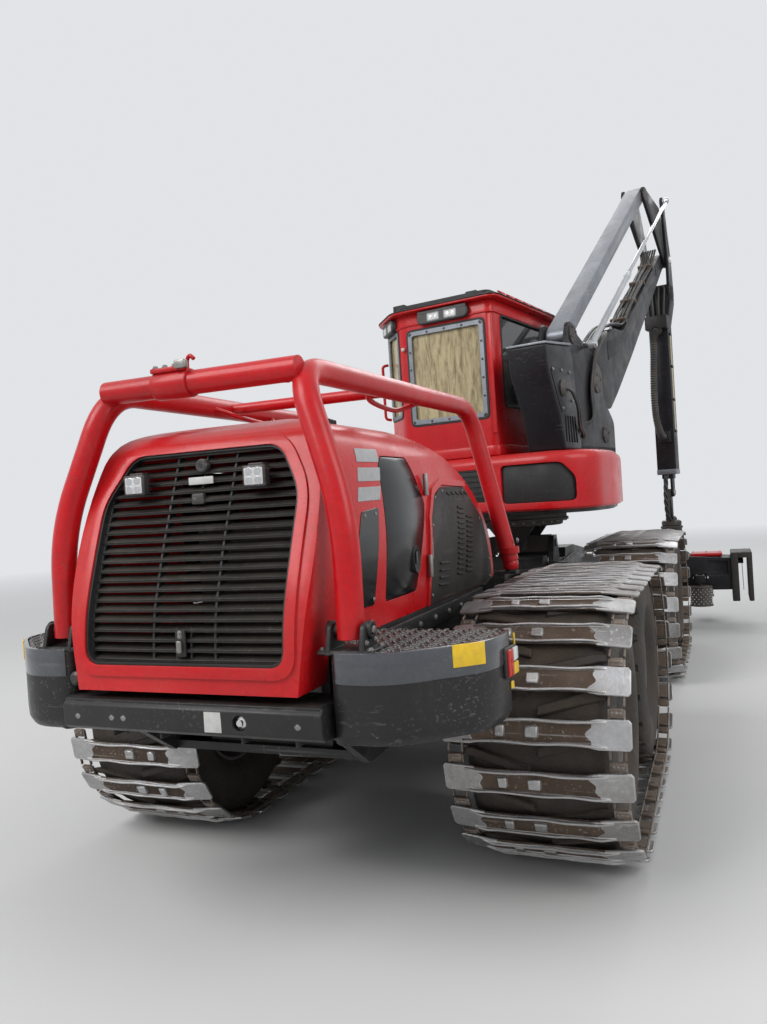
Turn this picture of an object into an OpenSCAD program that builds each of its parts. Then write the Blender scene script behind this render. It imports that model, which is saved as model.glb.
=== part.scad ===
// Forestry harvester on eight tracked wheels, with a crane and a harvester head.
// Vehicle frame: +Y forward, +X right, +Z up, the ground at 0, the bumper's rear face at y = 0.
// The whole is then moved so that the middle of its floor box lies at the origin.

/* [Wheels and tracks] */
// Outer diameter of a tyre over its lugs
tyre_d = 1340; // [1250:10:1400]
// Width of a tyre
tyre_w = 710; // [600:10:740]
// Diameter of a rim
rim_d = 673; // [600:1:720]
// Middle of a wheel, from the vehicle's centre line
wheel_x = 1163; // [1120:1:1200]
// Distance between the two wheels of one bogie
wheel_gap = 1500; // [1440:10:1560]
// Distance between the two bogies of one side
bogie_gap = 4147; // [4050:1:4300]
// Middle of the rear bogie, from the bumper's rear face
rear_bogie_y = 2360; // [2300:10:2450]
// Number of shoes on one track
shoes = 30; // [24:1:32]
// Width of a shoe across the track
shoe_w = 890; // [820:10:900]
// Length of a shoe along the track
shoe_l = 136; // [110:2:160]
// Height of a shoe's raised edges
shoe_h = 30; // [20:1:36]
// Thickness of a shoe's plate
shoe_t = 14; // [10:1:18]

/* [Frames] */
// Half width of the frames' side plates
frame_half = 540; // [500:5:550]
// Thickness of the frames' plates
frame_t = 40; // [25:1:50]
// Underside of the frames
frame_z0 = 780; // [740:5:820]
// Top of the rear frame
frame_z1 = 1350; // [1300:5:1380]
// Radius of the middle joint's pin
steer_pin_r = 75; // [60:1:90]

/* [Bumper] */
// Half width of the bumper over its corners
bumper_half = 1210; // [1150:5:1260]
// Underside of the bumper
bumper_z0 = 1016; // [980:2:1040]
// Top of the bumper at its sides
bumper_z1 = 1370; // [1340:2:1400]
// Top of the ledge under the grille
ledge_z = 1165; // [1140:1:1190]

/* [Engine hood] */
// Half width of the hood at its widest
hood_half = 587; // [560:1:620]
// Underside of the hood
hood_z0 = 1210; // [1195:1:1240]
// Thickness of the hood's walls
hood_wall = 38; // [24:1:50]
// Number of slats in the grille
slats = 21; // [12:1:26]
// Thickness of a slat
slat_t = 13; // [8:1:20]

/* [Guard frame] */
// Diameter of the guard frame's tube
guard_d = 110; // [80:2:120]
// Half width of the frame at its feet
guard_half = 700; // [680:2:720]
// Top of the frame, at the tube's middle
guard_z = 2490; // [2470:5:2600]

/* [Platform and cab] */
// Middle of the slewing ring, from the bumper's rear face
slew_y = 5900; // [5850:5:5950]
// How far the platform is turned to the right as it stands, in degrees
slew_rest = 10; // [0:1:20]
// Radius of the slewing ring
ring_r = 520; // [460:5:560]
// Underside of the platform
deck_z0 = 1720; // [1700:5:1760]
// Top of the platform's cover
deck_z1 = 2290; // [2260:5:2320]
// Thickness of the cab's walls
cab_wall = 60; // [40:1:80]
// Top of the cab's walls
cab_z1 = 3760; // [3650:5:3850]
// Thickness of the window panes
glass_t = 18; // [10:1:24]
// Gap around panes, hatches and doors
seam = 6; // [5:0.5:10]

/* [Crane] */
// Middle plane of the crane, to the right of the slewing ring's middle
crane_x = 780; // [740:5:820]
// Width of the boom and of the stick
boom_w = 200; // [160:2:220]
// Thickness of the lug plates at the crane's joints
lug_t = 35; // [25:1:40]
// Radius of the crane's pins
pin_r = 45; // [35:1:50]
// Side clearance between pieces on one pin
side_gap = 5; // [5:1:8]
// Outer width of the extension in the stick
ext_w = 150; // [120:2:160]

/* [Harvester head] */
// Length of the head from its tilt pin to its saw end
head_front = 980; // [900:10:1000]
// Length of the head behind its tilt pin
head_back = 290; // [260:5:295]
// Half width of the head's frame
head_half = 260; // [240:5:280]
// Height of the head's tilt pin over the ground
tilt_z = 700; // [680:5:720]
// Radius of a feed roller
roller_r = 145; // [130:5:160]

/* [Hidden] */
$fn = 48;

red = [0.72, 0.03, 0.03];
black = [0.05, 0.05, 0.055];
dark = [0.12, 0.12, 0.13];
steel = [0.55, 0.53, 0.50];
grey = [0.36, 0.39, 0.43];
glass = [0.55, 0.65, 0.70, 0.35];

// Clearance of face to face seats, and play of a pin in its bore
seat_gap = 0.3;
pin_play = 0.1;

// Wheels: the shoes' raised edges stand on the ground
tyre_r = tyre_d / 2;
track_r = tyre_r + seat_gap;
wheel_z = track_r + shoe_h;
front_bogie_y = rear_bogie_y + bogie_gap;
steer_y = (rear_bogie_y + front_bogie_y) / 2;
bogie_x0 = frame_half + 30;
bogie_w = wheel_x - tyre_w / 2 - 25 - bogie_x0;
hub_face = wheel_x - 120;

// Middle joint: the front frame's tongue lies between the rear frame's two jaws
steer_z = 950;
tongue_h = 300;
jaw_t = 70;

// Crane pins in the crane's plane: [forward of the ring's middle, height]
boom_pin = [50, 3000];
boom_tip = [3400, 4960];
link_pin = [-620, 3400];
link_tip = [2470, 5600];
lift_foot = [230, 2470];
lift_eye = [1500, 3560];
fold_foot = [-300, 3330];
fold_eye = [3216, 5697];
tip_pin = [3420, 1800];
stick_end = 2050;
lug_in = boom_w / 2 + side_gap;
lug_out = lug_in + lug_t;
stick_lug_in = lug_out + side_gap;
stick_lug_out = stick_lug_in + lug_t;
fold_r = 38;
fold_pin_r = 30;
fold_x = stick_lug_out + side_gap + fold_r + 2;

// Head: its feed axis lies along X as it stands, with the saw end to the right
rotator_z = 1290;
head_x = crane_x * cos(slew_rest) + tip_pin[0] * sin(slew_rest);
head_y = slew_y - crane_x * sin(slew_rest) + tip_pin[0] * cos(slew_rest);
yoke_in = head_half + side_gap;
yoke_t = 50;
knife_w = 90;
knife_pin = [200, 640];
arm_pin = [305, 650];
arm_x0 = 280;
arm_w = 120;
arm_reach = 470;
roller_z1 = 560;

// Guard frame's hinge on the bumper, and its front feet on posts of the rear frame
hinge_y = 50;
hinge_z = 1445;
guard_top_x = 480;
guard_rear_y = 165;
guard_elbow = [540, 2360];
guard_foot_x = 740;
guard_front_y = 2440;
guard_foot_z = 1490;
guard_post_z = guard_foot_z - guard_d / 2;

// Height of the levelling unit's two axes
level_z = 1380;

// Rear face of the ledge under the grille
ledge_y = -90;

// The floor box of the whole, for the origin
left_end = -(wheel_x + shoe_w / 2);
right_end = head_x + head_front;
back_end = ledge_y;
front_end = head_y + arm_reach + roller_r;
origin_x = (left_end + right_end) / 2;
origin_y = (back_end + front_end) / 2;

// Helpers
module vehicle() { translate([-origin_x, -origin_y, 0]) children(); }

module platform_frame() {
  vehicle() translate([0, slew_y, 0]) rotate([0, 0, -slew_rest]) children();
}

module head_place() { vehicle() translate([head_x, head_y, 0]) children(); }

// A side view (forward, height) given thickness w about the plane at x
module side(w, x = 0) {
  translate([x - w / 2, 0, 0]) rotate([90, 0, 90]) linear_extrude(w) children();
}

// A rear view (right, height) given length l from y on
module rear_view(l, y = 0) {
  translate([0, y + l, 0]) rotate([90, 0, 0]) linear_extrude(l) children();
}

// A pin or bore across the crane's plane
module cross_pin(p, r, w, x = 0) {
  translate([x - w / 2, p[0], p[1]]) rotate([0, 90, 0]) cylinder(r = r, h = w);
}

// A flat bar between two points, with round ends. Its straight edges run just inside the ends' tangents
module bar2d(a, b, ra, rb) {
  d = (b - a) / norm(b - a);
  n = [-d[1], d[0]];
  lean = asin((ra - rb) / norm(b - a));
  up = n * cos(lean) + d * sin(lean);
  down = -n * cos(lean) + d * sin(lean);
  ia = ra - bar_inset;
  ib = rb - bar_inset;
  polygon([a + up * ia, a + down * ia, b + down * ib, b + up * ib]);
  translate(a) circle(ra);
  translate(b) circle(rb);
}
bar_inset = 0.5;

// The right or the left one of a pair
module on_side(s) { if (s < 0) mirror([1, 0, 0]) children(); else children(); }

module both_sides() {
  children();
  mirror([1, 0, 0]) children();
}

// Moves each edge of a convex outline inwards by d
function inset(p, d) = [for (i = [0:len(p) - 1])
  let (a = p[(i + len(p) - 1) % len(p)], b = p[i], c = p[(i + 1) % len(p)],
       u = (b - a) / norm(b - a), v = (c - b) / norm(c - b),
       m = [-u[1], u[0]], n = [-v[1], v[0]])
  b + d * (m + n) / (1 + m * n)];

// Hinges of the door and the hatches. Each stands at its axis, with its wall at a depth d along +Y,
// the fixed side towards +X and the moving side towards -X
knuckle_r = 14;
knuckle_h = 60;
knuckle_gap = 1;
hinge_pin_r = 6;
module leaf(z, h, s, d) {
  translate([0, 0, z]) cylinder(r = knuckle_r, h = h);
  translate([s > 0 ? 0 : -55, -knuckle_r, z]) cube([55, knuckle_r + d, h]);
}
module hinge_fixed(z, d) {
  for (k = [z - knuckle_gap - knuckle_h / 2, z + knuckle_h + knuckle_gap]) leaf(k, knuckle_h / 2, 1, d);
  translate([0, 0, z - knuckle_h / 2 - knuckle_gap]) cylinder(r = hinge_pin_r, h = 2 * (knuckle_h + knuckle_gap));
}
module hinge_moving(z, d) difference() {
  leaf(z, knuckle_h, -1, d);
  translate([0, 0, z - 1]) cylinder(r = hinge_pin_r + pin_play, h = knuckle_h + 2);
}

// Turns each corner of a path into an arc of steps, for a swept tube
function bend(p, r, steps = 4) = concat([p[0]],
  [for (i = [1:len(p) - 2]) let (
     a = (p[i - 1] - p[i]) / norm(p[i - 1] - p[i]), c = (p[i + 1] - p[i]) / norm(p[i + 1] - p[i]),
     half = acos(max(-1, min(1, a * c))) / 2, cut = r / tan(half))
   for (k = [0:steps]) let (t = k / steps, s = 1 - t)
     p[i] + a * cut * s * s + c * cut * t * t], [p[len(p) - 1]]);

// Direction of a path at its point i
function heading(p, i) = let (n = len(p) - 1)
  unit((i < n ? unit(p[i + 1] - p[i]) : [0, 0, 0]) + (i > 0 ? unit(p[i] - p[i - 1]) : [0, 0, 0]));
function side_axis(t) = norm(cross(t, [0, 0, 1])) > 0.2 ? cross(t, [0, 0, 1]) : cross(t, [1, 0, 0]);
function unit(v) = v / norm(v);

// A round tube along a path
module tube(path, d, sides = 12) {
  n = len(path);
  rings = [for (i = [0:n - 1]) let (t = heading(path, i), u = unit(side_axis(t)), v = cross(t, u))
    for (k = [0:sides - 1]) path[i] + d / 2 * (cos(360 * k / sides) * u + sin(360 * k / sides) * v)];
  walls = [for (i = [0:n - 2]) for (k = [0:sides - 1])
    [i * sides + k, i * sides + (k + 1) % sides, (i + 1) * sides + (k + 1) % sides, (i + 1) * sides + k]];
  polyhedron(rings, concat([[for (k = [sides - 1:-1:0]) k]], walls,
    [[for (k = [0:sides - 1]) (n - 1) * sides + k]]), convexity = 6);
}

// Running gear
// Section of a tyre: [radius, across]
tyre_outline = [[rim_d / 2, -290], [rim_d / 2 + 60, -tyre_w / 2 + 12], [490, -tyre_w / 2], [600, -tyre_w / 2 + 14],
                [tyre_r - 10, -tyre_w / 2 + 60], [tyre_r, -tyre_w / 2 + 90], [tyre_r, tyre_w / 2 - 90],
                [tyre_r - 10, tyre_w / 2 - 60], [600, tyre_w / 2 - 14], [490, tyre_w / 2],
                [rim_d / 2 + 60, tyre_w / 2 - 12], [rim_d / 2, 290]];

module tyre() rotate([0, 90, 0]) rotate_extrude() polygon(tyre_outline);

// Section of a rim: the disc is bolted to the hub's face
module rim() {
  r = rim_d / 2 - seat_gap;
  rotate([0, 90, 0]) rotate_extrude()
    polygon([[60, -120 + seat_gap], [200, -120 + seat_gap], [290, -40], [r - 30, -40], [r - 30, -290], [r, -290],
             [r, 290], [r - 30, 290], [r - 30, -10], [280, -10], [190, -90], [60, -90]]);
}

module at_wheels(y) {
  for (side_x = [-1, 1], end = [-1, 1])
    translate([side_x * wheel_x, y + end * wheel_gap / 2, wheel_z]) on_side(side_x) children();
}

// Place along the track's loop, from 0 to 1: [y, z, turn]
loop_l = 2 * wheel_gap + 2 * PI * track_r;
function loop_at(t) = let (s = t * loop_l, top = wheel_gap, arc = PI * track_r)
  s < top ? [s - top / 2, track_r, 0]
  : s < top + arc ? let (a = (s - top) / track_r * 180 / PI) [top / 2 + track_r * sin(a), track_r * cos(a), -a]
  : s < 2 * top + arc ? [top / 2 - (s - top - arc), -track_r, 180]
  : let (a = (s - 2 * top - arc) / track_r * 180 / PI) [-top / 2 - track_r * sin(a), -track_r * cos(a), 180 - a];

module loop_ring(r) {
  for (end = [-1, 1]) translate([end * wheel_gap / 2, 0]) circle(r);
  square([wheel_gap, 2 * r], center = true);
}

module track_loop() {
  for (i = [0:shoes - 1]) {
    at = loop_at((i / shoes + wheel_gap / 2 / loop_l) % 1);
    translate([0, at[0], at[1]]) rotate([at[2], 0, 0]) side(shoe_w)
      polygon([[-shoe_l / 2, 0], [shoe_l / 2, 0], [shoe_l / 2, shoe_h], [shoe_l / 2 - 24, shoe_t],
               [24 - shoe_l / 2, shoe_t], [-shoe_l / 2, shoe_h]]);
  }
  for (s = [-1, 1]) side(26, s * (tyre_w / 2 + 24)) difference() {
    loop_ring(track_r + shoe_t / 2);
    loop_ring(track_r - 34);
  }
}

module track(y, s) vehicle() color(steel) translate([s * wheel_x, y, wheel_z]) track_loop();

module bogies(y) vehicle() color(black) for (s = [-1, 1]) on_side(s) translate([0, y, 0]) {
  side(bogie_w, bogie_x0 + bogie_w / 2) {
    translate([0, wheel_z]) polygon([[-wheel_gap / 2, -160], [wheel_gap / 2, -160], [wheel_gap / 2, 150], [330, 230],
      [190, 300], [-190, 300], [-330, 230], [-wheel_gap / 2, 150]]);
    for (end = [-1, 1]) translate([end * wheel_gap / 2, wheel_z]) circle(165);
  }
  for (end = [-1, 1]) translate([bogie_x0 + bogie_w - 5, end * wheel_gap / 2, wheel_z]) rotate([0, 90, 0]) {
    cylinder(r = 150, h = hub_face - bogie_x0 - bogie_w + 5);
  }
}

// Axle between two bogies, with its gear housing
module axle(y) translate([0, y, wheel_z + 70]) {
  translate([-bogie_x0 + seat_gap, 0, 0]) rotate([0, 90, 0]) cylinder(r = 150, h = 2 * (bogie_x0 - seat_gap));
  sphere(r = 280);
}

module rear_bogies() bogies(rear_bogie_y);
module front_bogies() bogies(front_bogie_y);
module rear_rims() vehicle() color(dark) at_wheels(rear_bogie_y) rim();
module front_rims() vehicle() color(dark) at_wheels(front_bogie_y) rim();
module rear_tyres() vehicle() color(black) at_wheels(rear_bogie_y) tyre();
module front_tyres() vehicle() color(black) at_wheels(front_bogie_y) tyre();
module rear_track_right() track(rear_bogie_y, 1);
module rear_track_left() track(rear_bogie_y, -1);
module front_track_right() track(front_bogie_y, 1);
module front_track_left() track(front_bogie_y, -1);

// Rear frame: an open trough of plates, with jaws for the middle joint
jaw_r = 200;
foot_in = wheel_x - shoe_w / 2 - 12;
foot_low = wheel_z + track_r + shoe_h + 6;
module rear_frame() vehicle() color(black) {
  difference() {
    union() {
      both_sides() side(frame_t, frame_half - frame_t / 2)
        polygon([[160, 1010], [500, frame_z0], [3700, frame_z0], [3900, 860], [3900, 1240], [2900, 1300],
                 [2700, frame_z1], [160, frame_z1]]);
      translate([0, 0, frame_z0]) linear_extrude(frame_t)
        polygon([[-frame_half, 520], [frame_half, 520], [frame_half, 3700], [-frame_half, 3700]]);
      translate([-frame_half, 2780, frame_z0]) cube([2 * frame_half, frame_t, 480]);
      translate([-frame_half, 3660, frame_z0]) cube([2 * frame_half, frame_t, 460]);
      axle(rear_bogie_y);
      // Neck to the middle joint
      translate([0, 0, steer_z - tongue_h / 2 - jaw_t - side_gap]) linear_extrude(tongue_h + 2 * (jaw_t + side_gap))
        polygon([[-frame_half, 3690], [frame_half, 3690], [260, 4080], [-260, 4080]]);
      for (s = [-1, 1])
        translate([0, 0, steer_z + s * (tongue_h / 2 + side_gap + jaw_t / 2)]) linear_extrude(jaw_t, center = true) {
          translate([0, steer_y]) circle(jaw_r);
          translate([-jaw_r, 4000]) square([2 * jaw_r, steer_y - 4000]);
        }
    }
    translate([0, steer_y, 0]) cylinder(r = steer_pin_r + pin_play, h = 2000);
  }
  // Brackets for the guard frame's front feet. They pass between the hood and the tracks
  both_sides() {
    rear_view(80, guard_front_y - 40) polygon([[frame_half - 10, 1230], [frame_half + 30, 1230], [foot_in, 1330],
      [foot_in, foot_low], [guard_foot_x + 44, foot_low], [guard_foot_x + 44, guard_post_z - 10],
      [frame_half + 110, guard_post_z - 10], [frame_half + 35, 1340], [frame_half - 10, 1340]]);
    translate([guard_foot_x, guard_front_y, guard_post_z - 20]) cylinder(r = 34, h = 20);
  }
  // Rests under the hood and the bumper's bracket
  translate([-frame_half, 160, 1010]) cube([2 * frame_half, frame_t, 150]);
}

// Bumper: plan outline, high at the sides and low under the grille
bumper_side = [[bumper_half - 25, 256], [bumper_half, 540]];
bumper_plan = [[-bumper_half, 540], [-bumper_half + 25, 256], [-870, -30], [870, -30], bumper_side[0],
               bumper_side[1], [frame_half + seat_gap, 540],
  [frame_half + seat_gap, 160 - seat_gap], [-frame_half - seat_gap, 160 - seat_gap], [-frame_half - seat_gap, 540]];
module bumper() vehicle() color(black) difference() {
  union() {
    difference() {
      translate([0, 0, bumper_z0]) linear_extrude(bumper_z1 - bumper_z0) polygon(bumper_plan);
      translate([-620, -200, ledge_z]) cube([1240, 800, 400]);
    }
    translate([-620, ledge_y, bumper_z0 + 20]) cube([1240, 30 - ledge_y, ledge_z - bumper_z0 - 20]);
    // Brackets for the guard frame's hinge
    both_sides() for (s = [-1, 1]) side(20, guard_half + s * (guard_d / 2 + side_gap + 10))
      polygon([[-28, bumper_z1 - 20], [120, bumper_z1 - 20], [95, hinge_z + 30], [5, hinge_z + 30]]);
    both_sides() cross_pin([hinge_y, hinge_z], 20, guard_d + 2 * side_gap + 60, guard_half);
  }
  translate([0, 40, bumper_z0 - 1]) cylinder(r = tow_r, h = 200);
}

// Hood: its side outline and its rear outline, each given a depth and cut from the other
function hood_side(d) = [[-85 + d, hood_z0 - 1], [-62 + d, 1500], [32 + d, 1790], [150 + d, 2080], [225 + d, 2250 - d],
  [420 + d, 2315 - d], [750, 2325 - d], [1510, 2235 - d], [2030 - d / 2, 2045 - d], [2400 - d, 1790 - d / 2],
  [2640 - d, 1500], [2750 - d, hood_z0 - 1]];
function hood_rear(d) = [[-527 + d, hood_z0 - 2], [527 - d, hood_z0 - 2], [hood_half - d, 1790], [566 - d, 2080],
  [500 - d, 2230 - d], [380 - d, 2300 - d], [0, 2345 - d], [-380 + d, 2300 - d], [-500 + d, 2230 - d],
  [-566 + d, 2080], [-hood_half + d, 1790]];
module hood_form(d) intersection() {
  side(1400) polygon(hood_side(d));
  rear_view(3200, -200) polygon(hood_rear(d));
}
// Hatches in the hood's sides: [from, to] along the hood and in height
hatch_y = [720, 1300];
hatch_z = [1450, 2150];
// Opening for the grille
grille_half = 452;
grille_z = [1330, 2170];
grille_r = 65;
module grille_opening() {
  r = grille_r;
  h = grille_z[1] - grille_z[0];
  translate([-grille_half, grille_z[0] + r]) square([2 * grille_half, h - 2 * r]);
  translate([-grille_half + r, grille_z[0]]) square([2 * (grille_half - r), h]);
  for (s = [-1, 1], z = [grille_z[0] + r, grille_z[1] - r]) translate([s * (grille_half - r), z]) circle(r);
}
hatch_hinges = [1570, 2000];
hatch_axis = [hood_half + 8, hatch_y[1]];
hatch_wall = 45;
module at_hatch_axis() translate([hatch_axis[0], hatch_axis[1], 0]) rotate([0, 0, 90]) children();
module engine_hood() vehicle() color(red) {
  hood_panels();
  both_sides() at_hatch_axis() for (z = hatch_hinges) hinge_fixed(z, hatch_wall);
}
module hood_panels() difference() {
  hood_form(0);
  translate([0, 0, -2]) hood_form(hood_wall);
  rear_view(700, -200) grille_opening();
  both_sides() translate([300, hatch_y[0], hatch_z[0]]) cube([400, hatch_y[1] - hatch_y[0], hatch_z[1] - hatch_z[0]]);
  // The part above the frame's plates
  translate([-700, 159, hood_z0 - 50]) cube([1400, 3000, frame_z1 + seat_gap - hood_z0 + 50]);
  translate([-700, -300, 1000]) cube([1400, 500, hood_z0 - 1000]);
}

// Grille: bowed face of slats that follows the hood's rear outline
function face_y(z) = z < 1500 ? -85 + 23 * (z - 1210) / 290 : z < 1790 ? -62 + 94 * (z - 1500) / 290
  : z < 2080 ? 32 + 118 * (z - 1790) / 290 : 150 + 75 * (z - 2080) / 170;
function slat_z(i) = grille_z[0] + 20 + (grille_z[1] - grille_z[0] - 40) * i / (slats - 1);
function slat_y(i) = face_y(slat_z(i)) + 12;
// How far the opening's rounded corners draw in at a depth d from its lower or upper edge
function slat_inset(d) = d < grille_r ? grille_r - sqrt(pow(grille_r, 2) - pow(grille_r - d, 2)) + 1 : 0;
module grille() vehicle() color(black) {
  for (i = [0:slats - 1]) {
    z = slat_z(i);
    inner = slat_inset(min(z - grille_z[0], grille_z[1] - z) - slat_t / 2);
    translate([-grille_half + seat_gap + inner, slat_y(i), z - slat_t / 2])
      cube([2 * (grille_half - seat_gap - inner), 50, slat_t]);
  }
  for (s = [-1, 1]) {
    side(16, s * 150) grille_rib();
    side(16, s * (grille_half - seat_gap - 8)) grille_rib(60);
  }
}
module grille_rib(d = 0) polygon([for (k = [0:6]) let (z = grille_z[0] + d + 10 + (grille_z[1] - grille_z[0] - 2 * d - 20) * k / 6)
  [face_y(z) + 22, z], for (k = [6:-1:0]) let (z = grille_z[0] + d + 10 + (grille_z[1] - grille_z[0] - 2 * d - 20) * k / 6)
  [face_y(z) + 66, z]]);

// Work lamps and camera on the grille, each seated on the lowest slat behind it
lamp_x = 300;
lamp_slat = slats - 4;
camera_slat = slats - 2;
lamp_size = [110, 72, 100];
module rear_lamps() vehicle() color([0.85, 0.85, 0.8]) {
  for (s = [-1, 1])
    translate([s * lamp_x - lamp_size[0] / 2, slat_y(lamp_slat) - seat_gap - lamp_size[1], slat_z(lamp_slat) - 15])
      cube(lamp_size);
  translate([0, slat_y(camera_slat) - seat_gap - 30, slat_z(camera_slat) + 15]) rotate([-90, 0, 0]) cylinder(r = 30, h = 30);
  both_sides() on_bumper_side() translate([130, -tail_lamp[1] - seat_gap, 1190]) cube(tail_lamp);
}
// Tail lamps on the bumper's side faces
tail_lamp = [125, 26, 120];
module on_bumper_side() translate([bumper_side[0][0], bumper_side[0][1], 0])
  rotate([0, 0, atan2(bumper_side[1][1] - bumper_side[0][1], bumper_side[1][0] - bumper_side[0][0])]) children();

module engine() vehicle() color(dark) {
  translate([-330, 560, frame_z0 + frame_t + seat_gap]) cube([660, 1500, 1050]);
}

module hatch(s) vehicle() on_side(s) color(dark) {
  intersection() {
    difference() {
      hood_form(0);
      hood_form(hood_wall);
    }
    translate([300, hatch_y[0] + seam, hatch_z[0] + seam])
      cube([400, hatch_y[1] - hatch_y[0] - 2 * seam, hatch_z[1] - hatch_z[0] - 2 * seam]);
  }
  at_hatch_axis() for (z = hatch_hinges) hinge_moving(z, hatch_wall);
}
module hatch_right() hatch(1);
module hatch_left() hatch(-1);

// Guard frame: one bent tube on each side and bars across
module guard_frame() vehicle() color(red) difference() {
  union() {
    both_sides() {
      tube(bend([[guard_half, hinge_y, hinge_z - 35], [guard_half, hinge_y + 10, 1880],
                 [guard_top_x, guard_rear_y, guard_z], [guard_elbow[0], guard_elbow[1], guard_z + 8],
                 [guard_foot_x, guard_front_y, guard_foot_z]], 160), guard_d);
      translate([guard_foot_x, guard_front_y, guard_post_z + seat_gap]) cylinder(r = 50, h = 60);
    }
    tube([[-guard_top_x - 10, guard_rear_y + 5, guard_z - 5], [guard_top_x + 10, guard_rear_y + 5, guard_z - 5]], guard_d - 6);
  }
  both_sides() cross_pin([hinge_y, hinge_z], 20 + pin_play, guard_d + 40, guard_half);
}

// Front frame, with a tow jaw at its front end
tow_y = 7845;
tow_r = 25;
module front_frame() vehicle() color(black) {
  difference() {
    translate([-250, 7780, 980]) cube([500, 120, 170]);
    translate([0, tow_y, 900]) cylinder(r = tow_r, h = 400);
  }
  translate([0, 0, steer_z - tongue_h / 2]) linear_extrude(tongue_h) {
    translate([0, steer_y]) circle(jaw_r - 10);
    polygon([[-180, steer_y], [180, steer_y], [260, 4780], [380, 5060], [-380, 5060], [-260, 4780]]);
  }
  translate([0, steer_y, steer_z - tongue_h / 2 - jaw_t - side_gap - 40])
    cylinder(r = steer_pin_r, h = tongue_h + 2 * (jaw_t + side_gap) + 80);
  side(2 * 380) polygon([[5050, frame_z0], [7500, frame_z0], [7790, 950], [7790, 1180], [6900, 1290], [6420, 1290],
    [6380, 1190], [5420, 1190], [5380, 1290], [5200, 1290], [5050, 1180]]);
  axle(front_bogie_y);
  // Ears of the levelling unit's pitch axis
  for (s = [-1, 1]) side(50, s * 350) polygon([[slew_y - 190, 1170], [slew_y + 190, 1170], [slew_y + 80, level_z + 80],
    [slew_y - 80, level_z + 80]]);
  cross_pin([slew_y, level_z], 40, 770);
}

// Levelling unit: a cradle that pitches on the frame, and the ring's base that rolls on the cradle
module level_cradle() vehicle() color(black) difference() {
  union() {
    translate([-320, slew_y - 90, level_z - 85]) cube([640, 180, 170]);
    translate([-90, slew_y - 330, level_z - 60]) cube([180, 660, 120]);
    translate([0, slew_y - 400, level_z]) rotate([-90, 0, 0]) cylinder(r = 40, h = 800);
  }
  cross_pin([slew_y, level_z], 40 + pin_play, 900);
}
module slew_base() vehicle() color(black) difference() {
  union() {
    for (s = [-1, 1]) translate([0, slew_y + s * 362, 0]) rotate([90, 0, 0]) linear_extrude(50, center = true)
      polygon([[-90, level_z - 80], [90, level_z - 80], [260, 1600], [-260, 1600]]);
    translate([0, slew_y, 1570]) cylinder(r = ring_r - 60, h = 60);
    translate([0, slew_y, 1620]) cylinder(r = ring_r, h = deck_z0 - 1620 - seat_gap);
  }
  translate([0, slew_y - 500, level_z]) rotate([-90, 0, 0]) cylinder(r = 40 + pin_play, h = 1000);
}

// Platform: base plate and rounded cover, with a recessed panel at the rear
platform_r = 1500;
cover_x = [-1120, 1180];
cover_y = [-1210, 1160];
module platform_plan(d) intersection() {
  circle(platform_r - d);
  translate([cover_x[0] + d, cover_y[0] + d]) square([cover_x[1] - cover_x[0] - 2 * d, cover_y[1] - cover_y[0] - 2 * d]);
}
module platform() platform_frame() color(red) difference() {
  union() {
    translate([0, 0, deck_z0]) linear_extrude(60) platform_plan(60);
    translate([0, 0, deck_z0 + 50]) linear_extrude(deck_z1 - deck_z0 - 50, $fn = 96) platform_plan(0);
  }
  translate([-140, cover_y[0] - 1, 1830]) cube([960, 16, 350]);
}

// Cab: plan outline, counter-clockwise from the rear right corner
cab_z0 = deck_z1 + seat_gap;
cab_plan = [[340, -1150], [360, 560], [120, 950], [-760, 950], [-1050, 420], [-1030, -800], [-660, -1150]];
cab_floor_t = 60;
door_posts = [120, 100];
door_span = [door_posts[0], norm(cab_plan[5] - cab_plan[4]) - door_posts[1]];
door_z = [2420, 3700];
// Windows: [wall, from, to, low, high] along the wall from its first corner
windows = [[0, 180, 1560, 2750, 3640], [1, 40, 400, 2600, 3640], [2, 60, 820, 2480, 3660], [3, 60, 540, 2600, 3640],
           [5, 50, 460, 2740, 3640], [6, 70, 930, 2640, 3600]];
module on_wall(i) {
  a = cab_plan[i];
  b = cab_plan[(i + 1) % len(cab_plan)];
  translate([a[0], a[1], 0]) rotate([0, 0, atan2(b[1] - a[1], b[0] - a[0])]) children();
}
module pane_box(w, d, t0, t1) on_wall(w[0]) translate([w[1] + d, t0, w[3] + d])
  cube([w[2] - w[1] - 2 * d, t1 - t0, w[4] - w[3] - 2 * d]);
module cab_shell() platform_frame() color(red) {
  cab_walls();
  at_door_axis() for (z = door_hinges) hinge_fixed(z, door_wall);
}
module cab_walls() difference() {
  translate([0, 0, cab_z0]) linear_extrude(cab_z1 - cab_z0) polygon(cab_plan);
  translate([0, 0, cab_z0 + cab_floor_t]) linear_extrude(cab_z1) polygon(inset(cab_plan, cab_wall));
  for (w = windows) pane_box(w, 0, -20, cab_wall + 20);
  on_wall(4) translate([door_span[0], -20, door_z[0]])
    cube([door_span[1] - door_span[0], cab_wall + 40, door_z[1] - door_z[0]]);
}
// The door's hinges stand outside its rear edge
door_hinges = [2620, 3380];
door_axis = 22;
door_wall = door_axis + 10;
module at_door_axis() on_wall(4) translate([door_span[1] - seam / 2, -door_axis, 0]) children();
module cab_glass() platform_frame() color(glass) for (w = windows) pane_box(w, seat_gap, 20, 20 + glass_t);

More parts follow.
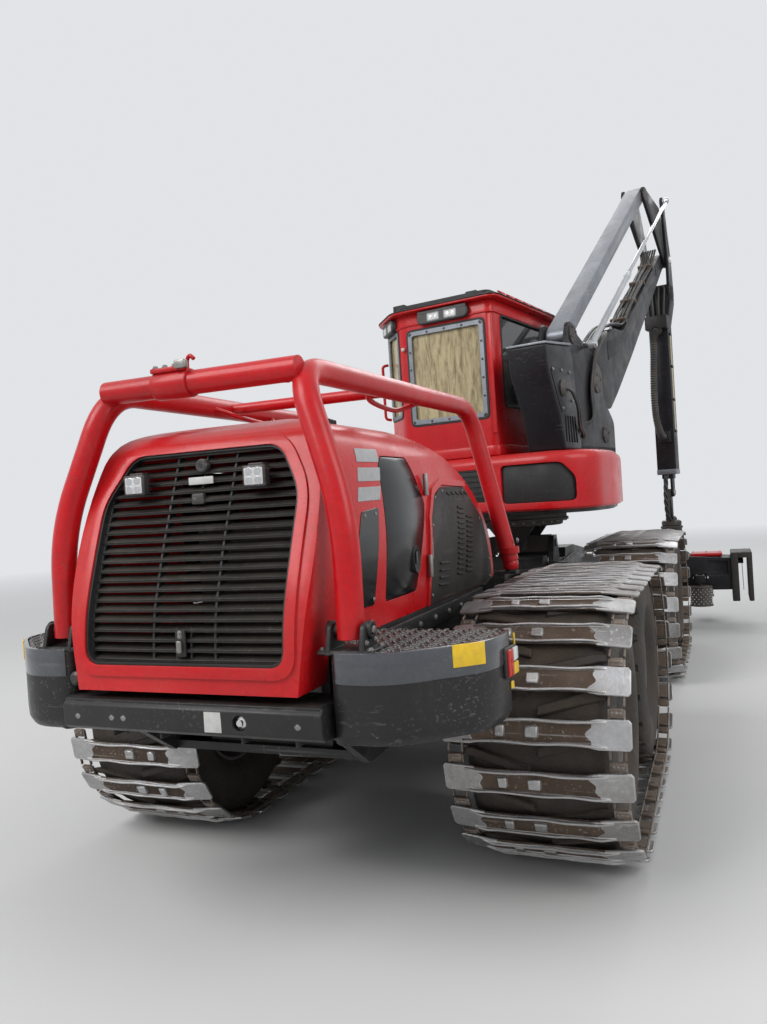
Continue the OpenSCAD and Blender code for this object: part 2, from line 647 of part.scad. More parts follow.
module cab_door() platform_frame() color(red) {
  door_panel();
  at_door_axis() for (z = door_hinges) hinge_moving(z, door_wall);
}
module door_panel() on_wall(4) difference() {
  translate([door_span[0] + seam, 0, door_z[0] + seam])
    cube([door_span[1] - door_span[0] - 2 * seam, cab_wall, door_z[1] - door_z[0] - 2 * seam]);
  translate([door_span[0] + 80, -20, door_z[0] + 420]) cube([door_span[1] - door_span[0] - 160, cab_wall + 40, 780]);
}
module door_glass() platform_frame() color(glass) on_wall(4)
  translate([door_span[0] + 80 + seat_gap, 20, door_z[0] + 420 + seat_gap])
    cube([door_span[1] - door_span[0] - 160 - 2 * seat_gap, glass_t, 780 - 2 * seat_gap]);

roof_over = 95;
module cab_roof() platform_frame() color(black) {
  translate([0, 0, cab_z1 + seat_gap]) linear_extrude(45) polygon(inset(cab_plan, -roof_over));
  translate([0, 0, cab_z1 + seat_gap + 40]) linear_extrude(60) polygon(inset(cab_plan, 20));
  translate([-560, -500, cab_z1 + 90]) cube([420, 420, 110]);
}
module cab_lamps() platform_frame() color([0.85, 0.85, 0.8]) {
  on_wall(6) translate([300, -60 - seat_gap, 3620]) cube([400, 60, 130]);
  on_wall(5) translate([80, -60 - seat_gap, 3620]) cube([330, 60, 130]);
}
module seat() platform_frame() color(dark) {
  translate([-560, -430, cab_z0 + cab_floor_t + seat_gap]) cube([420, 400, 260]);
  translate([-600, -480, cab_z0 + cab_floor_t + 250]) cube([500, 520, 140]);
  translate([-600, -600, cab_z0 + cab_floor_t + 250]) cube([500, 140, 760]);
}

// Crane
module crane() platform_frame() translate([crane_x, 0, 0]) children();

module crane_pillar() crane() color(dark) difference() {
  union() {
    side(360) polygon([[-1080, deck_z1 + seat_gap], [-640, deck_z1 + seat_gap], [-760, 3150], [-800, 3260], [-1450, 3200],
      [-1400, 2950], [-1180, 2600]]);
    for (s = [-1, 1]) side(lug_t, s * (lug_in + lug_t / 2))
      polygon([[-700, deck_z1 + seat_gap], [560, deck_z1 + seat_gap], [560, 2620], [230, 2860], [230, 3130], [0, 3260],
        [-480, 3420], [-520, 3500], [-720, 3520], [-840, 3250], [-840, 2500]]);
    translate([-lug_out, -700, deck_z1 + seat_gap]) cube([2 * lug_out, 1260, 60]);
    cross_pin(boom_pin, pin_r, 2 * lug_out + 30);
    cross_pin(link_pin, pin_r, 2 * lug_out + 30);
    cross_pin(lift_foot, pin_r, 2 * lug_out + 30);
    // Stub pins of the two folding cylinders, clear of the link between the plates
    for (s = [-1, 1]) cross_pin(fold_foot, fold_pin_r, fold_x + fold_r + 12 - lug_in, s * (fold_x + fold_r + 12 + lug_in) / 2);
  }
}

module boom() crane() color(black) difference() {
  union() {
    side(boom_w) {
      translate(boom_pin) circle(165);
      polygon([[-60, 3120], [420, 3450], [880, 3680], [1250, 3700], [3230, 5010], [3420, 4860], [3330, 4840],
        [1560, 3450], [900, 2960], [600, 2760], [100, 2845]]);
      translate(boom_tip) circle(100);
    }
    cross_pin(lift_eye, pin_r, 2 * lug_in - 2 * side_gap);
  }
  // Slot for the lifting cylinder, open below
  side(150) polygon([[170, 2500], [1900, 2500], [1900, 4030], [1300, 3660], [250, 2990], [170, 2900]]);
  cross_pin(boom_pin, pin_r + pin_play, 600);
  cross_pin(boom_tip, pin_r + pin_play, 600);
}

module link_arm() crane() color(grey) difference() {
  side(boom_w) bar2d(link_pin, link_tip, 80, 90);
  cross_pin(link_pin, pin_r + pin_play, 600);
  cross_pin(link_tip, pin_r + pin_play, 600);
}

// Cylinders: each lies between its foot and its eye, its rod out of its barrel
module along(a, b) translate([0, a[0], a[1]]) rotate([atan2(b[1] - a[1], b[0] - a[0]) - 90, 0, 0]) children();

module cylinder_barrel(a, b, r, rod_r, l, foot_r) difference() {
  union() {
    cross_pin(a, r, 2 * r);
    along(a, b) translate([0, 0, r / 2]) cylinder(r = r - 6, h = l - r / 2);
    along(a, b) translate([0, 0, l - 70]) cylinder(r = r, h = 70);
  }
  cross_pin(a, foot_r + pin_play, 4 * r);
  along(a, b) translate([0, 0, foot_r + 50]) cylinder(r = rod_r + seat_gap, h = l);
}
module cylinder_rod(a, b, rod_r, from, eye_r, eye_w) difference() {
  union() {
    along(a, b) translate([0, 0, from]) cylinder(r = rod_r, h = norm(b - a) - from - eye_r / 2);
    cross_pin(b, eye_r, eye_w);
  }
  cross_pin(b, eye_r * 0.6, 2 * eye_w);
}
lift_r = 66;
lift_l = 1020;
fold_l = 1750;
module lift_barrels() crane() color(black) cylinder_barrel(lift_foot, lift_eye, lift_r, 40, lift_l, pin_r);
module lift_rods() crane() color(steel) cylinder_rod(lift_foot, lift_eye, 40, 520, 72, 76);
module fold_barrels() crane() color(steel) for (s = [-1, 1])
  translate([s * fold_x, 0, 0]) cylinder_barrel(fold_foot, fold_eye, fold_r, 22, fold_l, fold_pin_r);
module fold_rods() crane() color(steel) for (s = [-1, 1])
  translate([s * fold_x, 0, 0]) cylinder_rod(fold_foot, fold_eye, 22, 1250, 40, 50);
// The link's pin is left out between the plates, because the link's eye drifts a little there
module rocker() crane() color(black) {
  for (s = [-1, 1]) {
    side(lug_t, s * (lug_in + lug_t / 2)) {
      bar2d(boom_tip, link_tip, 100, 95);
      polygon([boom_tip + [60, -60], link_tip + [-40, 80], [3150, 5600], [3480, 5000]]);
    }
    cross_pin(link_tip, pin_r, lug_t + 5, s * (lug_in + lug_t / 2 + 2.5));
  }
  cross_pin(boom_tip, pin_r, 2 * stick_lug_out + 20);
}
// Stick: a tapered box tube with the extension inside
stick_u = tip_pin[0];
stick_w = 250;
module stick() crane() color(black) difference() {
  union() {
    for (s = [-1, 1]) side(lug_t, s * (stick_lug_in + lug_t / 2)) {
      bar2d(boom_tip, [stick_u, 4500], 110, 130);
      bar2d(boom_tip, fold_eye, 105, 60);
    }
    for (s = [-1, 1]) cross_pin(fold_eye, fold_pin_r, lug_t + 15, s * (stick_lug_in + lug_t / 2 + 7.5));
    intersection() {
      side(2 * stick_lug_out) polygon([[stick_u - 115, 4620], [stick_u + 115, 4620], [stick_u + 100, stick_end],
        [stick_u - 100, stick_end]]);
      rear_view(1000, stick_u - 500) polygon([[-stick_lug_out, 4620], [stick_lug_out, 4620], [stick_lug_out, 4380],
        [stick_w / 2, 4080], [stick_w / 2, stick_end], [-stick_w / 2, stick_end], [-stick_w / 2, 4080],
        [-stick_lug_out, 4380]]);
    }
  }
  translate([-ext_w / 2 - seat_gap, stick_u - ext_w / 2 - seat_gap, stick_end - 10])
    cube([ext_w + 2 * seat_gap, ext_w + 2 * seat_gap, 2450]);
  cross_pin(boom_tip, pin_r + pin_play, 600);
}
// Hose bundle in its sleeve: it leaves the stick's rear face, hangs down and returns to the stick lower down.
// Route: [to the right, forward, height]
hose_r = 50;
hose_route = [[0, 3308, 4010], [0, 3270, 4010], [0, 3220, 4004], [0, 3170, 3985], [0, 3125, 3955], [-2, 3090, 3912],
              [-4, 3070, 3860], [-8, 3060, 3800], [-16, 3055, 3650], [-24, 3050, 3500], [-30, 3045, 3350],
              [-34, 3040, 3200], [-36, 3036, 3050], [-32, 3034, 2900], [-26, 3038, 2800], [-16, 3055, 2715],
              [-8, 3090, 2645], [-2, 3140, 2597], [0, 3200, 2572], [0, 3260, 2566], [0, 3316.4, 2566]];
module stick_hose() crane() color(dark) tube(hose_route, 2 * hose_r, 16);

module extension() crane() color(black) {
  translate([-ext_w / 2, stick_u - ext_w / 2, stick_end - 60]) cube([ext_w, ext_w, 2400]);
  for (s = [-1, 1]) side(30, s * 45) bar2d([stick_u, stick_end - 10], tip_pin, 70, 60);
  cross_pin(tip_pin, 25, 150);
}
module tip_link() crane() color(black) difference() {
  union() {
    side(50) bar2d(tip_pin, [stick_u, rotator_z + 170], 55, 50);
    translate([0, stick_u, rotator_z + 100]) cylinder(r = 75, h = 90);
    translate([0, stick_u, rotator_z + 60]) cylinder(r = 130, h = 60);
  }
  cross_pin(tip_pin, 25 + pin_play, 200);
}
module rotator() head_place() color(dark) {
  translate([0, 0, rotator_z - 60]) cylinder(r = 150, h = 120 - seat_gap);
}

// Harvester head
yoke_top = 1120;
module head_yoke() head_place() color(black) difference() {
  union() {
    translate([-130, -yoke_in - yoke_t, yoke_top]) cube([260, 2 * (yoke_in + yoke_t), 60]);
    translate([0, 0, yoke_top + 50]) cylinder(r = 140, h = rotator_z - 60 - yoke_top - 50 - seat_gap);
    for (s = [-1, 1]) translate([0, s * (yoke_in + yoke_t / 2), 0]) rotate([90, 0, 0]) linear_extrude(yoke_t, center = true) {
      translate([0, tilt_z]) circle(75);
      polygon([[-72, tilt_z + 20], [25, tilt_z + 230], [25, yoke_top + 20], [130, yoke_top + 20], [130, tilt_z + 200],
        [72, tilt_z - 20]]);
    }
  }
  translate([0, -500, tilt_z]) rotate([-90, 0, 0]) cylinder(r = 40 + pin_play, h = 1000);
}
module head_frame() head_place() color(black) {
  rotate([90, 0, 0]) linear_extrude(2 * head_half, center = true)
    polygon([[-head_back, 560], [-head_back + 60, 480], [head_front - 260, 480], [head_front - 260, 900],
      [200, 930], [120, 980], [-150, 980], [-head_back, 880]]);
  translate([0, -yoke_in - yoke_t - 10, tilt_z]) rotate([-90, 0, 0]) cylinder(r = 40, h = 2 * (yoke_in + yoke_t + 10));
  // Saw box
  translate([head_front - 260, -300, 330]) cube([90, 620, 640]);
  translate([head_front - 60, -300, 330]) cube([60, 620, 640]);
  translate([head_front - 180, -300, 900]) cube([130, 620, 70]);
  translate([head_front - 200, 200, 820]) rotate([0, 90, 0]) cylinder(r = 50, h = 40);
  for (s = [-1, 1]) {
    // Knife pins
    translate([-head_back - knife_w - 25, s * knife_pin[0], knife_pin[1]]) rotate([0, 90, 0])
      cylinder(r = 30, h = knife_w + 60);
    // Brackets and pin of a roller's arm
    for (x = [arm_x0 - 25, arm_x0 + arm_w + side_gap]) translate([x, 0, 0]) rotate([90, 0, 90]) linear_extrude(20)
      polygon([[s * (head_half - 10), arm_pin[1] - 35], [s * (head_half - 10), arm_pin[1] + 60],
        [s * (arm_pin[0] + 35), arm_pin[1] + 35], [s * (arm_pin[0] + 35), arm_pin[1] - 30]]);
    translate([arm_x0 - 35, s * arm_pin[0], arm_pin[1]]) rotate([0, 90, 0]) cylinder(r = 20, h = arm_w + 75);
  }
}
// A curved knife in the head's cross view
module knife(s) head_place() color(steel) difference() {
  translate([-head_back - seat_gap - knife_w, 0, 0]) rotate([90, 0, 90]) linear_extrude(knife_w)
    on_side(s) difference() {
      union() {
        translate([60, 400]) circle(345);
        translate(knife_pin) circle(75);
      }
      translate([40, 400]) circle(270);
      translate([-400, -100]) square([440, 1000]);
    }
  translate([-head_back - 200, s * knife_pin[0], knife_pin[1]]) rotate([0, 90, 0]) cylinder(r = 30 + pin_play, h = 300);
}
module knife_right() knife(1);
module knife_left() knife(-1);
// A roller's arm hangs the roller beside the stem
module roller_arm(s) head_place() color(black) difference() {
  translate([arm_x0, 0, 0]) rotate([90, 0, 90]) linear_extrude(arm_w) on_side(s) {
    bar2d(arm_pin, [arm_reach, arm_pin[1]], 34, 50);
    translate([arm_reach - 60, arm_pin[1] - 50]) square([120, 100]);
  }
  translate([arm_x0 - 100, s * arm_pin[0], arm_pin[1]]) rotate([0, 90, 0]) cylinder(r = 20 + pin_play, h = 400);
  translate([arm_x0 + arm_w / 2, s * arm_reach, 500]) cylinder(r = 25 + pin_play, h = 400);
}
module roller_arm_right() roller_arm(1);
module roller_arm_left() roller_arm(-1);
module roller(s) head_place() color(steel) translate([arm_x0 + arm_w / 2, s * arm_reach, 0]) {
  translate([0, 0, roller_z1 - 260]) cylinder(r = roller_r, h = 260);
  translate([0, 0, roller_z1 - 10]) cylinder(r = 25, h = arm_pin[1] + 50 - roller_z1);
}
module roller_right() roller(1);
module roller_left() roller(-1);
module saw_bar() head_place() color(steel) {
  translate([head_front - 125, 0, 0]) rotate([90, 0, 90]) linear_extrude(8) bar2d([200, 820], [-250, 520], 60, 45);
  translate([head_front - 160 + seat_gap, 200, 820]) rotate([0, 90, 0]) cylinder(r = 40, h = 60);
}

rear_frame();
rear_bogies();
rear_rims();
rear_tyres();
rear_track_right();
rear_track_left();
bumper();
engine_hood();
grille();
rear_lamps();
engine();
guard_frame();
hatch_right();
hatch_left();
front_frame();
front_bogies();
front_rims();
front_tyres();
front_track_right();
front_track_left();
level_cradle();
slew_base();
platform();
cab_shell();
cab_glass();
cab_roof();
cab_lamps();
cab_door();
door_glass();
seat();
crane_pillar();
boom();
link_arm();
lift_barrels();
lift_rods();
rocker();
fold_barrels();
fold_rods();
stick();
stick_hose();
extension();
tip_link();
rotator();
head_yoke();
head_frame();
knife_right();
knife_left();
roller_arm_right();
roller_arm_left();
roller_right();
roller_left();
saw_bar();
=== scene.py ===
"""Looks of a forestry harvester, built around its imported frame.

Sizes are in metres. Each sub-assembly is modelled in the axes of what carries it, named in Place, and is
then moved there once, so that every finished piece stands in the frame's own axes with its object at the
origin: +X to the machine's right, +Y forward and +Z up.
"""
from __future__ import annotations

import logging
import math
from dataclasses import dataclass, field
from enum import Enum
from typing import Callable, Iterable, Optional, Sequence

import bpy
from mathutils import Matrix, Vector

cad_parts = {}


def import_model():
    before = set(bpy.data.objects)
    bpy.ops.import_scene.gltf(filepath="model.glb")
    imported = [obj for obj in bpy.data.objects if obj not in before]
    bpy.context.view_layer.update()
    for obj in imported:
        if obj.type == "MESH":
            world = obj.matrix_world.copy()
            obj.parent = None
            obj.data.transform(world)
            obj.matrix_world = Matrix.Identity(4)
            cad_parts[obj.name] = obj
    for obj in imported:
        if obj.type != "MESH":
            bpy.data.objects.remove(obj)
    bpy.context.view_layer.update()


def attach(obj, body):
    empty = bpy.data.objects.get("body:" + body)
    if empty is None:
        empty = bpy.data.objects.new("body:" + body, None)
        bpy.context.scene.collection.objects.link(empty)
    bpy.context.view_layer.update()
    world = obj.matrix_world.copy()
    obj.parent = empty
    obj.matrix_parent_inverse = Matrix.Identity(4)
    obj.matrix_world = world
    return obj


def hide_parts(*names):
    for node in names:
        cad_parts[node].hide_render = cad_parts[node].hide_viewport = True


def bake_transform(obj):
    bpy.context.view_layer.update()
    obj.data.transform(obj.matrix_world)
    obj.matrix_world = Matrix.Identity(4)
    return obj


LOG = logging.getLogger("harvester")
Colour = tuple[float, float, float]
Point = Sequence[float]

# Middle of the floor box in the vehicle's own axes, whose zero lies at the bumper's rear face
ORIGIN = Vector((0.367013, 4.8288, 0.0))
SLEW_Y = 5.9
SLEW_REST = math.radians(-10.0)
CRANE_X = 0.78
HEAD = Vector((1.36203, 9.1326, 0.0))
WHEEL_X = 1.163
WHEEL_Z = 0.7003
WHEEL_GAP = 1.5
BOGIES = {"rear": 2.36, "front": 6.507}
TYRE_R = 0.67
SIDES = {"right": 1, "left": -1}


class Place(Enum):
    """Axes that a sub-assembly is modelled in."""

    VEHICLE = "vehicle"
    PLATFORM = "platform"
    CRANE = "crane"
    HEAD = "head"

    def matrix(self) -> Matrix:
        """The move from these axes to the frame's.

        Returns:
            A 4x4 matrix.
        """
        vehicle = Matrix.Translation(-ORIGIN)
        if self is Place.VEHICLE:
            return vehicle
        if self is Place.HEAD:
            return vehicle @ Matrix.Translation(HEAD)
        turned = vehicle @ Matrix.Translation((0, SLEW_Y, 0)) @ Matrix.Rotation(SLEW_REST, 4, "Z")
        return turned if self is Place.PLATFORM else turned @ Matrix.Translation((CRANE_X, 0, 0))


class Socket(Enum):
    """Kinds of socket on a shader group."""

    NUMBER = "NodeSocketFloat"
    COLOUR = "NodeSocketColor"
    VECTOR = "NodeSocketVector"


class Nodes:
    """A short hand for building node trees."""

    def __init__(self, tree: bpy.types.NodeTree) -> None:
        """Keeps the tree that nodes are added to.

        Args:
            tree: The node tree.
        """
        self.tree = tree

    def add(self, kind: str, inputs: Optional[dict] = None, **settings: object) -> bpy.types.Node:
        """Adds a node.

        Args:
            kind: Blender's name of the node type, without its ShaderNode start.
            inputs: Values or output sockets for its inputs, by name or number.
            settings: Properties of the node.

        Returns:
            The new node.
        """
        node = self.tree.nodes.new("ShaderNode" + kind)
        for key, value in settings.items():
            setattr(node, key, value)
        for key, value in (inputs or {}).items():
            if isinstance(value, bpy.types.NodeSocket):
                self.tree.links.new(value, node.inputs[key])
            else:
                node.inputs[key].default_value = value
        return node

    def math(self, operation: str, *values: object, clamp: bool = False) -> bpy.types.NodeSocket:
        """Adds a Math node and gives its output.

        Args:
            operation: Operation of the node.
            values: Numbers or sockets for its inputs.
            clamp: Whether the result is held between 0 and 1.

        Returns:
            The output socket.
        """
        return self.add("Math", dict(enumerate(values)), operation=operation, use_clamp=clamp).outputs[0]

    def spread(self, value: bpy.types.NodeSocket, low: float, high: float,
               to: tuple[float, float] = (0.0, 1.0)):
        """Maps a span of a value onto another, held at its ends.

        Args:
            value: Socket of the value.
            low: Start of the span.
            high: End of the span.
            to: What the start and the end become.

        Returns:
            The output socket.
        """
        inputs = {0: value, 1: low, 2: high, 3: to[0], 4: to[1]}
        return self.add("MapRange", inputs, clamp=True).outputs[0]

    def blend(self, mask: object, a: object, b: object, mode: str = "MIX") -> bpy.types.NodeSocket:
        """Mixes two colours by a mask and gives the output.

        Args:
            mask: Number or socket of the mask.
            a: Colour where the mask is 0.
            b: Colour where the mask is 1.
            mode: Blend type of the node.

        Returns:
            The output socket.
        """
        wide = [c if isinstance(c, bpy.types.NodeSocket) else (*c, 1.0) for c in (a, b)]
        node = self.add("Mix", {0: mask, 6: wide[0], 7: wide[1]}, data_type="RGBA", blend_type=mode)
        return node.outputs[2]

    def noise(self, at: object, scale: float, detail: float = 3.0, rough: float = 0.55, warp: float = 0.0):
        """Adds a noise texture and gives its value.

        Args:
            at: Socket of the coordinates.
            scale: Scale of the noise.
            detail: Its octaves.
            rough: Its roughness.
            warp: Its distortion.

        Returns:
            The output socket.
        """
        inputs = {"Vector": at, "Scale": scale, "Detail": detail, "Roughness": rough, "Distortion": warp}
        return self.add("TexNoise", inputs).outputs[0]

    def stretched(self, at: object, scale: Point, turn: Point = (0.0, 0.0, 0.0)) -> bpy.types.NodeSocket:
        """Stretches and turns coordinates with a Mapping node and gives its output.

        Args:
            at: Socket of the coordinates.
            scale: Scale on each axis.
            turn: Turn about each axis in radians.

        Returns:
            The output socket.
        """
        return self.add("Mapping", {"Vector": at, "Scale": scale, "Rotation": turn}).outputs[0]


class Groups:
    """Shader groups that several finishes share. Each is built once."""

    _made: dict[str, bpy.types.NodeTree] = {}

    @classmethod
    def get(cls, name: str, build: Callable[[Nodes, dict], dict], sockets: dict, outputs: dict):
        """Finds or builds a group.

        Args:
            name: The group's name.
            build: Makes its nodes from the inputs' sockets, and gives its outputs by name.
            sockets: Each input's name with its kind and its usual value.
            outputs: Each output's name with its kind.

        Returns:
            The node tree.
        """
        if name in cls._made:
            return cls._made[name]
        tree = bpy.data.node_groups.new(name, "ShaderNodeTree")
        for key, (kind, value) in sockets.items():
            socket = tree.interface.new_socket(name=key, in_out="INPUT", socket_type=kind.value)
            socket.default_value = value
        for key, kind in outputs.items():
            tree.interface.new_socket(name=key, in_out="OUTPUT", socket_type=kind.value)
        entry = tree.nodes.new("NodeGroupInput")
        made = build(Nodes(tree), {key: entry.outputs[key] for key in sockets})
        leave = tree.nodes.new("NodeGroupOutput")
        for key, socket in made.items():
            tree.links.new(socket, leave.inputs[key])
        cls._made[name] = tree
        return tree

    @classmethod
    def edge_wear(cls) -> bpy.types.NodeTree:
        """Mask of worn edges: where a rounded normal leaves the true one, broken up by noise.

        Returns:
            The node group.
        """

        def build(n: Nodes, i: dict) -> dict:
            """Makes the nodes.

            Args:
                n: The group's nodes.
                i: Its input sockets by name.

            Returns:
                The output sockets by name.
            """
            at = n.add("TexCoord").outputs["Object"]
            soft = n.add("Bevel", {"Radius": i["Radius"]}, samples=4).outputs[0]
            true = n.add("NewGeometry").outputs["Normal"]
            same = n.add("VectorMath", {0: soft, 1: true}, operation="DOT_PRODUCT").outputs["Value"]
            bent = n.math("SUBTRACT", 1.0, same)
            patch = n.noise(at, 9.0, 5.0, 0.65)
            fine = n.noise(at, 70.0, 4.0, 0.7)
            broken = n.math("ADD", n.math("MULTIPLY", patch, 0.7), n.math("MULTIPLY", fine, 0.3))
            reach = n.math("MULTIPLY", n.math("SUBTRACT", broken, n.math("SUBTRACT", 1.0, i["Amount"])), 6.0,
                           clamp=True)
            return {"Mask": n.math("MULTIPLY", n.spread(bent, 0.02, 0.16), reach)}

        kinds = {"Radius": (Socket.NUMBER, 0.008), "Amount": (Socket.NUMBER, 0.5)}
        return cls.get("Edge wear", build, kinds, {"Mask": Socket.NUMBER})

    @classmethod
    def dust(cls) -> bpy.types.NodeTree:
        """Mask of dust, thickest on faces that look up and in patches.

        Returns:
            The node group.
        """

        def build(n: Nodes, i: dict) -> dict:
            """Makes the nodes.

            Args:
                n: The group's nodes.
                i: Its input sockets by name.

            Returns:
                The output sockets by name.
            """
            at = n.add("TexCoord").outputs["Object"]
            true = n.add("NewGeometry").outputs["Normal"]
            up = n.add("SeparateXYZ", {0: true}).outputs[2]
            level = n.spread(up, -0.2, 0.95, (0.25, 1.0))
            clouds = n.spread(n.noise(at, i["Scale"], 6.0, 0.62, 0.3), 0.35, 0.72)
            specks = n.spread(n.noise(at, 140.0, 2.0, 0.6), 0.45, 0.75, (0.55, 1.0))
            full = n.math("MULTIPLY", n.math("MULTIPLY", level, clouds), specks)
            return {"Mask": n.math("MULTIPLY", full, i["Amount"], clamp=True)}

        kinds = {"Scale": (Socket.NUMBER, 2.2), "Amount": (Socket.NUMBER, 0.4)}
        return cls.get("Dust", build, kinds, {"Mask": Socket.NUMBER})

    @classmethod
    def runs(cls) -> bpy.types.NodeTree:
        """Mask of thin marks that run down upright faces.

        Returns:
            The node group.
        """

        def build(n: Nodes, i: dict) -> dict:
            """Makes the nodes.

            Args:
                n: The group's nodes.
                i: Its input sockets by name.

            Returns:
                The output sockets by name.
            """
            at = n.add("TexCoord").outputs["Object"]
            long = n.noise(n.stretched(at, (9.0, 9.0, 0.8)), i["Scale"], 5.0, 0.7)
            gate = n.spread(n.noise(at, 1.7, 3.0), 0.4, 0.65)
            return {"Mask": n.math("MULTIPLY", n.math("MULTIPLY", n.spread(long, 0.55, 0.72), gate),
                                   i["Amount"])}

        kinds = {"Scale": (Socket.NUMBER, 2.5), "Amount": (Socket.NUMBER, 0.3)}
        return cls.get("Runs", build, kinds, {"Mask": Socket.NUMBER})

    @classmethod
    def scratches(cls) -> bpy.types.NodeTree:
        """Mask of fine crossing scratches.

        Returns:
            The node group.
        """

        def build(n: Nodes, i: dict) -> dict:
            """Makes the nodes.

            Args:
                n: The group's nodes.
                i: Its input sockets by name.

            Returns:
                The output sockets by name.
            """
            at = n.add("TexCoord").outputs["Object"]
            lines = []
            for turn, scale in (((0.2, 0.5, 0.35), (1.5, 70.0, 60.0)), ((1.1, 0.3, 1.4), (60.0, 2.0, 75.0))):
                grain = n.noise(n.stretched(at, scale, turn), i["Scale"], 1.0, 0.5, 0.4)
                lines.append(n.spread(grain, 0.64, 0.7))
            gate = n.spread(n.noise(at, 3.1, 4.0, 0.65), 0.42, 0.62)
            both = n.math("MULTIPLY", n.math("MAXIMUM", *lines), gate)
            return {"Mask": n.math("MULTIPLY", both, i["Amount"])}

        kinds = {"Scale": (Socket.NUMBER, 1.0), "Amount": (Socket.NUMBER, 0.5)}
        return cls.get("Scratches", build, kinds, {"Mask": Socket.NUMBER})

    @classmethod
    def grain(cls) -> bpy.types.NodeTree:
        """Height of a cast or sprayed surface: small bumps over slow waves.

        Returns:
            The node group.
        """

        def build(n: Nodes, i: dict) -> dict:
            """Makes the nodes.

            Args:
                n: The group's nodes.
                i: Its input sockets by name.

            Returns:
                The output sockets by name.
            """
            at = n.add("TexCoord").outputs["Object"]
            fine = n.noise(at, i["Scale"], 4.0, 0.6)
            slow = n.noise(at, 4.0, 2.0)
            return {"Height": n.math("ADD", n.math("MULTIPLY", fine, i["Depth"]),
                                     n.math("MULTIPLY", slow, 0.15))}

        kinds = {"Scale": (Socket.NUMBER, 180.0), "Depth": (Socket.NUMBER, 0.3)}
        return cls.get("Grain", build, kinds, {"Height": Socket.NUMBER})


@dataclass(frozen=True)
class Finish:
    """A painted, cast or bare surface with its age on it.

    Attributes:
        name: Name of the material.
        colour: Main colour, linear.
        shade: Colour of the slow patches in it.
        rough: Least and greatest roughness.
        metal: 1 for bare metal.
        coat: Clear gloss over the colour.
        wear: Colour of worn edges and scratches.
        worn: How far edges are worn, from 0 to 1.
        wear_metal: How metallic a worn edge is.
        edge: Width of worn and rounded edges.
        scratched: How scratched the faces are.
        dust: Colour of the dust.
        dusty: How dusty faces that look up are.
        runs: Strength of marks that run down.
        run_colour: Colour of these marks.
        grain: Scale of the grain.
        depth: Height of the grain.
        bump: Strength of the relief.
        shine: Strength of its mirror light, 0.5 for plain paint.
    """

    name: str
    colour: Colour
    shade: Colour
    rough: tuple[float, float] = (0.35, 0.55)
    metal: float = 0.0
    coat: float = 0.0
    wear: Colour = (0.30, 0.29, 0.28)
    worn: float = 0.45
    wear_metal: float = 0.7
    edge: float = 0.008
    scratched: float = 0.3
    dust: Colour = (0.36, 0.31, 0.25)
    dusty: float = 0.35
    runs: float = 0.25
    run_colour: Colour = (0.10, 0.07, 0.05)
    grain: float = 180.0
    depth: float = 0.3
    bump: float = 0.12
    shine: float = 0.5

    def build(self) -> bpy.types.Material:
        """Makes the material once.

        Returns:
            The material.
        """
        found = bpy.data.materials.get(self.name)
        if found:
            return found
        material = bpy.data.materials.new(self.name)
        material.use_nodes = True
        n = Nodes(material.node_tree)
        shader = material.node_tree.nodes["Principled BSDF"]
        link = material.node_tree.links.new

        def group(tree: bpy.types.NodeTree, **inputs: float) -> bpy.types.NodeSocket:
            """Places a group with its own values and gives its one output.

            Args:
                tree: The group.
                inputs: Values of its inputs.

            Returns:
                The output socket.
            """
            return n.add("Group", inputs, node_tree=tree).outputs[0]

        at = n.add("TexCoord").outputs["Object"]
        slow = n.spread(n.noise(at, 1.3, 5.0, 0.6, 0.2), 0.35, 0.68)
        colour = n.blend(slow, self.colour, self.shade)
        fine = n.spread(n.noise(at, 34.0, 3.0, 0.6), 0.3, 0.7, (0.9, 1.08))
        colour = n.blend(1.0, colour, n.add("CombineColor", {0: fine, 1: fine, 2: fine}).outputs[0],
                         "MULTIPLY")
        marks = group(Groups.runs(), Amount=self.runs)
        colour = n.blend(marks, colour, self.run_colour)
        edges = group(Groups.edge_wear(), Radius=self.edge, Amount=self.worn)
        lines = group(Groups.scratches(), Amount=self.scratched)
        worn = n.math("MAXIMUM", edges, lines, clamp=True)
        colour = n.blend(worn, colour, self.wear)
        dirt = group(Groups.dust(), Amount=self.dusty)
        colour = n.blend(dirt, colour, self.dust)
        link(colour, shader.inputs["Base Color"])
        rough = n.spread(n.noise(at, 6.0, 5.0, 0.65), 0.3, 0.7, self.rough)
        rough = n.math("ADD", rough, n.math("MULTIPLY", dirt, 0.45), clamp=True)
        link(rough, shader.inputs["Roughness"])
        clean = n.math("SUBTRACT", 1.0, dirt)
        if self.metal or self.wear_metal:
            bare = n.math("MAXIMUM", self.metal, n.math("MULTIPLY", worn, self.wear_metal))
            link(n.math("MULTIPLY", bare, clean, clamp=True), shader.inputs["Metallic"])
        if self.coat:
            link(n.math("MULTIPLY", clean, self.coat), shader.inputs["Coat Weight"])
            shader.inputs["Coat Roughness"].default_value = 0.12
        shader.inputs["Specular IOR Level"].default_value = self.shine
        rounded = n.add("Bevel", {"Radius": self.edge * 0.6}, samples=4).outputs[0]
        height = group(Groups.grain(), Scale=self.grain, Depth=self.depth)
        relief = n.math("SUBTRACT", height, n.math("MULTIPLY", worn, 0.25))
        bump = n.add("Bump", {"Height": relief, "Strength": self.bump, "Distance": 0.01, "Normal": rounded})
        link(bump.outputs[0], shader.inputs["Normal"])
        return material


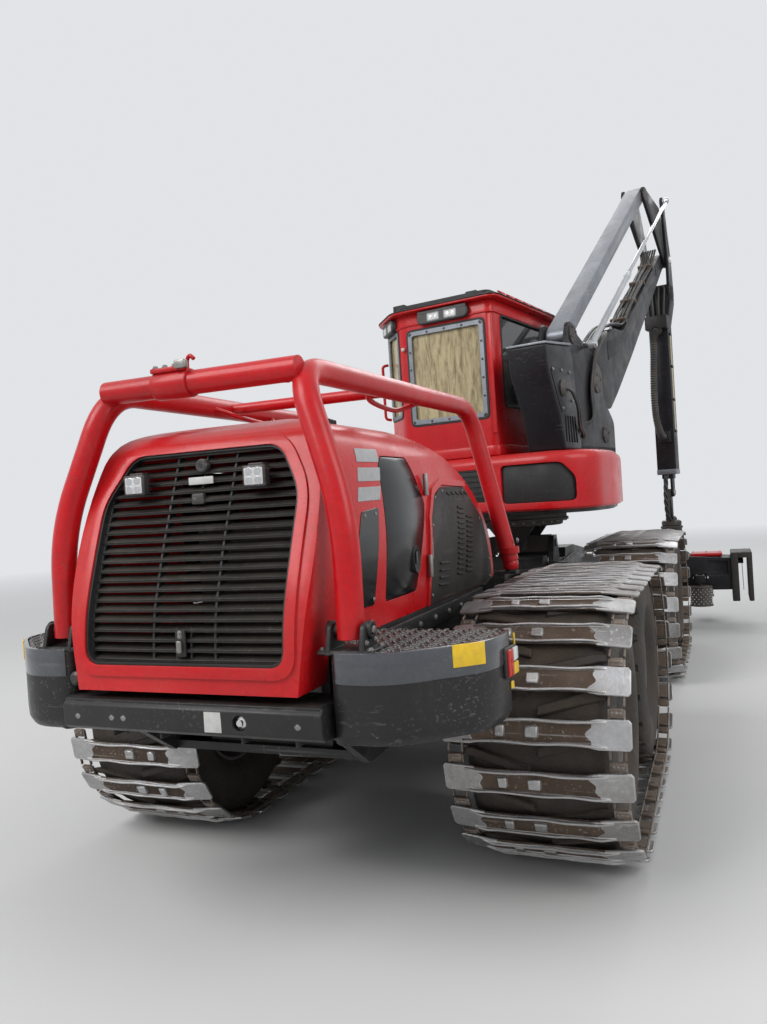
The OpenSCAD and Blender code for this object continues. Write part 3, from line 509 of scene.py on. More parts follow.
@dataclass(frozen=True)
class Pane:
    """Clear or smoked glass and lamp lenses.

    Attributes:
        name: Name of the material.
        colour: Tint.
        passes: Share of light that goes through.
        rough: Least and greatest roughness.
        ribs: Scale of moulded ribs, or 0.
        film: Colour of the dirt in streaks on it.
        filmed: How dense these are.
        streak: How fine they are.
    """

    name: str
    colour: Colour
    passes: float
    rough: tuple[float, float] = (0.02, 0.1)
    ribs: float = 0.0
    film: Colour = (0.42, 0.37, 0.28)
    filmed: float = 0.2
    streak: float = 2.2

    def build(self) -> bpy.types.Material:
        """Makes the material once.

        Returns:
            The material.
        """
        found = bpy.data.materials.get(self.name)
        if found:
            return found
        material = bpy.data.materials.new(self.name)
        material.use_nodes = True
        n = Nodes(material.node_tree)
        shader = material.node_tree.nodes["Principled BSDF"]
        link = material.node_tree.links.new
        at = n.add("TexCoord").outputs["Object"]
        streaks = n.noise(n.stretched(at, (5.0, 5.0, 0.9)), self.streak, 6.0, 0.7, 0.5)
        film = n.spread(streaks, 0.42, 0.75, (0.0, self.filmed))
        link(n.blend(film, self.colour, self.film), shader.inputs["Base Color"])
        link(n.spread(streaks, 0.35, 0.75, self.rough), shader.inputs["Roughness"])
        shader.inputs["Transmission Weight"].default_value = self.passes
        shader.inputs["IOR"].default_value = 1.45
        if self.ribs:
            wave = n.add("TexWave", {"Vector": at, "Scale": self.ribs, "Distortion": 0.0})
            bump = n.add("Bump", {"Height": wave.outputs[1], "Strength": 0.4, "Distance": 0.003})
            link(bump.outputs[0], shader.inputs["Normal"])
        return material


class Paint(Enum):
    """Finishes of the machine's surfaces."""

    RED = Finish("Red enamel", (0.56, 0.0035, 0.008), (0.45, 0.004, 0.008), rough=(0.22, 0.38), coat=0.16,
                 wear=(0.30, 0.05, 0.045), worn=0.34, wear_metal=0.15, edge=0.006, scratched=0.12, dusty=0.24,
                 runs=0.12, run_colour=(0.26, 0.012, 0.012), grain=90.0, depth=0.1, bump=0.05, shine=0.25)
    RED_GUARD = Finish("Red guard enamel", (0.53, 0.0035, 0.008), (0.40, 0.004, 0.008), rough=(0.25, 0.42),
                       coat=0.14, wear=(0.20, 0.06, 0.05), worn=0.42, wear_metal=0.3, edge=0.01,
                       scratched=0.35, dusty=0.16, runs=0.2, run_colour=(0.24, 0.015, 0.012), grain=60.0,
                       depth=0.2, bump=0.1, shine=0.25)
    BLACK = Finish("Black frame paint", (0.0085, 0.0085, 0.010), (0.017, 0.016, 0.016), rough=(0.30, 0.55),
                   coat=0.05, wear=(0.15, 0.145, 0.14), worn=0.5, wear_metal=0.8, scratched=0.5, dusty=0.3,
                   runs=0.2, run_colour=(0.07, 0.06, 0.05), shine=0.35, dust=(0.085, 0.072, 0.060))
    CRANE = Finish("Dusty black crane paint", (0.0075, 0.008, 0.011), (0.016, 0.016, 0.019),
                   rough=(0.30, 0.52), wear=(0.13, 0.11, 0.10), worn=0.42, wear_metal=0.75, scratched=0.4,
                   dusty=0.30, runs=0.35, run_colour=(0.06, 0.045, 0.035), bump=0.16, shine=0.25,
                   dust=(0.085, 0.072, 0.060))
    # The blue-grey colour of the bumper's upper band is a painted reflection of the sky on the black bumper paint
    BUMPER_SKY_REFLECTION_BAND = Finish("Blue-grey band with painted sky reflection", (0.040, 0.045, 0.055), (0.055, 0.060, 0.070),
                         rough=(0.10, 0.24), coat=0.5, wear=(0.13, 0.13, 0.13), worn=0.45, wear_metal=0.5,
                         scratched=0.45, dusty=0.12, runs=0.1, depth=0.08, bump=0.04)
    GRIP = Finish("Worn grip plate", (0.030, 0.030, 0.033), (0.055, 0.052, 0.050), rough=(0.3, 0.5),
                  metal=0.3, wear=(0.42, 0.41, 0.40), worn=0.8, wear_metal=1.0, edge=0.004, scratched=0.5,
                  dusty=0.35, runs=0.0)
    RUSTY_PLATE = Finish("Rusty shoe plate", (0.050, 0.032, 0.022), (0.135, 0.095, 0.068), rough=(0.42, 0.7),
                         metal=0.5, wear=(0.45, 0.43, 0.41), worn=0.6, wear_metal=1.0, scratched=0.7,
                         dust=(0.095, 0.066, 0.044), dusty=0.6, runs=0.5, run_colour=(0.13, 0.065, 0.03),
                         grain=55.0, depth=0.8, bump=0.4)
    GLOSS_BLACK = Finish("Gloss black panel", (0.005, 0.006, 0.008), (0.010, 0.011, 0.013),
                         rough=(0.12, 0.28), coat=0.08, wear=(0.08, 0.08, 0.08), worn=0.3, wear_metal=0.2,
                         edge=0.004, scratched=0.15, dusty=0.16, runs=0.1, depth=0.1, bump=0.03, shine=0.35,
                         dust=(0.085, 0.072, 0.060))
    PLASTIC = Finish("Black moulded plastic", (0.012, 0.012, 0.013), (0.020, 0.020, 0.020),
                     rough=(0.42, 0.62), wear=(0.08, 0.075, 0.07), worn=0.35, wear_metal=0.0, edge=0.005,
                     scratched=0.2, dusty=0.28, runs=0.15, grain=320.0, depth=0.5, bump=0.12, shine=0.35,
                     dust=(0.085, 0.072, 0.060))
    GREY = Finish("Dusty grey panel", (0.016, 0.015, 0.0145), (0.034, 0.031, 0.028), rough=(0.4, 0.62),
                  worn=0.45, wear=(0.14, 0.13, 0.12), wear_metal=0.1, edge=0.005, dusty=0.36, runs=0.3,
                  shine=0.3, dust=(0.15, 0.125, 0.10))
    SLAT = Finish("Dusty grille slat", (0.014, 0.013, 0.0125), (0.026, 0.024, 0.021), rough=(0.38, 0.6),
                  worn=0.5, wear=(0.17, 0.155, 0.13), wear_metal=0.1, edge=0.003, dust=(0.12, 0.10, 0.075),
                  dusty=0.32, runs=0.2, shine=0.4)
    SILVER = Finish("Grey crane steel", (0.24, 0.26, 0.29), (0.17, 0.185, 0.21), rough=(0.32, 0.5),
                    metal=0.55, wear=(0.45, 0.45, 0.46), worn=0.5, scratched=0.5, dusty=0.3, runs=0.35)
    SHOE = Finish("Scoured track steel", (0.54, 0.545, 0.56), (0.20, 0.185, 0.17), rough=(0.22, 0.5),
                  metal=0.9, wear=(0.62, 0.61, 0.60), worn=0.75, wear_metal=1.0, edge=0.012, scratched=0.8,
                  dust=(0.085, 0.058, 0.038), dusty=0.62, runs=0.7, run_colour=(0.15, 0.075, 0.038),
                  grain=60.0, depth=0.6, bump=0.35)
    LINK = Finish("Rusty track steel", (0.13, 0.105, 0.09), (0.20, 0.15, 0.11), rough=(0.4, 0.7), metal=0.65,
                  wear=(0.42, 0.40, 0.38), worn=0.6, wear_metal=1.0, scratched=0.5, dust=(0.10, 0.07, 0.048),
                  dusty=0.7, runs=0.5, run_colour=(0.12, 0.06, 0.03), grain=70.0, depth=0.7, bump=0.35)
    CYLINDER = Finish("Bright cylinder paint", (0.50, 0.52, 0.54), (0.36, 0.375, 0.395), rough=(0.28, 0.46),
                      metal=0.35, worn=0.35, dusty=0.3)
    CHROME = Finish("Bright rod steel", (0.62, 0.62, 0.63), (0.5, 0.5, 0.51), rough=(0.12, 0.25), metal=1.0,
                    wear=(0.7, 0.7, 0.7), worn=0.3, wear_metal=1.0, edge=0.004, scratched=0.25, dusty=0.12,
                    runs=0.1, depth=0.05, bump=0.04)
    BOLT = Finish("Bolt steel", (0.32, 0.31, 0.30), (0.22, 0.205, 0.19), rough=(0.3, 0.5), metal=0.9,
                  wear=(0.5, 0.5, 0.5), worn=0.5, wear_metal=1.0, edge=0.003, dusty=0.3)
    RUBBER = Finish("Muddy tyre rubber", (0.016, 0.014, 0.012), (0.040, 0.030, 0.022), rough=(0.6, 0.85),
                    wear=(0.07, 0.06, 0.05), worn=0.4, wear_metal=0.0, edge=0.012, scratched=0.2,
                    dust=(0.11, 0.08, 0.055), dusty=0.85, runs=0.6, run_colour=(0.09, 0.065, 0.045),
                    grain=45.0, depth=1.0, bump=0.7)
    HOSE = Finish("Hose rubber", (0.009, 0.009, 0.010), (0.020, 0.019, 0.019), rough=(0.34, 0.55), worn=0.35,
                  wear=(0.10, 0.09, 0.085), wear_metal=0.0, edge=0.003, scratched=0.2, dusty=0.45, runs=0.1,
                  grain=260.0, depth=0.4, bump=0.15)
    RIM = Finish("Rim paint", (0.10, 0.10, 0.105), (0.06, 0.058, 0.055), rough=(0.45, 0.7), worn=0.5,
                 dusty=0.6, runs=0.4)
    CAST = Finish("Cast iron", (0.045, 0.043, 0.042), (0.07, 0.062, 0.056), rough=(0.5, 0.75), metal=0.3,
                  worn=0.5, wear=(0.22, 0.2, 0.19), dusty=0.5, grain=120.0, depth=0.8, bump=0.3)
    SEAT = Finish("Seat cloth", (0.020, 0.020, 0.023), (0.035, 0.034, 0.036), rough=(0.7, 0.9), worn=0.2,
                  wear=(0.06, 0.06, 0.06), wear_metal=0.0, dusty=0.15, runs=0.0, grain=420.0, depth=1.0,
                  bump=0.35)
    STRIPE = Finish("Reflective grey band", (0.42, 0.42, 0.43), (0.34, 0.34, 0.35), rough=(0.25, 0.4),
                    metal=0.2, worn=0.2, wear=(0.3, 0.3, 0.3), edge=0.002, dusty=0.3, grain=500.0, depth=0.5,
                    bump=0.08)
    YELLOW = Finish("Yellow reflector", (0.83, 0.56, 0.02), (0.72, 0.45, 0.015), rough=(0.25, 0.4), worn=0.25,
                    wear=(0.4, 0.3, 0.1), wear_metal=0.0, edge=0.003, dusty=0.15, grain=600.0, depth=1.0,
                    bump=0.15)
    BLANK = Finish("Blank pale plate", (0.60, 0.60, 0.58), (0.48, 0.48, 0.46), rough=(0.35, 0.55), worn=0.4,
                   wear=(0.3, 0.3, 0.3), wear_metal=0.2, edge=0.003, dusty=0.3)
    TAN = Finish("Faded webbing", (0.55, 0.50, 0.36), (0.42, 0.37, 0.25), rough=(0.6, 0.8), worn=0.3,
                 wear=(0.2, 0.17, 0.12), wear_metal=0.0, dusty=0.3, grain=380.0, depth=1.0, bump=0.3)
    LAMP_CASE = Finish("Lamp housing", (0.03, 0.03, 0.032), (0.045, 0.044, 0.043), rough=(0.35, 0.55),
                       metal=0.3, edge=0.003, dusty=0.35)
    LENS = Pane("Lamp lens", (0.86, 0.87, 0.85), 0.25, (0.05, 0.18), ribs=70.0, filmed=0.3)
    RED_LENS = Pane("Red lamp lens", (0.60, 0.015, 0.01), 0.2, (0.08, 0.2), ribs=90.0, filmed=0.15)
    SIDE_GLASS = Pane("Smoked side glass", (0.10, 0.105, 0.11), 0.55, (0.02, 0.10), filmed=0.15)
    REAR_GLASS = Pane("Streaked rear glass", (0.74, 0.63, 0.38), 0.42, (0.05, 0.25), film=(0.13, 0.07, 0.015),
                      filmed=1.0, streak=4.5)
    LINING = Finish("Pale cab lining", (0.16, 0.155, 0.15), (0.21, 0.20, 0.19), rough=(0.6, 0.8), worn=0.1,
                    wear_metal=0.0, dusty=0.1, runs=0.05, grain=300.0, depth=0.8, bump=0.15)
    GLASS = Pane("Smoked glass", (0.30, 0.32, 0.33), 0.75, (0.02, 0.14), filmed=0.35)
    DARK_GLASS = Pane("Dark side glass", (0.035, 0.038, 0.042), 0.35, (0.02, 0.1), filmed=0.12)

    def dress(self, *objects: bpy.types.Object) -> None:
        """Gives objects this finish as their one material."""
        for obj in objects:
            obj.data.materials.clear()
            obj.data.materials.append(self.value.build())


def smooth_path(points: Sequence[Point], steps: int = 6) -> list[Vector]:
    """Draws a smooth curve through points.

    Args:
        points: The points it passes.
        steps: Pieces between two points.

    Returns:
        The denser points.
    """
    p = [Vector(q) for q in points]
    p = [p[0] * 2 - p[1], *p, p[-1] * 2 - p[-2]]
    path = []
    for a, b, c, d in zip(p, p[1:], p[2:], p[3:]):
        for k in range(steps):
            t = k / steps
            path.append(0.5 * (2 * b + (c - a) * t + (2 * a - 5 * b + 4 * c - d) * t * t
                               + (3 * b - a - 3 * c + d) * t ** 3))
    return path + [p[-2]]


def rounded(points: Sequence[Point], radius: float, steps: int = 5) -> list[Vector]:
    """Rounds the corners of a closed or open outline.

    Args:
        points: Corners, all of them rounded.
        radius: How far from a corner its arc starts.
        steps: Pieces in each arc.

    Returns:
        The denser outline, closed.
    """
    p = [Vector(q) for q in points]
    made = []
    for i, corner in enumerate(p):
        back, on = p[i - 1] - corner, p[(i + 1) % len(p)] - corner
        cut = min(radius, back.length * 0.45, on.length * 0.45)
        a, c = corner + back.normalized() * cut, corner + on.normalized() * cut
        for k in range(steps + 1):
            t = k / steps
            made.append(a * (1 - t) ** 2 + corner * 2 * t * (1 - t) + c * t * t)
    return made


def inset(outline: Sequence[Point], by: float) -> list[tuple[float, float]]:
    """Moves each edge of a flat outline inwards, whichever way round it runs.

    Args:
        outline: Points in a plane.
        by: How far.

    Returns:
        The new outline.
    """
    p = [Vector((q[0], q[1])) for q in outline]
    area = sum(a.x * b.y - b.x * a.y for a, b in zip(p, p[1:] + p[:1]))
    turn = 1 if area > 0 else -1
    made = []
    for i, here in enumerate(p):
        u, v = (here - p[i - 1]).normalized(), (p[(i + 1) % len(p)] - here).normalized()
        m, n = Vector((-u.y, u.x)) * turn, Vector((-v.y, v.x)) * turn
        made.append(tuple(here + (m + n) * by / max(0.2, 1 + m.dot(n))))
    return made


class Bench:
    """Modelling moves that every sub-assembly uses, each as it is done by hand."""

    @staticmethod
    def pick(*objects: bpy.types.Object) -> None:
        """Selects just these objects and makes the first one active."""
        bpy.ops.object.select_all(action="DESELECT")
        for obj in objects:
            obj.select_set(True)
        if objects:
            bpy.context.view_layer.objects.active = objects[0]

    @classmethod
    def fetch(cls, name: str) -> bpy.types.Object:
        """Names the object that an operator just added, with its place put in its mesh.

        Args:
            name: Name that it gets.

        Returns:
            The object.
        """
        obj = bpy.context.active_object
        obj.name = name
        bpy.ops.object.transform_apply(location=True, rotation=True, scale=True)
        return obj

    @classmethod
    def modify(cls, obj: bpy.types.Object, kind: str, **settings: object) -> bpy.types.Object:
        """Adds a modifier and applies it.

        Args:
            obj: What it works on.
            kind: Blender's name of the modifier's type.
            settings: Its properties.

        Returns:
            The same object.
        """
        cls.pick(obj)
        modifier = obj.modifiers.new(kind.title(), kind)
        for key, value in settings.items():
            setattr(modifier, key, value)
        bpy.ops.object.modifier_apply(modifier=modifier.name)
        return obj

    @classmethod
    def bevel(cls, obj: bpy.types.Object, width: float, segments: int = 2,
              angle: float = 30.0) -> bpy.types.Object:
        """Rounds the sharp edges of an object.

        Args:
            obj: The object.
            width: Width of the rounding.
            segments: Steps in each rounded edge.
            angle: Least angle of an edge that is rounded, in degrees.

        Returns:
            The same object.
        """
        if width <= 0:
            return obj
        return cls.modify(obj, "BEVEL", width=width, segments=segments, limit_method="ANGLE",
                          angle_limit=math.radians(angle), harden_normals=False)

    @classmethod
    def block(cls, name: str, low: Point, high: Point, edge: float = 0.004,
              segments: int = 2) -> bpy.types.Object:
        """Models a box with rounded edges between two corners.

        Args:
            name: Name of the object.
            low: Lowest corner.
            high: Highest corner.
            edge: Width of its rounded edges.
            segments: Steps in each rounded edge.

        Returns:
            The object.
        """
        cls.pick()
        middle = [(a + b) / 2 for a, b in zip(low, high)]
        bpy.ops.mesh.primitive_cube_add(size=1.0, location=middle, scale=[b - a for a, b in zip(low, high)])
        return cls.bevel(cls.fetch(name), edge, segments)

    @classmethod
    def plate(cls, name: str, outline: Sequence[Point], push: Point, edge: float = 0.004,
              segments: int = 2) -> bpy.types.Object:
        """Models a flat outline pushed out into a plate.

        Args:
            name: The object's name.
            outline: Points of the outline in space, all in one plane.
            push: Where the outline is pushed.
            edge: Width of the rounded edges.
            segments: Pieces in them.

        Returns:
            The object.
        """
        cls.pick()
        bpy.ops.mesh.primitive_circle_add(vertices=len(outline), fill_type="NGON")
        obj = bpy.context.active_object
        for vertex, place in zip(obj.data.vertices, outline):
            vertex.co = place
        bpy.ops.object.mode_set(mode="EDIT")
        bpy.ops.mesh.select_all(action="SELECT")
        bpy.ops.mesh.extrude_region_move(TRANSFORM_OT_translate={"value": tuple(push)})
        bpy.ops.mesh.select_all(action="SELECT")
        bpy.ops.mesh.normals_make_consistent(inside=False)
        bpy.ops.object.mode_set(mode="OBJECT")
        return cls.bevel(cls.fetch(name), edge, segments)

    @classmethod
    def side(cls, name: str, outline: Sequence[Point], x0: float, x1: float, edge: float = 0.004,
             segments: int = 2) -> bpy.types.Object:
        """Models a plate from its side outline (forward, height) between two x.

        Args:
            name: Name of the object.
            outline: Points of the side outline.
            x0: Left face.
            x1: Right face.
            edge: Width of its rounded edges.
            segments: Steps in each rounded edge.

        Returns:
            The object.
        """
        return cls.plate(name, [(x0, p[0], p[1]) for p in outline], (x1 - x0, 0, 0), edge, segments)

    @classmethod
    def rear(cls, name: str, outline: Sequence[Point], y0: float, y1: float, edge: float = 0.004,
             segments: int = 2) -> bpy.types.Object:
        """Models a plate from its rear outline (right, height) between two y.

        Args:
            name: Name of the object.
            outline: Points of the rear outline.
            y0: Rear face.
            y1: Front face.
            edge: Width of its rounded edges.
            segments: Steps in each rounded edge.

        Returns:
            The object.
        """
        return cls.plate(name, [(p[0], y0, p[1]) for p in outline], (0, y1 - y0, 0), edge, segments)

    @classmethod
    def plan(cls, name: str, outline: Sequence[Point], z0: float, z1: float, edge: float = 0.004,
             segments: int = 2) -> bpy.types.Object:
        """Models a plate from its plan outline (right, forward) between two heights.

        Args:
            name: Name of the object.
            outline: Points of the plan outline.
            z0: Lower face.
            z1: Upper face.
            edge: Width of its rounded edges.
            segments: Steps in each rounded edge.

        Returns:
            The object.
        """
        return cls.plate(name, [(p[0], p[1], z0) for p in outline], (0, 0, z1 - z0), edge, segments)

    @classmethod
    def rod(cls, name: str, a: Point, b: Point, radius: float, edge: float = 0.003, sides: int = 24,
            top: Optional[float] = None) -> bpy.types.Object:
        """Models a round or six-sided bar from a to b, with another radius at b if top is given.

        Args:
            name: Name of the object.
            a: Middle of the first end.
            b: Middle of the second end.
            radius: Radius at a.
            edge: Width of its rounded edges.
            sides: Number of sides.
            top: Radius at b, if it differs.

        Returns:
            The object.
        """
        cls.pick()
        a, b = Vector(a), Vector(b)
        turn = (b - a).to_track_quat("Z", "Y").to_euler()
        far = radius if top is None else top
        bpy.ops.mesh.primitive_cone_add(vertices=sides, radius1=radius, radius2=far, depth=(b - a).length,
                                        location=(a + b) / 2, rotation=turn)
        return cls.bevel(cls.fetch(name), min(edge, min(radius, far) * 0.4), 2, 50.0)

    @classmethod
    def turned(cls, name: str, profile: Sequence[Point], at: Point, axis: Point,
               steps: int = 32) -> bpy.types.Object:
        """Spins a closed profile once round an axis.

        Args:
            name: The object's name.
            profile: Points (radius, along the axis).
            at: A point on the axis.
            axis: The axis's direction.
            steps: Steps of the spin.

        Returns:
            The object.
        """
        cls.pick()
        bpy.ops.mesh.primitive_circle_add(vertices=len(profile), fill_type="NOTHING")
        obj = bpy.context.active_object
        for vertex, place in zip(obj.data.vertices, profile):
            vertex.co = (place[0], 0, place[1])
        bpy.ops.object.mode_set(mode="EDIT")
        bpy.ops.mesh.select_all(action="SELECT")
        bpy.ops.mesh.spin(steps=steps, angle=math.tau, center=(0, 0, 0), axis=(0, 0, 1))
        bpy.ops.mesh.select_all(action="SELECT")
        bpy.ops.mesh.remove_doubles(threshold=1e-5)
        bpy.ops.mesh.normals_make_consistent(inside=False)
        bpy.ops.object.mode_set(mode="OBJECT")
        obj.data.transform(Matrix.Translation(at) @ Vector(axis).to_track_quat("Z", "Y").to_matrix().to_4x4())
        obj.name = name
        return obj

    @classmethod
    def sweep(cls, name: str, path: Sequence[Point], radius: float, sides: int = 4, ripple: float = 0.0,
              pitch: int = 2) -> bpy.types.Object:
        """Models a tube along a path.

        Args:
            name: The object's name.
            path: Its middle line.
            radius: Its radius.
            sides: Roundness of its section.
            ripple: Depth of rings round it, as a share of the radius.
            pitch: Points from one ring to the next.

        Returns:
            The object, a mesh with closed ends.
        """
        cls.pick()
        curve = bpy.data.curves.new(name, "CURVE")
        curve.dimensions = "3D"
        curve.bevel_depth = radius
        curve.bevel_resolution = sides
        curve.use_fill_caps = True
        spline = curve.splines.new("POLY")
        spline.points.add(len(path) - 1)
        for i, (point, place) in enumerate(zip(spline.points, path)):
            point.co = (*place, 1.0)
            point.radius = 1.0 - (ripple if ripple and i % pitch else 0.0)
        obj = bpy.data.objects.new(name, curve)
        bpy.context.scene.collection.objects.link(obj)
        cls.pick(obj)
        bpy.ops.object.convert(target="MESH")
        return obj

    @classmethod
    def boolean(cls, obj: bpy.types.Object, tool: bpy.types.Object,
                operation: str = "DIFFERENCE") -> bpy.types.Object:
        """Cuts, joins or trims an object with a tool, removes the tool.

        Args:
            obj: The object that changes.
            tool: The object that cuts or joins it.
            operation: Operation of the modifier.

        Returns:
            The changed object.
        """
        cls.modify(obj, "BOOLEAN", operation=operation, object=tool, solver="EXACT")
        bpy.data.objects.remove(tool)
        return obj

    @classmethod
    def join(cls, name: str, parts: Sequence[bpy.types.Object]) -> bpy.types.Object:
        """Joins parts into one object and gives it.

        Args:
            name: Name of the object.
            parts: The parts.

        Returns:
            The object.
        """
        cls.pick(*parts)
        if len(parts) > 1:
            bpy.ops.object.join()
        obj = bpy.context.active_object
        obj.name = name
        return obj

    @classmethod
    def copies(cls, obj: bpy.types.Object, moves: Iterable[Matrix]) -> bpy.types.Object:
        """Copies an object to each place, each copy with its own mesh.

        Args:
            obj: The pattern, which is used up.
            moves: A matrix for each copy.

        Returns:
            All the copies as one object.
        """
        made = []
        for move in moves:
            cls.pick(obj)
            bpy.ops.object.duplicate()
            copy = bpy.context.active_object
            copy.data.transform(move)
            if move.determinant() < 0:
                copy.data.flip_normals()
            made.append(copy)
        name = obj.name
        bpy.data.objects.remove(obj)
        return cls.join(name, made)

    @classmethod
    def mirrored(cls, obj: bpy.types.Object) -> bpy.types.Object:
        """Gives an object with its mirror image across x = 0.

        Args:
            obj: The object.

        Returns:
            The object with both halves.
        """
        return cls.copies(obj, (Matrix.Identity(4), Matrix.Scale(-1, 4, (1, 0, 0))))

    @classmethod
    def bolts(cls, places: Sequence[Point], axis: Point, radius: float = 0.011,
              height: float = 0.009) -> bpy.types.Object:
        """Models hexagon heads with washers at places, all along one axis.

        Args:
            places: Middles of their seats.
            axis: Direction that they point in.
            radius: Radius of a head.
            height: Height of a head.

        Returns:
            The object.
        """
        way = Vector(axis).normalized()
        washer = cls.rod("washer", (0, 0, 0), way * height * 0.3, radius * 1.35, 0.001, 16)
        head = cls.rod("head", way * height * 0.25, way * height, radius, 0.0015, 6)
        bolt = cls.join("bolts", [washer, head])
        return cls.copies(bolt, [Matrix.Translation(p) for p in places])


class Piece:
    """One finished piece: parts with their finishes, joined at the end and put on their body."""

    def __init__(self, name: str, body: str, place: Place, slot: str) -> None:
        """Starts an empty piece.

        Args:
            name: The piece's name.
            body: The body that it rides on.
            place: Axes that its parts are modelled in.
            slot: Name of a material slot; it is not used.
        """
        self.name, self.body, self.place, self.slot = name, body, place, slot
        self.parts: list[bpy.types.Object] = []

    def add(self, paint: Paint, *parts: bpy.types.Object) -> None:
        """Adds parts with a finish.

        Args:
            paint: The finish.
            parts: The parts.
        """
        paint.dress(*parts)
        self.parts.extend(parts)

    def close(self, *nodes: str, angle: float = 35.0) -> bpy.types.Object:
        """Joins the parts, moves them into the frame's axes and puts the piece on its body.

        Args:
            nodes: Nodes of the frame that the piece stands for.
            angle: Edges sharper than this stay sharp.

        Returns:
            The finished piece.
        """
        obj = Bench.join(self.name, self.parts)
        obj.data.name = self.name
        obj.data.transform(self.place.matrix())
        Bench.pick(obj)
        bpy.ops.object.shade_smooth_by_angle(angle=math.radians(angle))
        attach(obj, self.body)
        if nodes:
            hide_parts(*nodes)
        LOG.info("%s: %d faces on %s", self.name, len(obj.data.polygons), self.body)
        return obj


@dataclass
class StickHose:
    """The sleeved bundle of hoses that hangs behind the stick.

    Attributes:
        radius: Radius of the sleeve.
        route: Its middle line in the crane's axes, as in the part's source.
    """

    radius: float = 0.05
    route: tuple = (
        (0, 3.308, 4.010), (0, 3.270, 4.010), (0, 3.220, 4.004), (0, 3.170, 3.985), (0, 3.125, 3.955),
        (-0.002, 3.090, 3.912), (-0.004, 3.070, 3.860), (-0.008, 3.060, 3.800), (-0.016, 3.055, 3.650),
        (-0.024, 3.050, 3.500), (-0.030, 3.045, 3.350), (-0.034, 3.040, 3.200), (-0.036, 3.036, 3.050),
        (-0.032, 3.034, 2.900), (-0.026, 3.038, 2.800), (-0.016, 3.055, 2.715), (-0.008, 3.090, 2.645),
        (-0.002, 3.140, 2.597), (0, 3.200, 2.572), (0, 3.260, 2.566), (0, 3.3164, 2.566))

    def build(self) -> None:
        matrix = Place.CRANE.matrix()
        route = [matrix @ Vector(p) for p in self.route]
        path = smooth_path(route, 14)
        sleeve = Bench.sweep("hose_sleeve", path, self.radius, 5, 0.17, 3)
        Paint.HOSE.dress(sleeve)
        Bench.pick(sleeve)
        bpy.ops.object.shade_smooth_by_angle(angle=math.radians(50))
        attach(sleeve, "stick")
        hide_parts("stick_hose")


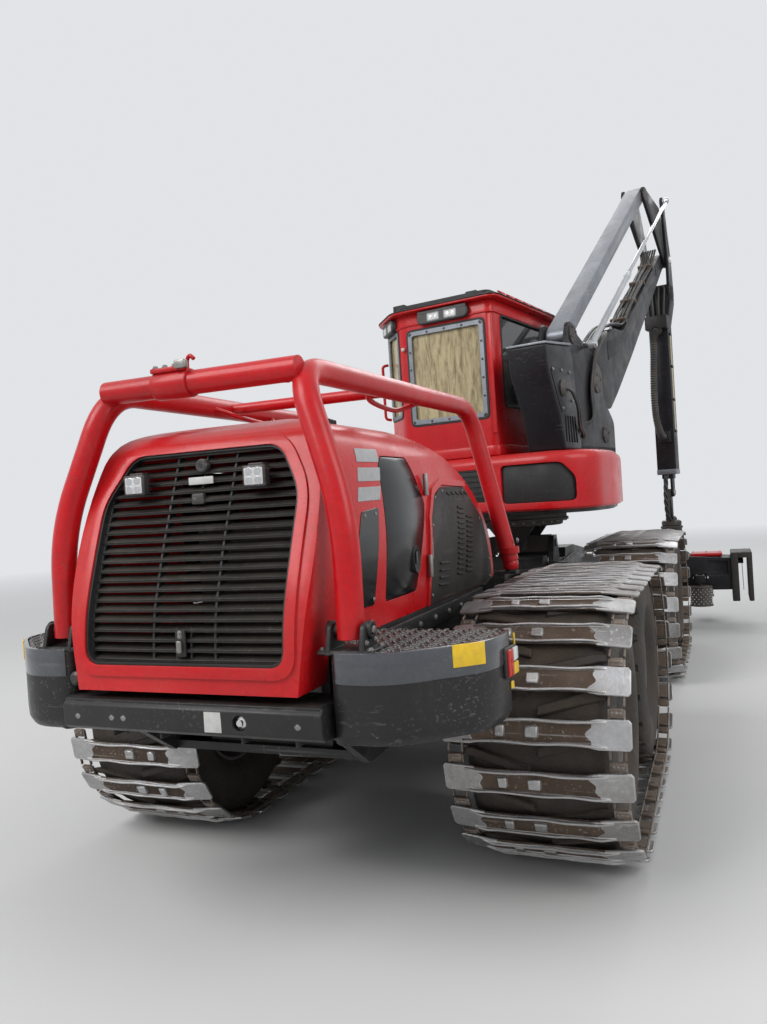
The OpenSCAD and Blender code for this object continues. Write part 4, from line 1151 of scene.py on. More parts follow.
@dataclass
class Track:
    """One track: scoured shoes over two wheels, joined by pairs of link bars.

    Attributes:
        body: Body that it rides on.
        side: 1 on the right, -1 on the left.
        count: Number of shoes.
        half: Half width of a shoe.
        reach: Half length of a shoe along the track.
        height: Height of its raised edges.
        radius: Radius of the loop's inner face.
        link_x: Middle of the links, to each side of the wheel's middle.
    """

    body: str
    side: int
    count: int = 30
    half: float = 0.445
    reach: float = 0.068
    height: float = 0.0298
    radius: float = 0.6703
    link_x: float = 0.379

    def at(self, share: float) -> Matrix:
        """The place along the loop.

        Args:
            share: From 0 to 1 round the loop.

        Returns:
            A matrix whose Y runs along the track and whose Z points away from the wheels.
        """
        straight, arc = WHEEL_GAP, math.pi * self.radius
        s = (share % 1.0) * 2 * (straight + arc)
        half = straight / 2
        if s < straight:
            y, z, turn = s - half, self.radius, 0.0
        elif s < straight + arc:
            a = (s - straight) / self.radius
            y, z, turn = half + self.radius * math.sin(a), self.radius * math.cos(a), -a
        elif s < 2 * straight + arc:
            y, z, turn = half - (s - straight - arc), -self.radius, math.pi
        else:
            a = (s - 2 * straight - arc) / self.radius
            y, z, turn = -half - self.radius * math.sin(a), -self.radius * math.cos(a), math.pi - a
        middle = Vector((self.side * WHEEL_X, BOGIES[self.body] + y, WHEEL_Z + z))
        mirror = Matrix.Scale(self.side, 4, (1, 0, 0))
        return Matrix.Translation(middle) @ Matrix.Rotation(turn, 4, "X") @ mirror

    def plate_shape(self) -> bpy.types.Object:
        """Models the shoe's plate: a dished bar with a polished paddle at each end.

        Returns:
            The object.
        """
        inner, paddle = 0.058, self.reach
        half = ((0, -inner), (0.24, -inner), (0.30, -paddle), (self.half - 0.012, -paddle),
                (self.half, -paddle + 0.014))
        right = list(half) + [(x, -y) for x, y in reversed(half)]
        left = [(-x, y) for x, y in reversed(right)]
        outline = right[:-1] + [p for p in left if p[0] < 0]
        return Bench.plan("plate", outline, 0.0, 0.0135, 0.0025, 1)

    def ridge(self, y: float) -> bpy.types.Object:
        """Models one raised edge, a long worn bar that waves and falls off towards its ends.

        Args:
            y: Its place along the track.

        Returns:
            The object.
        """
        steps = 22
        low, crest = [], []
        for k in range(steps + 1):
            x = -0.335 + 0.67 * k / steps
            fall = max(0.0, abs(x) - 0.27) * 0.16
            crest.append((x, y, self.height - fall - 0.0028 * (1 + math.sin(7.3 * k + 40 * y)) * 0.5))
            low.append((x, y, 0.006))
        bar = Bench.plate("ridge", low + crest[::-1], (0, 0.0115 if y < 0 else -0.0115, 0), 0.003, 1)
        for vertex in bar.data.vertices:
            vertex.co.y += 0.0035 * math.sin(19 * vertex.co.x + 30 * y)
        return bar

    def links(self, s: int) -> list[bpy.types.Object]:
        """Models the pair of bars to the next shoe with its block and pins on one side.

        Args:
            s: 1 at the right end, -1 at the left.

        Returns:
            The objects.
        """
        x = s * self.link_x
        made = [Bench.block("bar", (x + d - 0.005, -0.112, -0.033), (x + d + 0.005, 0.112, -0.0155), 0.003, 1)
                for d in (-0.034, 0.034)]
        made.append(Bench.block("lug", (x - 0.030, -0.05, -0.030), (x + 0.030, 0.05, -0.012), 0.004, 1))
        made.append(Bench.block("block", (x - 0.030, 0.072, -0.034), (x + 0.030, 0.116, -0.010), 0.004, 1))
        made += [Bench.rod("pin", (x + d, 0.094, -0.012), (x + d, 0.094, -0.0065), 0.0062, 0.0, 8)
                 for d in (-0.018, 0.0, 0.018)]
        return made

    @staticmethod
    def droop(part: bpy.types.Object) -> None:
        """Bends the shoe's ends down, as the ends of worn shoes are.

        Args:
            part: A part of the shoe.
        """
        for vertex in part.data.vertices:
            out = max(0.0, abs(vertex.co.x) - 0.27) / 0.175
            vertex.co.z -= 0.019 * out ** 1.3

    def shoe(self, wear: float) -> list[tuple[Paint, bpy.types.Object]]:
        """Models one shoe with its blocks and link bars.

        Args:
            wear: Moves the edge between the rust in its middle and the scoured ends.

        Returns:
            Each part with its finish.
        """
        plate = self.plate_shape()
        Bench.pick(plate)
        bpy.ops.object.duplicate()
        middle = bpy.context.active_object
        rows = [-0.1 + 0.2 * k / 20 for k in range(21)]
        right = [(0.27 + 0.018 * math.sin(31 * y + wear) + 0.010 * math.sin(97 * y + 2.3 * wear), y)
                 for y in rows]
        left = [(-0.27 - 0.018 * math.sin(29 * y + 1.7 * wear) - 0.010 * math.sin(89 * y + wear), y)
                for y in rows]
        shape = right + left[::-1]
        Bench.boolean(middle, Bench.plan("keep", shape, -0.1, 0.1, 0.0), "INTERSECT")
        Bench.boolean(plate, Bench.plan("cut", shape, -0.1, 0.1, 0.0))
        steel = [plate, self.ridge(-0.0575), self.ridge(0.0575)]
        for x, wide in ((0.0, 0.03), (-0.15, 0.022)):
            steel.append(Bench.block("stud", (x - wide, -0.026, 0.01), (x + wide, 0.026, 0.0285), 0.005, 1))
        parts = [(Paint.SHOE, Bench.join("steel", steel)), (Paint.RUSTY_PLATE, middle)]
        for _, part in parts:
            self.droop(part)
        return [*parts, (Paint.LINK, Bench.join("rusty", [b for s in (-1, 1) for b in self.links(s)]))]

    def build(self) -> None:
        """Models one shoe and lays its copies round the loop."""
        side = "right" if self.side > 0 else "left"
        piece = Piece(f"{self.body}_track_shoes_{side}", self.body, Place.VEHICLE, "worn_steel")
        start = WHEEL_GAP / 2 / (2 * (WHEEL_GAP + math.pi * self.radius))
        moves = [self.at(i / self.count + start) for i in range(self.count)]
        for first in range(3):
            for paint, part in self.shoe(1.0 + 1.9 * first):
                piece.add(paint, Bench.copies(part, moves[first::3]))
        piece.close(f"{self.body}_track_{side}", angle=40.0)


@dataclass
class Wheels:
    """The four wheels of one bogie pair: lugged tyres and dished rims with their nuts.

    Attributes:
        body: Body that they ride on.
        width: Half width of a tyre.
        rim: Radius of a rim.
        lugs: Lugs on each half of a tread.
    """

    body: str
    width: float = 0.355
    rim: float = 0.3365
    lugs: int = 22

    def tyre(self) -> bpy.types.Object:
        """Models a tyre's rounded carcass with slanted lugs and beads.

        Returns:
            The object.
        """
        w, r = self.width, TYRE_R
        profile = [(self.rim, -0.29), (self.rim + 0.03, -0.315), (self.rim + 0.06, -w + 0.012),
                   (0.45, -w + 0.001), (0.49, -w), (0.55, -w + 0.006), (0.60, -w + 0.02), (0.632, -w + 0.05),
                   (0.642, -w + 0.09), (0.648, 0.0)]
        profile += [(a, -b) for a, b in reversed(profile[:-1])]
        tyre = Bench.turned("tyre", profile, (0, 0, 0), (1, 0, 0), 48)
        lug = []
        for s in (-1, 1):
            outline = [(s * 0.02, -0.005), (s * 0.30, 0.075), (s * 0.338, 0.075), (s * 0.338, 0.115),
                       (s * 0.29, 0.125), (s * 0.02, 0.045)]
            block = Bench.plan("lug", [(x, y) for x, y in outline], 0.63, r - 0.002, 0.006, 1)
            for vertex in block.data.vertices:
                if abs(vertex.co.x) > 0.29 and vertex.co.z > 0.65:
                    vertex.co.z -= 0.022
            lug.append(Bench.copies(block,
                                    [Matrix.Rotation(math.tau * (i + 0.5 * (s > 0)) / self.lugs, 4, "X")
                                     for i in range(self.lugs)]))
        return Bench.join("tyre", [tyre, *lug])

    def disc(self) -> bpy.types.Object:
        """Models a rim with its stepped disc.

        Returns:
            The object.
        """
        r = self.rim - 0.0003
        profile = [(0.06, -0.1197), (0.20, -0.1197), (0.26, -0.08), (0.29, -0.04), (r - 0.03, -0.04),
                   (r - 0.03, -0.26), (r - 0.016, -0.29), (r, -0.29), (r, 0.29), (r - 0.016, 0.29),
                   (r - 0.03, 0.26), (r - 0.03, 0.02), (r - 0.05, -0.01), (0.28, -0.01), (0.235, -0.05),
                   (0.19, -0.09), (0.06, -0.09)]
        return Bench.turned("disc", profile, (0, 0, 0), (1, 0, 0), 40)

    def nuts(self) -> bpy.types.Object:
        """Models the ring of wheel nuts and the hub's cap.

        Returns:
            The object.
        """
        ring = [(-0.09, 0.14 * math.cos(a), 0.14 * math.sin(a))
                for a in (math.tau * k / 12 for k in range(12))]
        nuts = Bench.bolts(ring, (1, 0, 0), 0.014, 0.02)
        cap = Bench.turned("cap",
                           [(0.0, -0.085), (0.09, -0.085), (0.09, -0.05), (0.07, -0.03), (0.0, -0.025)],
                           (0, 0, 0), (1, 0, 0), 24)
        return Bench.join("nuts", [nuts, cap])

    def build(self) -> None:
        """Models one wheel and copies it to the four places."""
        places = []
        for s in (1, -1):
            for end in (-1, 1):
                move = Matrix.Translation((s * WHEEL_X, BOGIES[self.body] + end * WHEEL_GAP / 2, WHEEL_Z))
                places.append(move @ Matrix.Scale(s, 4, (1, 0, 0)))
        tyres = Piece(f"{self.body}_lugged_tyres", self.body, Place.VEHICLE, "tyre")
        tyres.add(Paint.RUBBER, Bench.copies(self.tyre(), places))
        tyres.close(f"{self.body}_tyres")
        rims = Piece(f"{self.body}_dished_rims", self.body, Place.VEHICLE, "steel_grey")
        rims.add(Paint.RIM, Bench.copies(self.disc(), places))
        rims.add(Paint.BOLT, Bench.copies(self.nuts(), places))
        rims.close(f"{self.body}_rims")


TRACKS = [Track(body, side) for body in BOGIES for side in SIDES.values()]
WHEELS = [Wheels(body) for body in BOGIES]


@dataclass
class Hood:
    """Engine hood: a crowned shell with a framed grille, hatches, dark panels and vents.

    Attributes:
        side_line: Side outline (forward, height).
        rear_line: Right half of the rear outline (right, height), from the bottom to the top.
        wall: Thickness of the shell.
        opening: Right half of the grille's opening in its red frame.
        hatch: Side outline of a hatch.
        seam: Gap round a hatch.
    """

    side_line: tuple = ((-0.085, 1.209), (-0.062, 1.50), (0.032, 1.79), (0.15, 2.08), (0.225, 2.25),
                        (0.42, 2.315), (0.75, 2.325), (1.51, 2.235), (2.03, 2.045), (2.40, 1.79),
                        (2.64, 1.50), (2.75, 1.209))
    rear_line: tuple = ((0.527, 1.208), (0.565, 1.50), (0.587, 1.79), (0.566, 2.08), (0.50, 2.23),
                        (0.38, 2.30), (0.0, 2.345))
    wall: float = 0.038
    opening: tuple = ((0.478, 1.318), (0.490, 1.99), (0.375, 2.192))
    hatch: tuple = ((0.745, 1.462), (1.15, 1.462), (1.286, 1.90), (1.13, 2.136), (0.80, 2.136), (0.735, 2.08))
    seam: float = 0.006
    faces: dict = field(default_factory=dict)

    def form(self, depth: float) -> bpy.types.Object:
        """Models the hood's whole form, its faces moved inwards by a depth.

        Args:
            depth: How far, or outwards where it is negative.

        Returns:
            A closed form.
        """
        curve = [(p.x, p.y) for p in smooth_path([(a, b, 0) for a, b in self.side_line], 4)]
        half = [(p.x, p.y) for p in smooth_path([(a, b, 0) for a, b in self.rear_line], 4)]
        outline = half + [(-a, b) for a, b in half[-2::-1]]
        side = Bench.side("form", inset(curve, depth), -0.7, 0.7, 0.0)
        rear = Bench.rear("form", inset(outline, depth), -0.3, 3.0, 0.0)
        return Bench.boolean(side, rear, "INTERSECT")

    def skin(self, proud: float, deep: float) -> bpy.types.Object:
        """Models a skin over the hood's faces, from proud of them to a depth under them.

        Args:
            proud: How far it stands out.
            deep: How far it goes in.

        Returns:
            The object.
        """
        return Bench.boolean(self.form(-proud), self.form(deep))

    def inlay(self, name: str, outline: Sequence[Point], proud: float = 0.003, corner: float = 0.02,
              mirror: bool = True) -> bpy.types.Object:
        """Models a panel that follows the hood's side.

        Args:
            name: Its name.
            outline: Its side outline (forward, height).
            proud: How far it stands out.
            corner: Radius of its corners.
            mirror: Whether the left one is made too.

        Returns:
            The panel.
        """
        key = round(proud * 1e4)
        if key not in self.faces:
            self.faces[key] = self.skin(proud, 0.012)
        Bench.pick(self.faces[key])
        bpy.ops.object.duplicate()
        skin = bpy.context.active_object
        flat = [Vector((a, b, 0)) for a, b in outline]
        if corner:
            flat = rounded(flat, corner)
        panel = Bench.boolean(Bench.side(name, [(p.x, p.y) for p in flat], 0.36, 0.8, 0.0), skin, "INTERSECT")
        Bench.bevel(panel, 0.0015, 1)
        return Bench.mirrored(panel) if mirror else panel

    @staticmethod
    def face_y(z: float) -> float:
        """Gives how far forward the grille's face lies at a height.

        Args:
            z: The height.

        Returns:
            The place along the machine.
        """
        for (z0, y0), (z1, y1) in zip(((1.209, -0.085), (1.5, -0.062), (1.79, 0.032), (2.08, 0.15)),
                                      ((1.5, -0.062), (1.79, 0.032), (2.08, 0.15), (2.4, 0.275))):
            if z < z1:
                return y0 + (y1 - y0) * (z - z0) / (z1 - z0)
        return 0.275

    @staticmethod
    def side_x(z: float) -> float:
        """Gives how far out the hood's side lies at a height.

        Args:
            z: The height.

        Returns:
            The distance from the middle.
        """
        if z < 1.79:
            return 0.527 + 0.060 * math.sin(math.pi / 2 * (z - 1.208) / 0.582)
        return 0.587 - 0.021 * ((z - 1.79) / 0.29) ** 2

    def face_slab(self, y0: float, y1: float) -> bpy.types.Object:
        """Models a slab that follows the hood's rear face between two depths.

        Args:
            y0: Depth of its rear face.
            y1: Depth of its front face.

        Returns:
            The object.
        """
        curve = [(p.x, p.y) for p in smooth_path([(a, b, 0) for a, b in self.side_line[:6]], 5)]
        outline = [(y + y0, z) for y, z in curve] + [(y + y1, z) for y, z in reversed(curve)]
        return Bench.side("slab", outline, -0.7, 0.7, 0.0)

    def rear_ring(self, half: Sequence[Point], grow: float, corner: float) -> list[tuple[float, float]]:
        """Gives a closed outline from the right half of one, grown outwards, with rounded corners.

        Args:
            half: Points of the right half.
            grow: How far it grows.
            corner: Radius of its corners.

        Returns:
            The points of the outline.
        """
        whole = list(half) + [(-x, z) for x, z in reversed(half)]
        return [(p.x, p.y) for p in rounded([(x, z, 0) for x, z in inset(whole, -grow)], corner, 6)]

    def shell(self) -> bpy.types.Object:
        """Models the red shell with its openings.

        Returns:
            The object.
        """
        shell = self.form(0.0)
        Bench.bevel(shell, 0.012, 3, 28.0)
        inner = self.form(self.wall)
        Bench.boolean(shell, inner)
        Bench.boolean(shell, Bench.rear("cut", self.rear_ring(self.opening, 0.008, 0.06), -0.3, 0.5, 0.0))
        hole = inset(self.hatch, -self.seam)
        flat = [(p.x, p.y) for p in rounded([(a, b, 0) for a, b in hole], 0.03)]
        for s in (-1, 1):
            Bench.boolean(shell, Bench.side("cut", flat, s * 0.3, s * 0.8, 0.0))
        Bench.boolean(shell, Bench.block("cut", (-0.8, 0.159, 1.0), (0.8, 3.2, 1.3503), 0.0))
        Bench.boolean(shell, Bench.block("cut", (-0.8, -0.4, 1.0), (0.8, 0.3, 1.2101), 0.0))
        return shell

    def ring(self) -> bpy.types.Object:
        """Models the proud red frame round the grille.

        Returns:
            The object.
        """
        plate = Bench.rear("ring", self.rear_ring(self.opening, 0.046, 0.10), -0.3, 0.6, 0.0)
        Bench.boolean(plate, Bench.rear("cut", self.rear_ring(self.opening, 0.0, 0.07), -0.4, 0.7, 0.0))
        ring = Bench.boolean(plate, self.face_slab(-0.011, 0.040), "INTERSECT")
        return Bench.bevel(ring, 0.009, 3, 40.0)

    def seal(self) -> bpy.types.Object:
        """Models the thin black seal inside the red frame.

        Returns:
            The object.
        """
        plate = Bench.rear("seal", self.rear_ring(self.opening, -0.0005, 0.07), -0.3, 0.6, 0.0)
        Bench.boolean(plate, Bench.rear("cut", self.rear_ring(self.opening, -0.011, 0.06), -0.4, 0.7, 0.0))
        return Bench.boolean(plate, self.face_slab(-0.002, 0.05), "INTERSECT")

    def build(self) -> None:
        """Builds the hood, its hatches, its dark panels and its vents."""
        red = Piece("hood_shell", "rear", Place.VEHICLE, "paint_red")
        red.add(Paint.RED, self.shell(), self.ring())
        lip = [(1.318, 1.352), (1.318, 1.83), (1.40, 1.975), (1.56, 2.035), (2.02, 2.02), (2.02, 1.985),
               (1.57, 1.998), (1.425, 1.945), (1.352, 1.82), (1.352, 1.352)]
        red.add(Paint.RED, self.inlay("arch", lip, 0.013, 0.008))
        red.close("engine_hood")
        for side, s in SIDES.items():
            self.build_hatch(side, s)
        dark = Piece("hood_side_panels", "rear", Place.VEHICLE, "panel")
        dark.add(Paint.GLOSS_BLACK,
                 self.inlay("corner", ((0.30, 1.47), (0.60, 1.462), (0.66, 1.90), (0.47, 1.885)), 0.004))
        for k in range(3):
            y, z = 0.445 + 0.032 * k, 1.93 + 0.088 * k
            stripe = ((y, z), (y + 0.25, z + 0.004), (y + 0.275, z + 0.066), (y + 0.024, z + 0.062))
            dark.add(Paint.STRIPE, self.inlay("stripe", stripe, 0.003, 0.006))
        vent = ((1.362, 1.354), (1.362, 1.80), (1.43, 1.925), (1.57, 1.985), (2.0, 1.985), (2.34, 1.78),
                (2.58, 1.48), (2.64, 1.354))
        dark.add(Paint.GREY, self.inlay("vent", vent, 0.006, 0.03))
        dark.add(Paint.PLASTIC, self.slots())
        dark.add(Paint.BOLT, self.latches())
        dark.close()
        for skin in self.faces.values():
            bpy.data.objects.remove(skin)
        self.faces.clear()

    def slots(self) -> bpy.types.Object:
        """Models the rows of short louvres in the vent panels and on the top.

        Returns:
            The object.
        """
        made = []
        rows = [(1.66 + 0.085 * k, 1.945, 0.055) for k in range(5)]
        rows += [(1.83 + 0.17 * c, 1.47 + 0.030 * r, 0.115) for r in range(14) for c in range(2)
                 if c == 0 or r < 12]
        rows += [(1.50, 1.44 + 0.04 * r, 0.16) for r in range(4)]
        for y, z, long in rows:
            x = self.side_x(z)
            bar = Bench.side("slot", ((y, z), (y + long, z - 0.010), (y + long, z + 0.002), (y, z + 0.012)),
                             x - 0.01, x + 0.013, 0.002, 1)
            made.append(bar)
        sides = Bench.mirrored(Bench.join("slots", made))
        top = [Bench.block("slot", (0.20, 0.62 + 0.03 * k, 2.29), (0.36, 0.636 + 0.03 * k, 2.333 - 0.002 * k),
                           0.003, 1)
               for k in range(5)]
        return Bench.join("slots", [sides, Bench.mirrored(Bench.join("slots", top))])

    def latches(self) -> bpy.types.Object:
        """Models the steel latch slot behind each hatch and screws round the dark panels.

        Returns:
            The object.
        """
        made = []
        for y, z in ((1.36, 1.66),):
            x = self.side_x(z)
            made.append(Bench.block("latch", (x, y - 0.012, z - 0.06), (x + 0.010, y + 0.012, z + 0.06),
                                    0.004))
        for y, z in ((1.40, 1.40), (1.39, 1.78), (1.46, 1.93), (1.60, 1.965), (1.98, 1.965), (2.28, 1.78),
                     (2.52, 1.50), (2.58, 1.38), (0.34, 1.49), (0.58, 1.49), (0.62, 1.87), (0.50, 1.865)):
            made.append(Bench.bolts([(self.side_x(z) + 0.004, y, z)], (1, 0, 0), 0.008, 0.005))
        return Bench.mirrored(Bench.join("latches", made))

    def build_hatch(self, side: str, s: int) -> None:
        """Builds one hatch.

        Args:
            side: Its name.
            s: 1 on the right, -1 on the left.
        """
        outline = [(p.x, p.y) for p in rounded([(a, b, 0) for a, b in self.hatch], 0.028)]
        plate = Bench.side("hatch", outline, 0.3, 0.8, 0.0)
        panel = Bench.boolean(plate, self.skin(0.0, self.wall), "INTERSECT")
        Bench.bevel(panel, 0.003, 2)
        piece = Piece(f"hatch_panel_{side}", f"hatch_{side}", Place.VEHICLE, "panel")
        rim = inset(outline, 0.022)
        ring = Bench.side("trim", rim, 0.3, 0.8, 0.0)
        Bench.boolean(ring, Bench.side("cut", inset(outline, 0.030), 0.2, 0.9, 0.0))
        trim = Bench.boolean(ring, self.skin(0.0015, 0.01), "INTERSECT")
        well = Bench.turned("handle",
                            [(0.0, -0.004), (0.030, -0.004), (0.038, 0.003), (0.046, 0.005), (0.048, 0.0),
                             (0.048, -0.012), (0.0, -0.012)], (0, 0, 0), (1, 0, 0), 28)
        well.data.transform(Matrix.Translation((self.side_x(1.62) + 0.001, 1.13,
                                                1.62)) @ Matrix.Scale(1.5, 4, (0, 0, 1)))
        grip = Bench.block("grip", (0, 1.118, 1.60), (0.006, 1.142, 1.66), 0.003)
        grip.data.transform(Matrix.Translation((self.side_x(1.62), 0, 0)))
        pins = [Bench.rod("pin", (0.595, 1.30, z - 0.058), (0.595, 1.30, z + 0.058), 0.0138, 0.003, 16)
                for z in (1.57, 2.0)]
        parts = {Paint.GLOSS_BLACK: [panel], Paint.PLASTIC: [trim, well], Paint.LAMP_CASE: [grip],
                 Paint.BOLT: pins}
        for paint, objects in parts.items():
            for obj in objects:
                piece.add(paint, Bench.copies(obj, [Matrix.Scale(s, 4, (1, 0, 0))]))
        piece.close(f"hatch_{side}")


@dataclass
class Grille:
    """The hood's grille: bowed slats, ribs, latch, work lamps and camera.

    Attributes:
        count: Number of slats.
        low: Height of the lowest slat.
        high: Height of the highest slat.
        half: Half width of the slats.
        lamp_x: Middle of the lamps, to each side.
    """

    count: int = 22
    low: float = 1.337
    high: float = 2.177
    half: float = 0.492
    lamp_x: float = 0.30

    def slat(self, z: float) -> bpy.types.Object:
        """Models one folded slat at a height, a little bowed.

        Args:
            z: The height.

        Returns:
            The object.
        """
        half = self.half - max(0.0, z - 1.99) * 0.52
        y = Hood.face_y(z) + 0.014
        steps = 14
        front = []
        for k in range(steps + 1):
            x = -half + 2 * half * k / steps
            front.append((x, y - 0.010 * (1 - (x / half) ** 2) + 0.004))
        outline = front + [(x, b + 0.044) for x, b in reversed(front)]
        blade = Bench.plan("blade", outline, z - 0.0025, z + 0.0025, 0.0)
        for vertex in blade.data.vertices:
            if vertex.co.y > y + 0.02:
                vertex.co.z += 0.019
        lip = Bench.plan("lip", front + [(x, b + 0.005) for x, b in reversed(front)], z - 0.0075, z + 0.0045,
                         0.0018, 1)
        return Bench.join("slat", [blade, lip])

    def rib(self, x: float, thick: float, z0: float, z1: float) -> bpy.types.Object:
        """Models an upright rib between two heights that follows the face.

        Args:
            x: Its place across.
            thick: Its thickness.
            z0: Its lower end.
            z1: Its upper end.

        Returns:
            The object.
        """
        steps = [z0 + (z1 - z0) * k / 8 for k in range(9)]
        outline = [(Hood.face_y(z) + 0.020, z) for z in steps] + [(Hood.face_y(z) + 0.062, z)
                                                                  for z in reversed(steps)]
        return Bench.side("rib", outline, x - thick / 2, x + thick / 2, 0.002, 1)

    def lamp(self, x: float) -> list[tuple[Paint, bpy.types.Object]]:
        """Models a square work lamp with four cells, cooling fins and its bracket.

        Args:
            x: Its middle.

        Returns:
            Each part with its finish.
        """
        y0, y1, z0, z1 = 0.071, 0.139, 2.018, 2.102
        case = Bench.block("case", (x - 0.052, y0 + 0.006, z0), (x + 0.052, y1 - 0.02, z1), 0.010, 3)
        rim = Bench.block("rim", (x - 0.054, y0 + 0.002, z0 - 0.003), (x + 0.054, y0 + 0.022, z1 + 0.003),
                          0.008, 3)
        fins = [Bench.block("fin", (x - 0.045, y1 - 0.03, z0 + 0.006 + 0.012 * k),
                            (x + 0.045, y1, z0 + 0.010 + 0.012 * k), 0.001, 1) for k in range(7)]
        lens = Bench.block("lens", (x - 0.045, y0, z0 + 0.006), (x + 0.045, y0 + 0.014, z1 - 0.006), 0.006, 2)
        cells = [Bench.turned("cell",
                              [(0.0, 0.0), (0.017, 0.0), (0.019, 0.004), (0.012, 0.009), (0.0, 0.010)],
                              (x + dx, y0 - 0.0005, (z0 + z1) / 2 + dz), (0, 1, 0), 16)
                 for dx in (-0.021, 0.021) for dz in (-0.018, 0.018)]
        bracket = Bench.block("bracket", (x - 0.034, y0 + 0.022, z1 - 0.004), (x + 0.034, y1, z1 + 0.012),
                              0.003)
        return [(Paint.LAMP_CASE, Bench.join("case", [case, rim, *fins, bracket])), (Paint.LENS, lens),
                (Paint.CHROME, Bench.join("cells", cells))]

    def build(self) -> None:
        """Builds the grille, its lamps and its camera."""
        piece = Piece("hood_grille", "rear", Place.VEHICLE, "panel")
        slats = [self.slat(self.low + (self.high - self.low) * i / (self.count - 1))
                 for i in range(self.count)]
        ribs = [self.rib(s * 0.15, 0.012, 1.33, 2.18) for s in (-1, 1)]
        ribs += [self.rib(s * 0.470, 0.016, 1.36, 2.0) for s in (-1, 1)]
        ribs += [self.rib(0.0, 0.01, 2.03, 2.18), self.rib(-0.035, 0.01, 1.33, 1.47),
                 self.rib(0.035, 0.01, 1.33, 1.47)]
        piece.add(Paint.SLAT, Bench.join("slats", slats))
        piece.add(Paint.PLASTIC, Bench.join("ribs", ribs), Hood().seal())
        y = Hood.face_y(1.40) - 0.004
        plate = Bench.block("plate", (-0.024, y, 1.352), (0.024, y + 0.012, 1.462), 0.006)
        lever = Bench.block("lever", (-0.012, y - 0.014, 1.37), (0.012, y, 1.42), 0.005, 3)
        piece.add(Paint.PLASTIC, plate)
        piece.add(Paint.BOLT, lever, Bench.bolts([(0, y, 1.45), (0, y, 1.436)], (0, -1, 0), 0.008, 0.006))
        badge = Bench.block("badge", (-0.062, 0, 2.046), (0.062, 0.008, 2.078), 0.003)
        badge.data.transform(Matrix.Translation((0, Hood.face_y(2.062) - 0.004, 0)))
        piece.add(Paint.BLANK, badge)
        box = Bench.block("box", (-0.030, Hood.face_y(1.985) - 0.004, 1.962),
                          (0.030, Hood.face_y(1.985) + 0.02, 2.008), 0.006)
        piece.add(Paint.LAMP_CASE, box)
        piece.close("grille")
        lamps = Piece("rear_work_lamps", "rear", Place.VEHICLE, "lamp")
        for s in (-1, 1):
            for paint, part in self.lamp(s * self.lamp_x):
                lamps.add(paint, part)
        body = [(0.0, 0.002), (0.012, 0.002), (0.014, 0.0), (0.024, 0.0), (0.0295, 0.006), (0.0295, 0.0295),
                (0.0, 0.0295)]
        lamps.add(Paint.LAMP_CASE, Bench.turned("camera", body, (0, 0.1453, 2.125), (0, 1, 0), 24))
        lamps.add(Paint.DARK_GLASS,
                  Bench.turned("eye", [(0.0, -0.003), (0.009, -0.001), (0.012, 0.003), (0.0, 0.004)],
                               (0, 0.1473, 2.125), (0, 1, 0), 20))
        for paint, part in TailLamps().parts():
            lamps.add(paint, part)
        lamps.close("rear_lamps")


@dataclass
class TailLamps:
    """The tail lamps and reflectors on the bumper's side faces.

    Attributes:
        start: Rear corner of the right side face.
        end: Its front corner.
        low: Underside of the lamps.
        high: Their top.
    """

    start: Point = (1.185, 0.256)
    end: Point = (1.21, 0.54)
    low: float = 1.19
    high: float = 1.31

    def on_side(self) -> Matrix:
        """The right side face's axes: X forward along it, Y inwards.

        Returns:
            A matrix.
        """
        along = (Vector((*self.end, 0)) - Vector((*self.start, 0))).normalized()
        turn = math.atan2(along.y, along.x)
        return Matrix.Translation((*self.start, 0)) @ Matrix.Rotation(turn, 4, "Z")

    def parts(self) -> list[tuple[Paint, bpy.types.Object]]:
        """Models a case with a red and a clear lens, one on each side.

        Returns:
            Each part with its finish.
        """
        case = Bench.block("case", (0.13, -0.016, self.low), (0.255, -0.0003, self.high), 0.004)
        red = Bench.block("red", (0.135, -0.0262, self.low + 0.006), (0.19, -0.014, self.high - 0.006), 0.006,
                          3)
        clear = Bench.block("clear", (0.195, -0.0262, self.low + 0.06), (0.25, -0.014, self.high - 0.006),
                            0.006, 3)
        amber = Bench.block("amber", (0.195, -0.0262, self.low + 0.006), (0.25, -0.014, self.low + 0.055),
                            0.006, 3)
        made = []
        for paint, obj in ((Paint.LAMP_CASE, case), (Paint.RED_LENS, red), (Paint.LENS, clear),
                           (Paint.YELLOW, amber)):
            obj.data.transform(self.on_side())
            made.append((paint, Bench.mirrored(obj)))
        return made


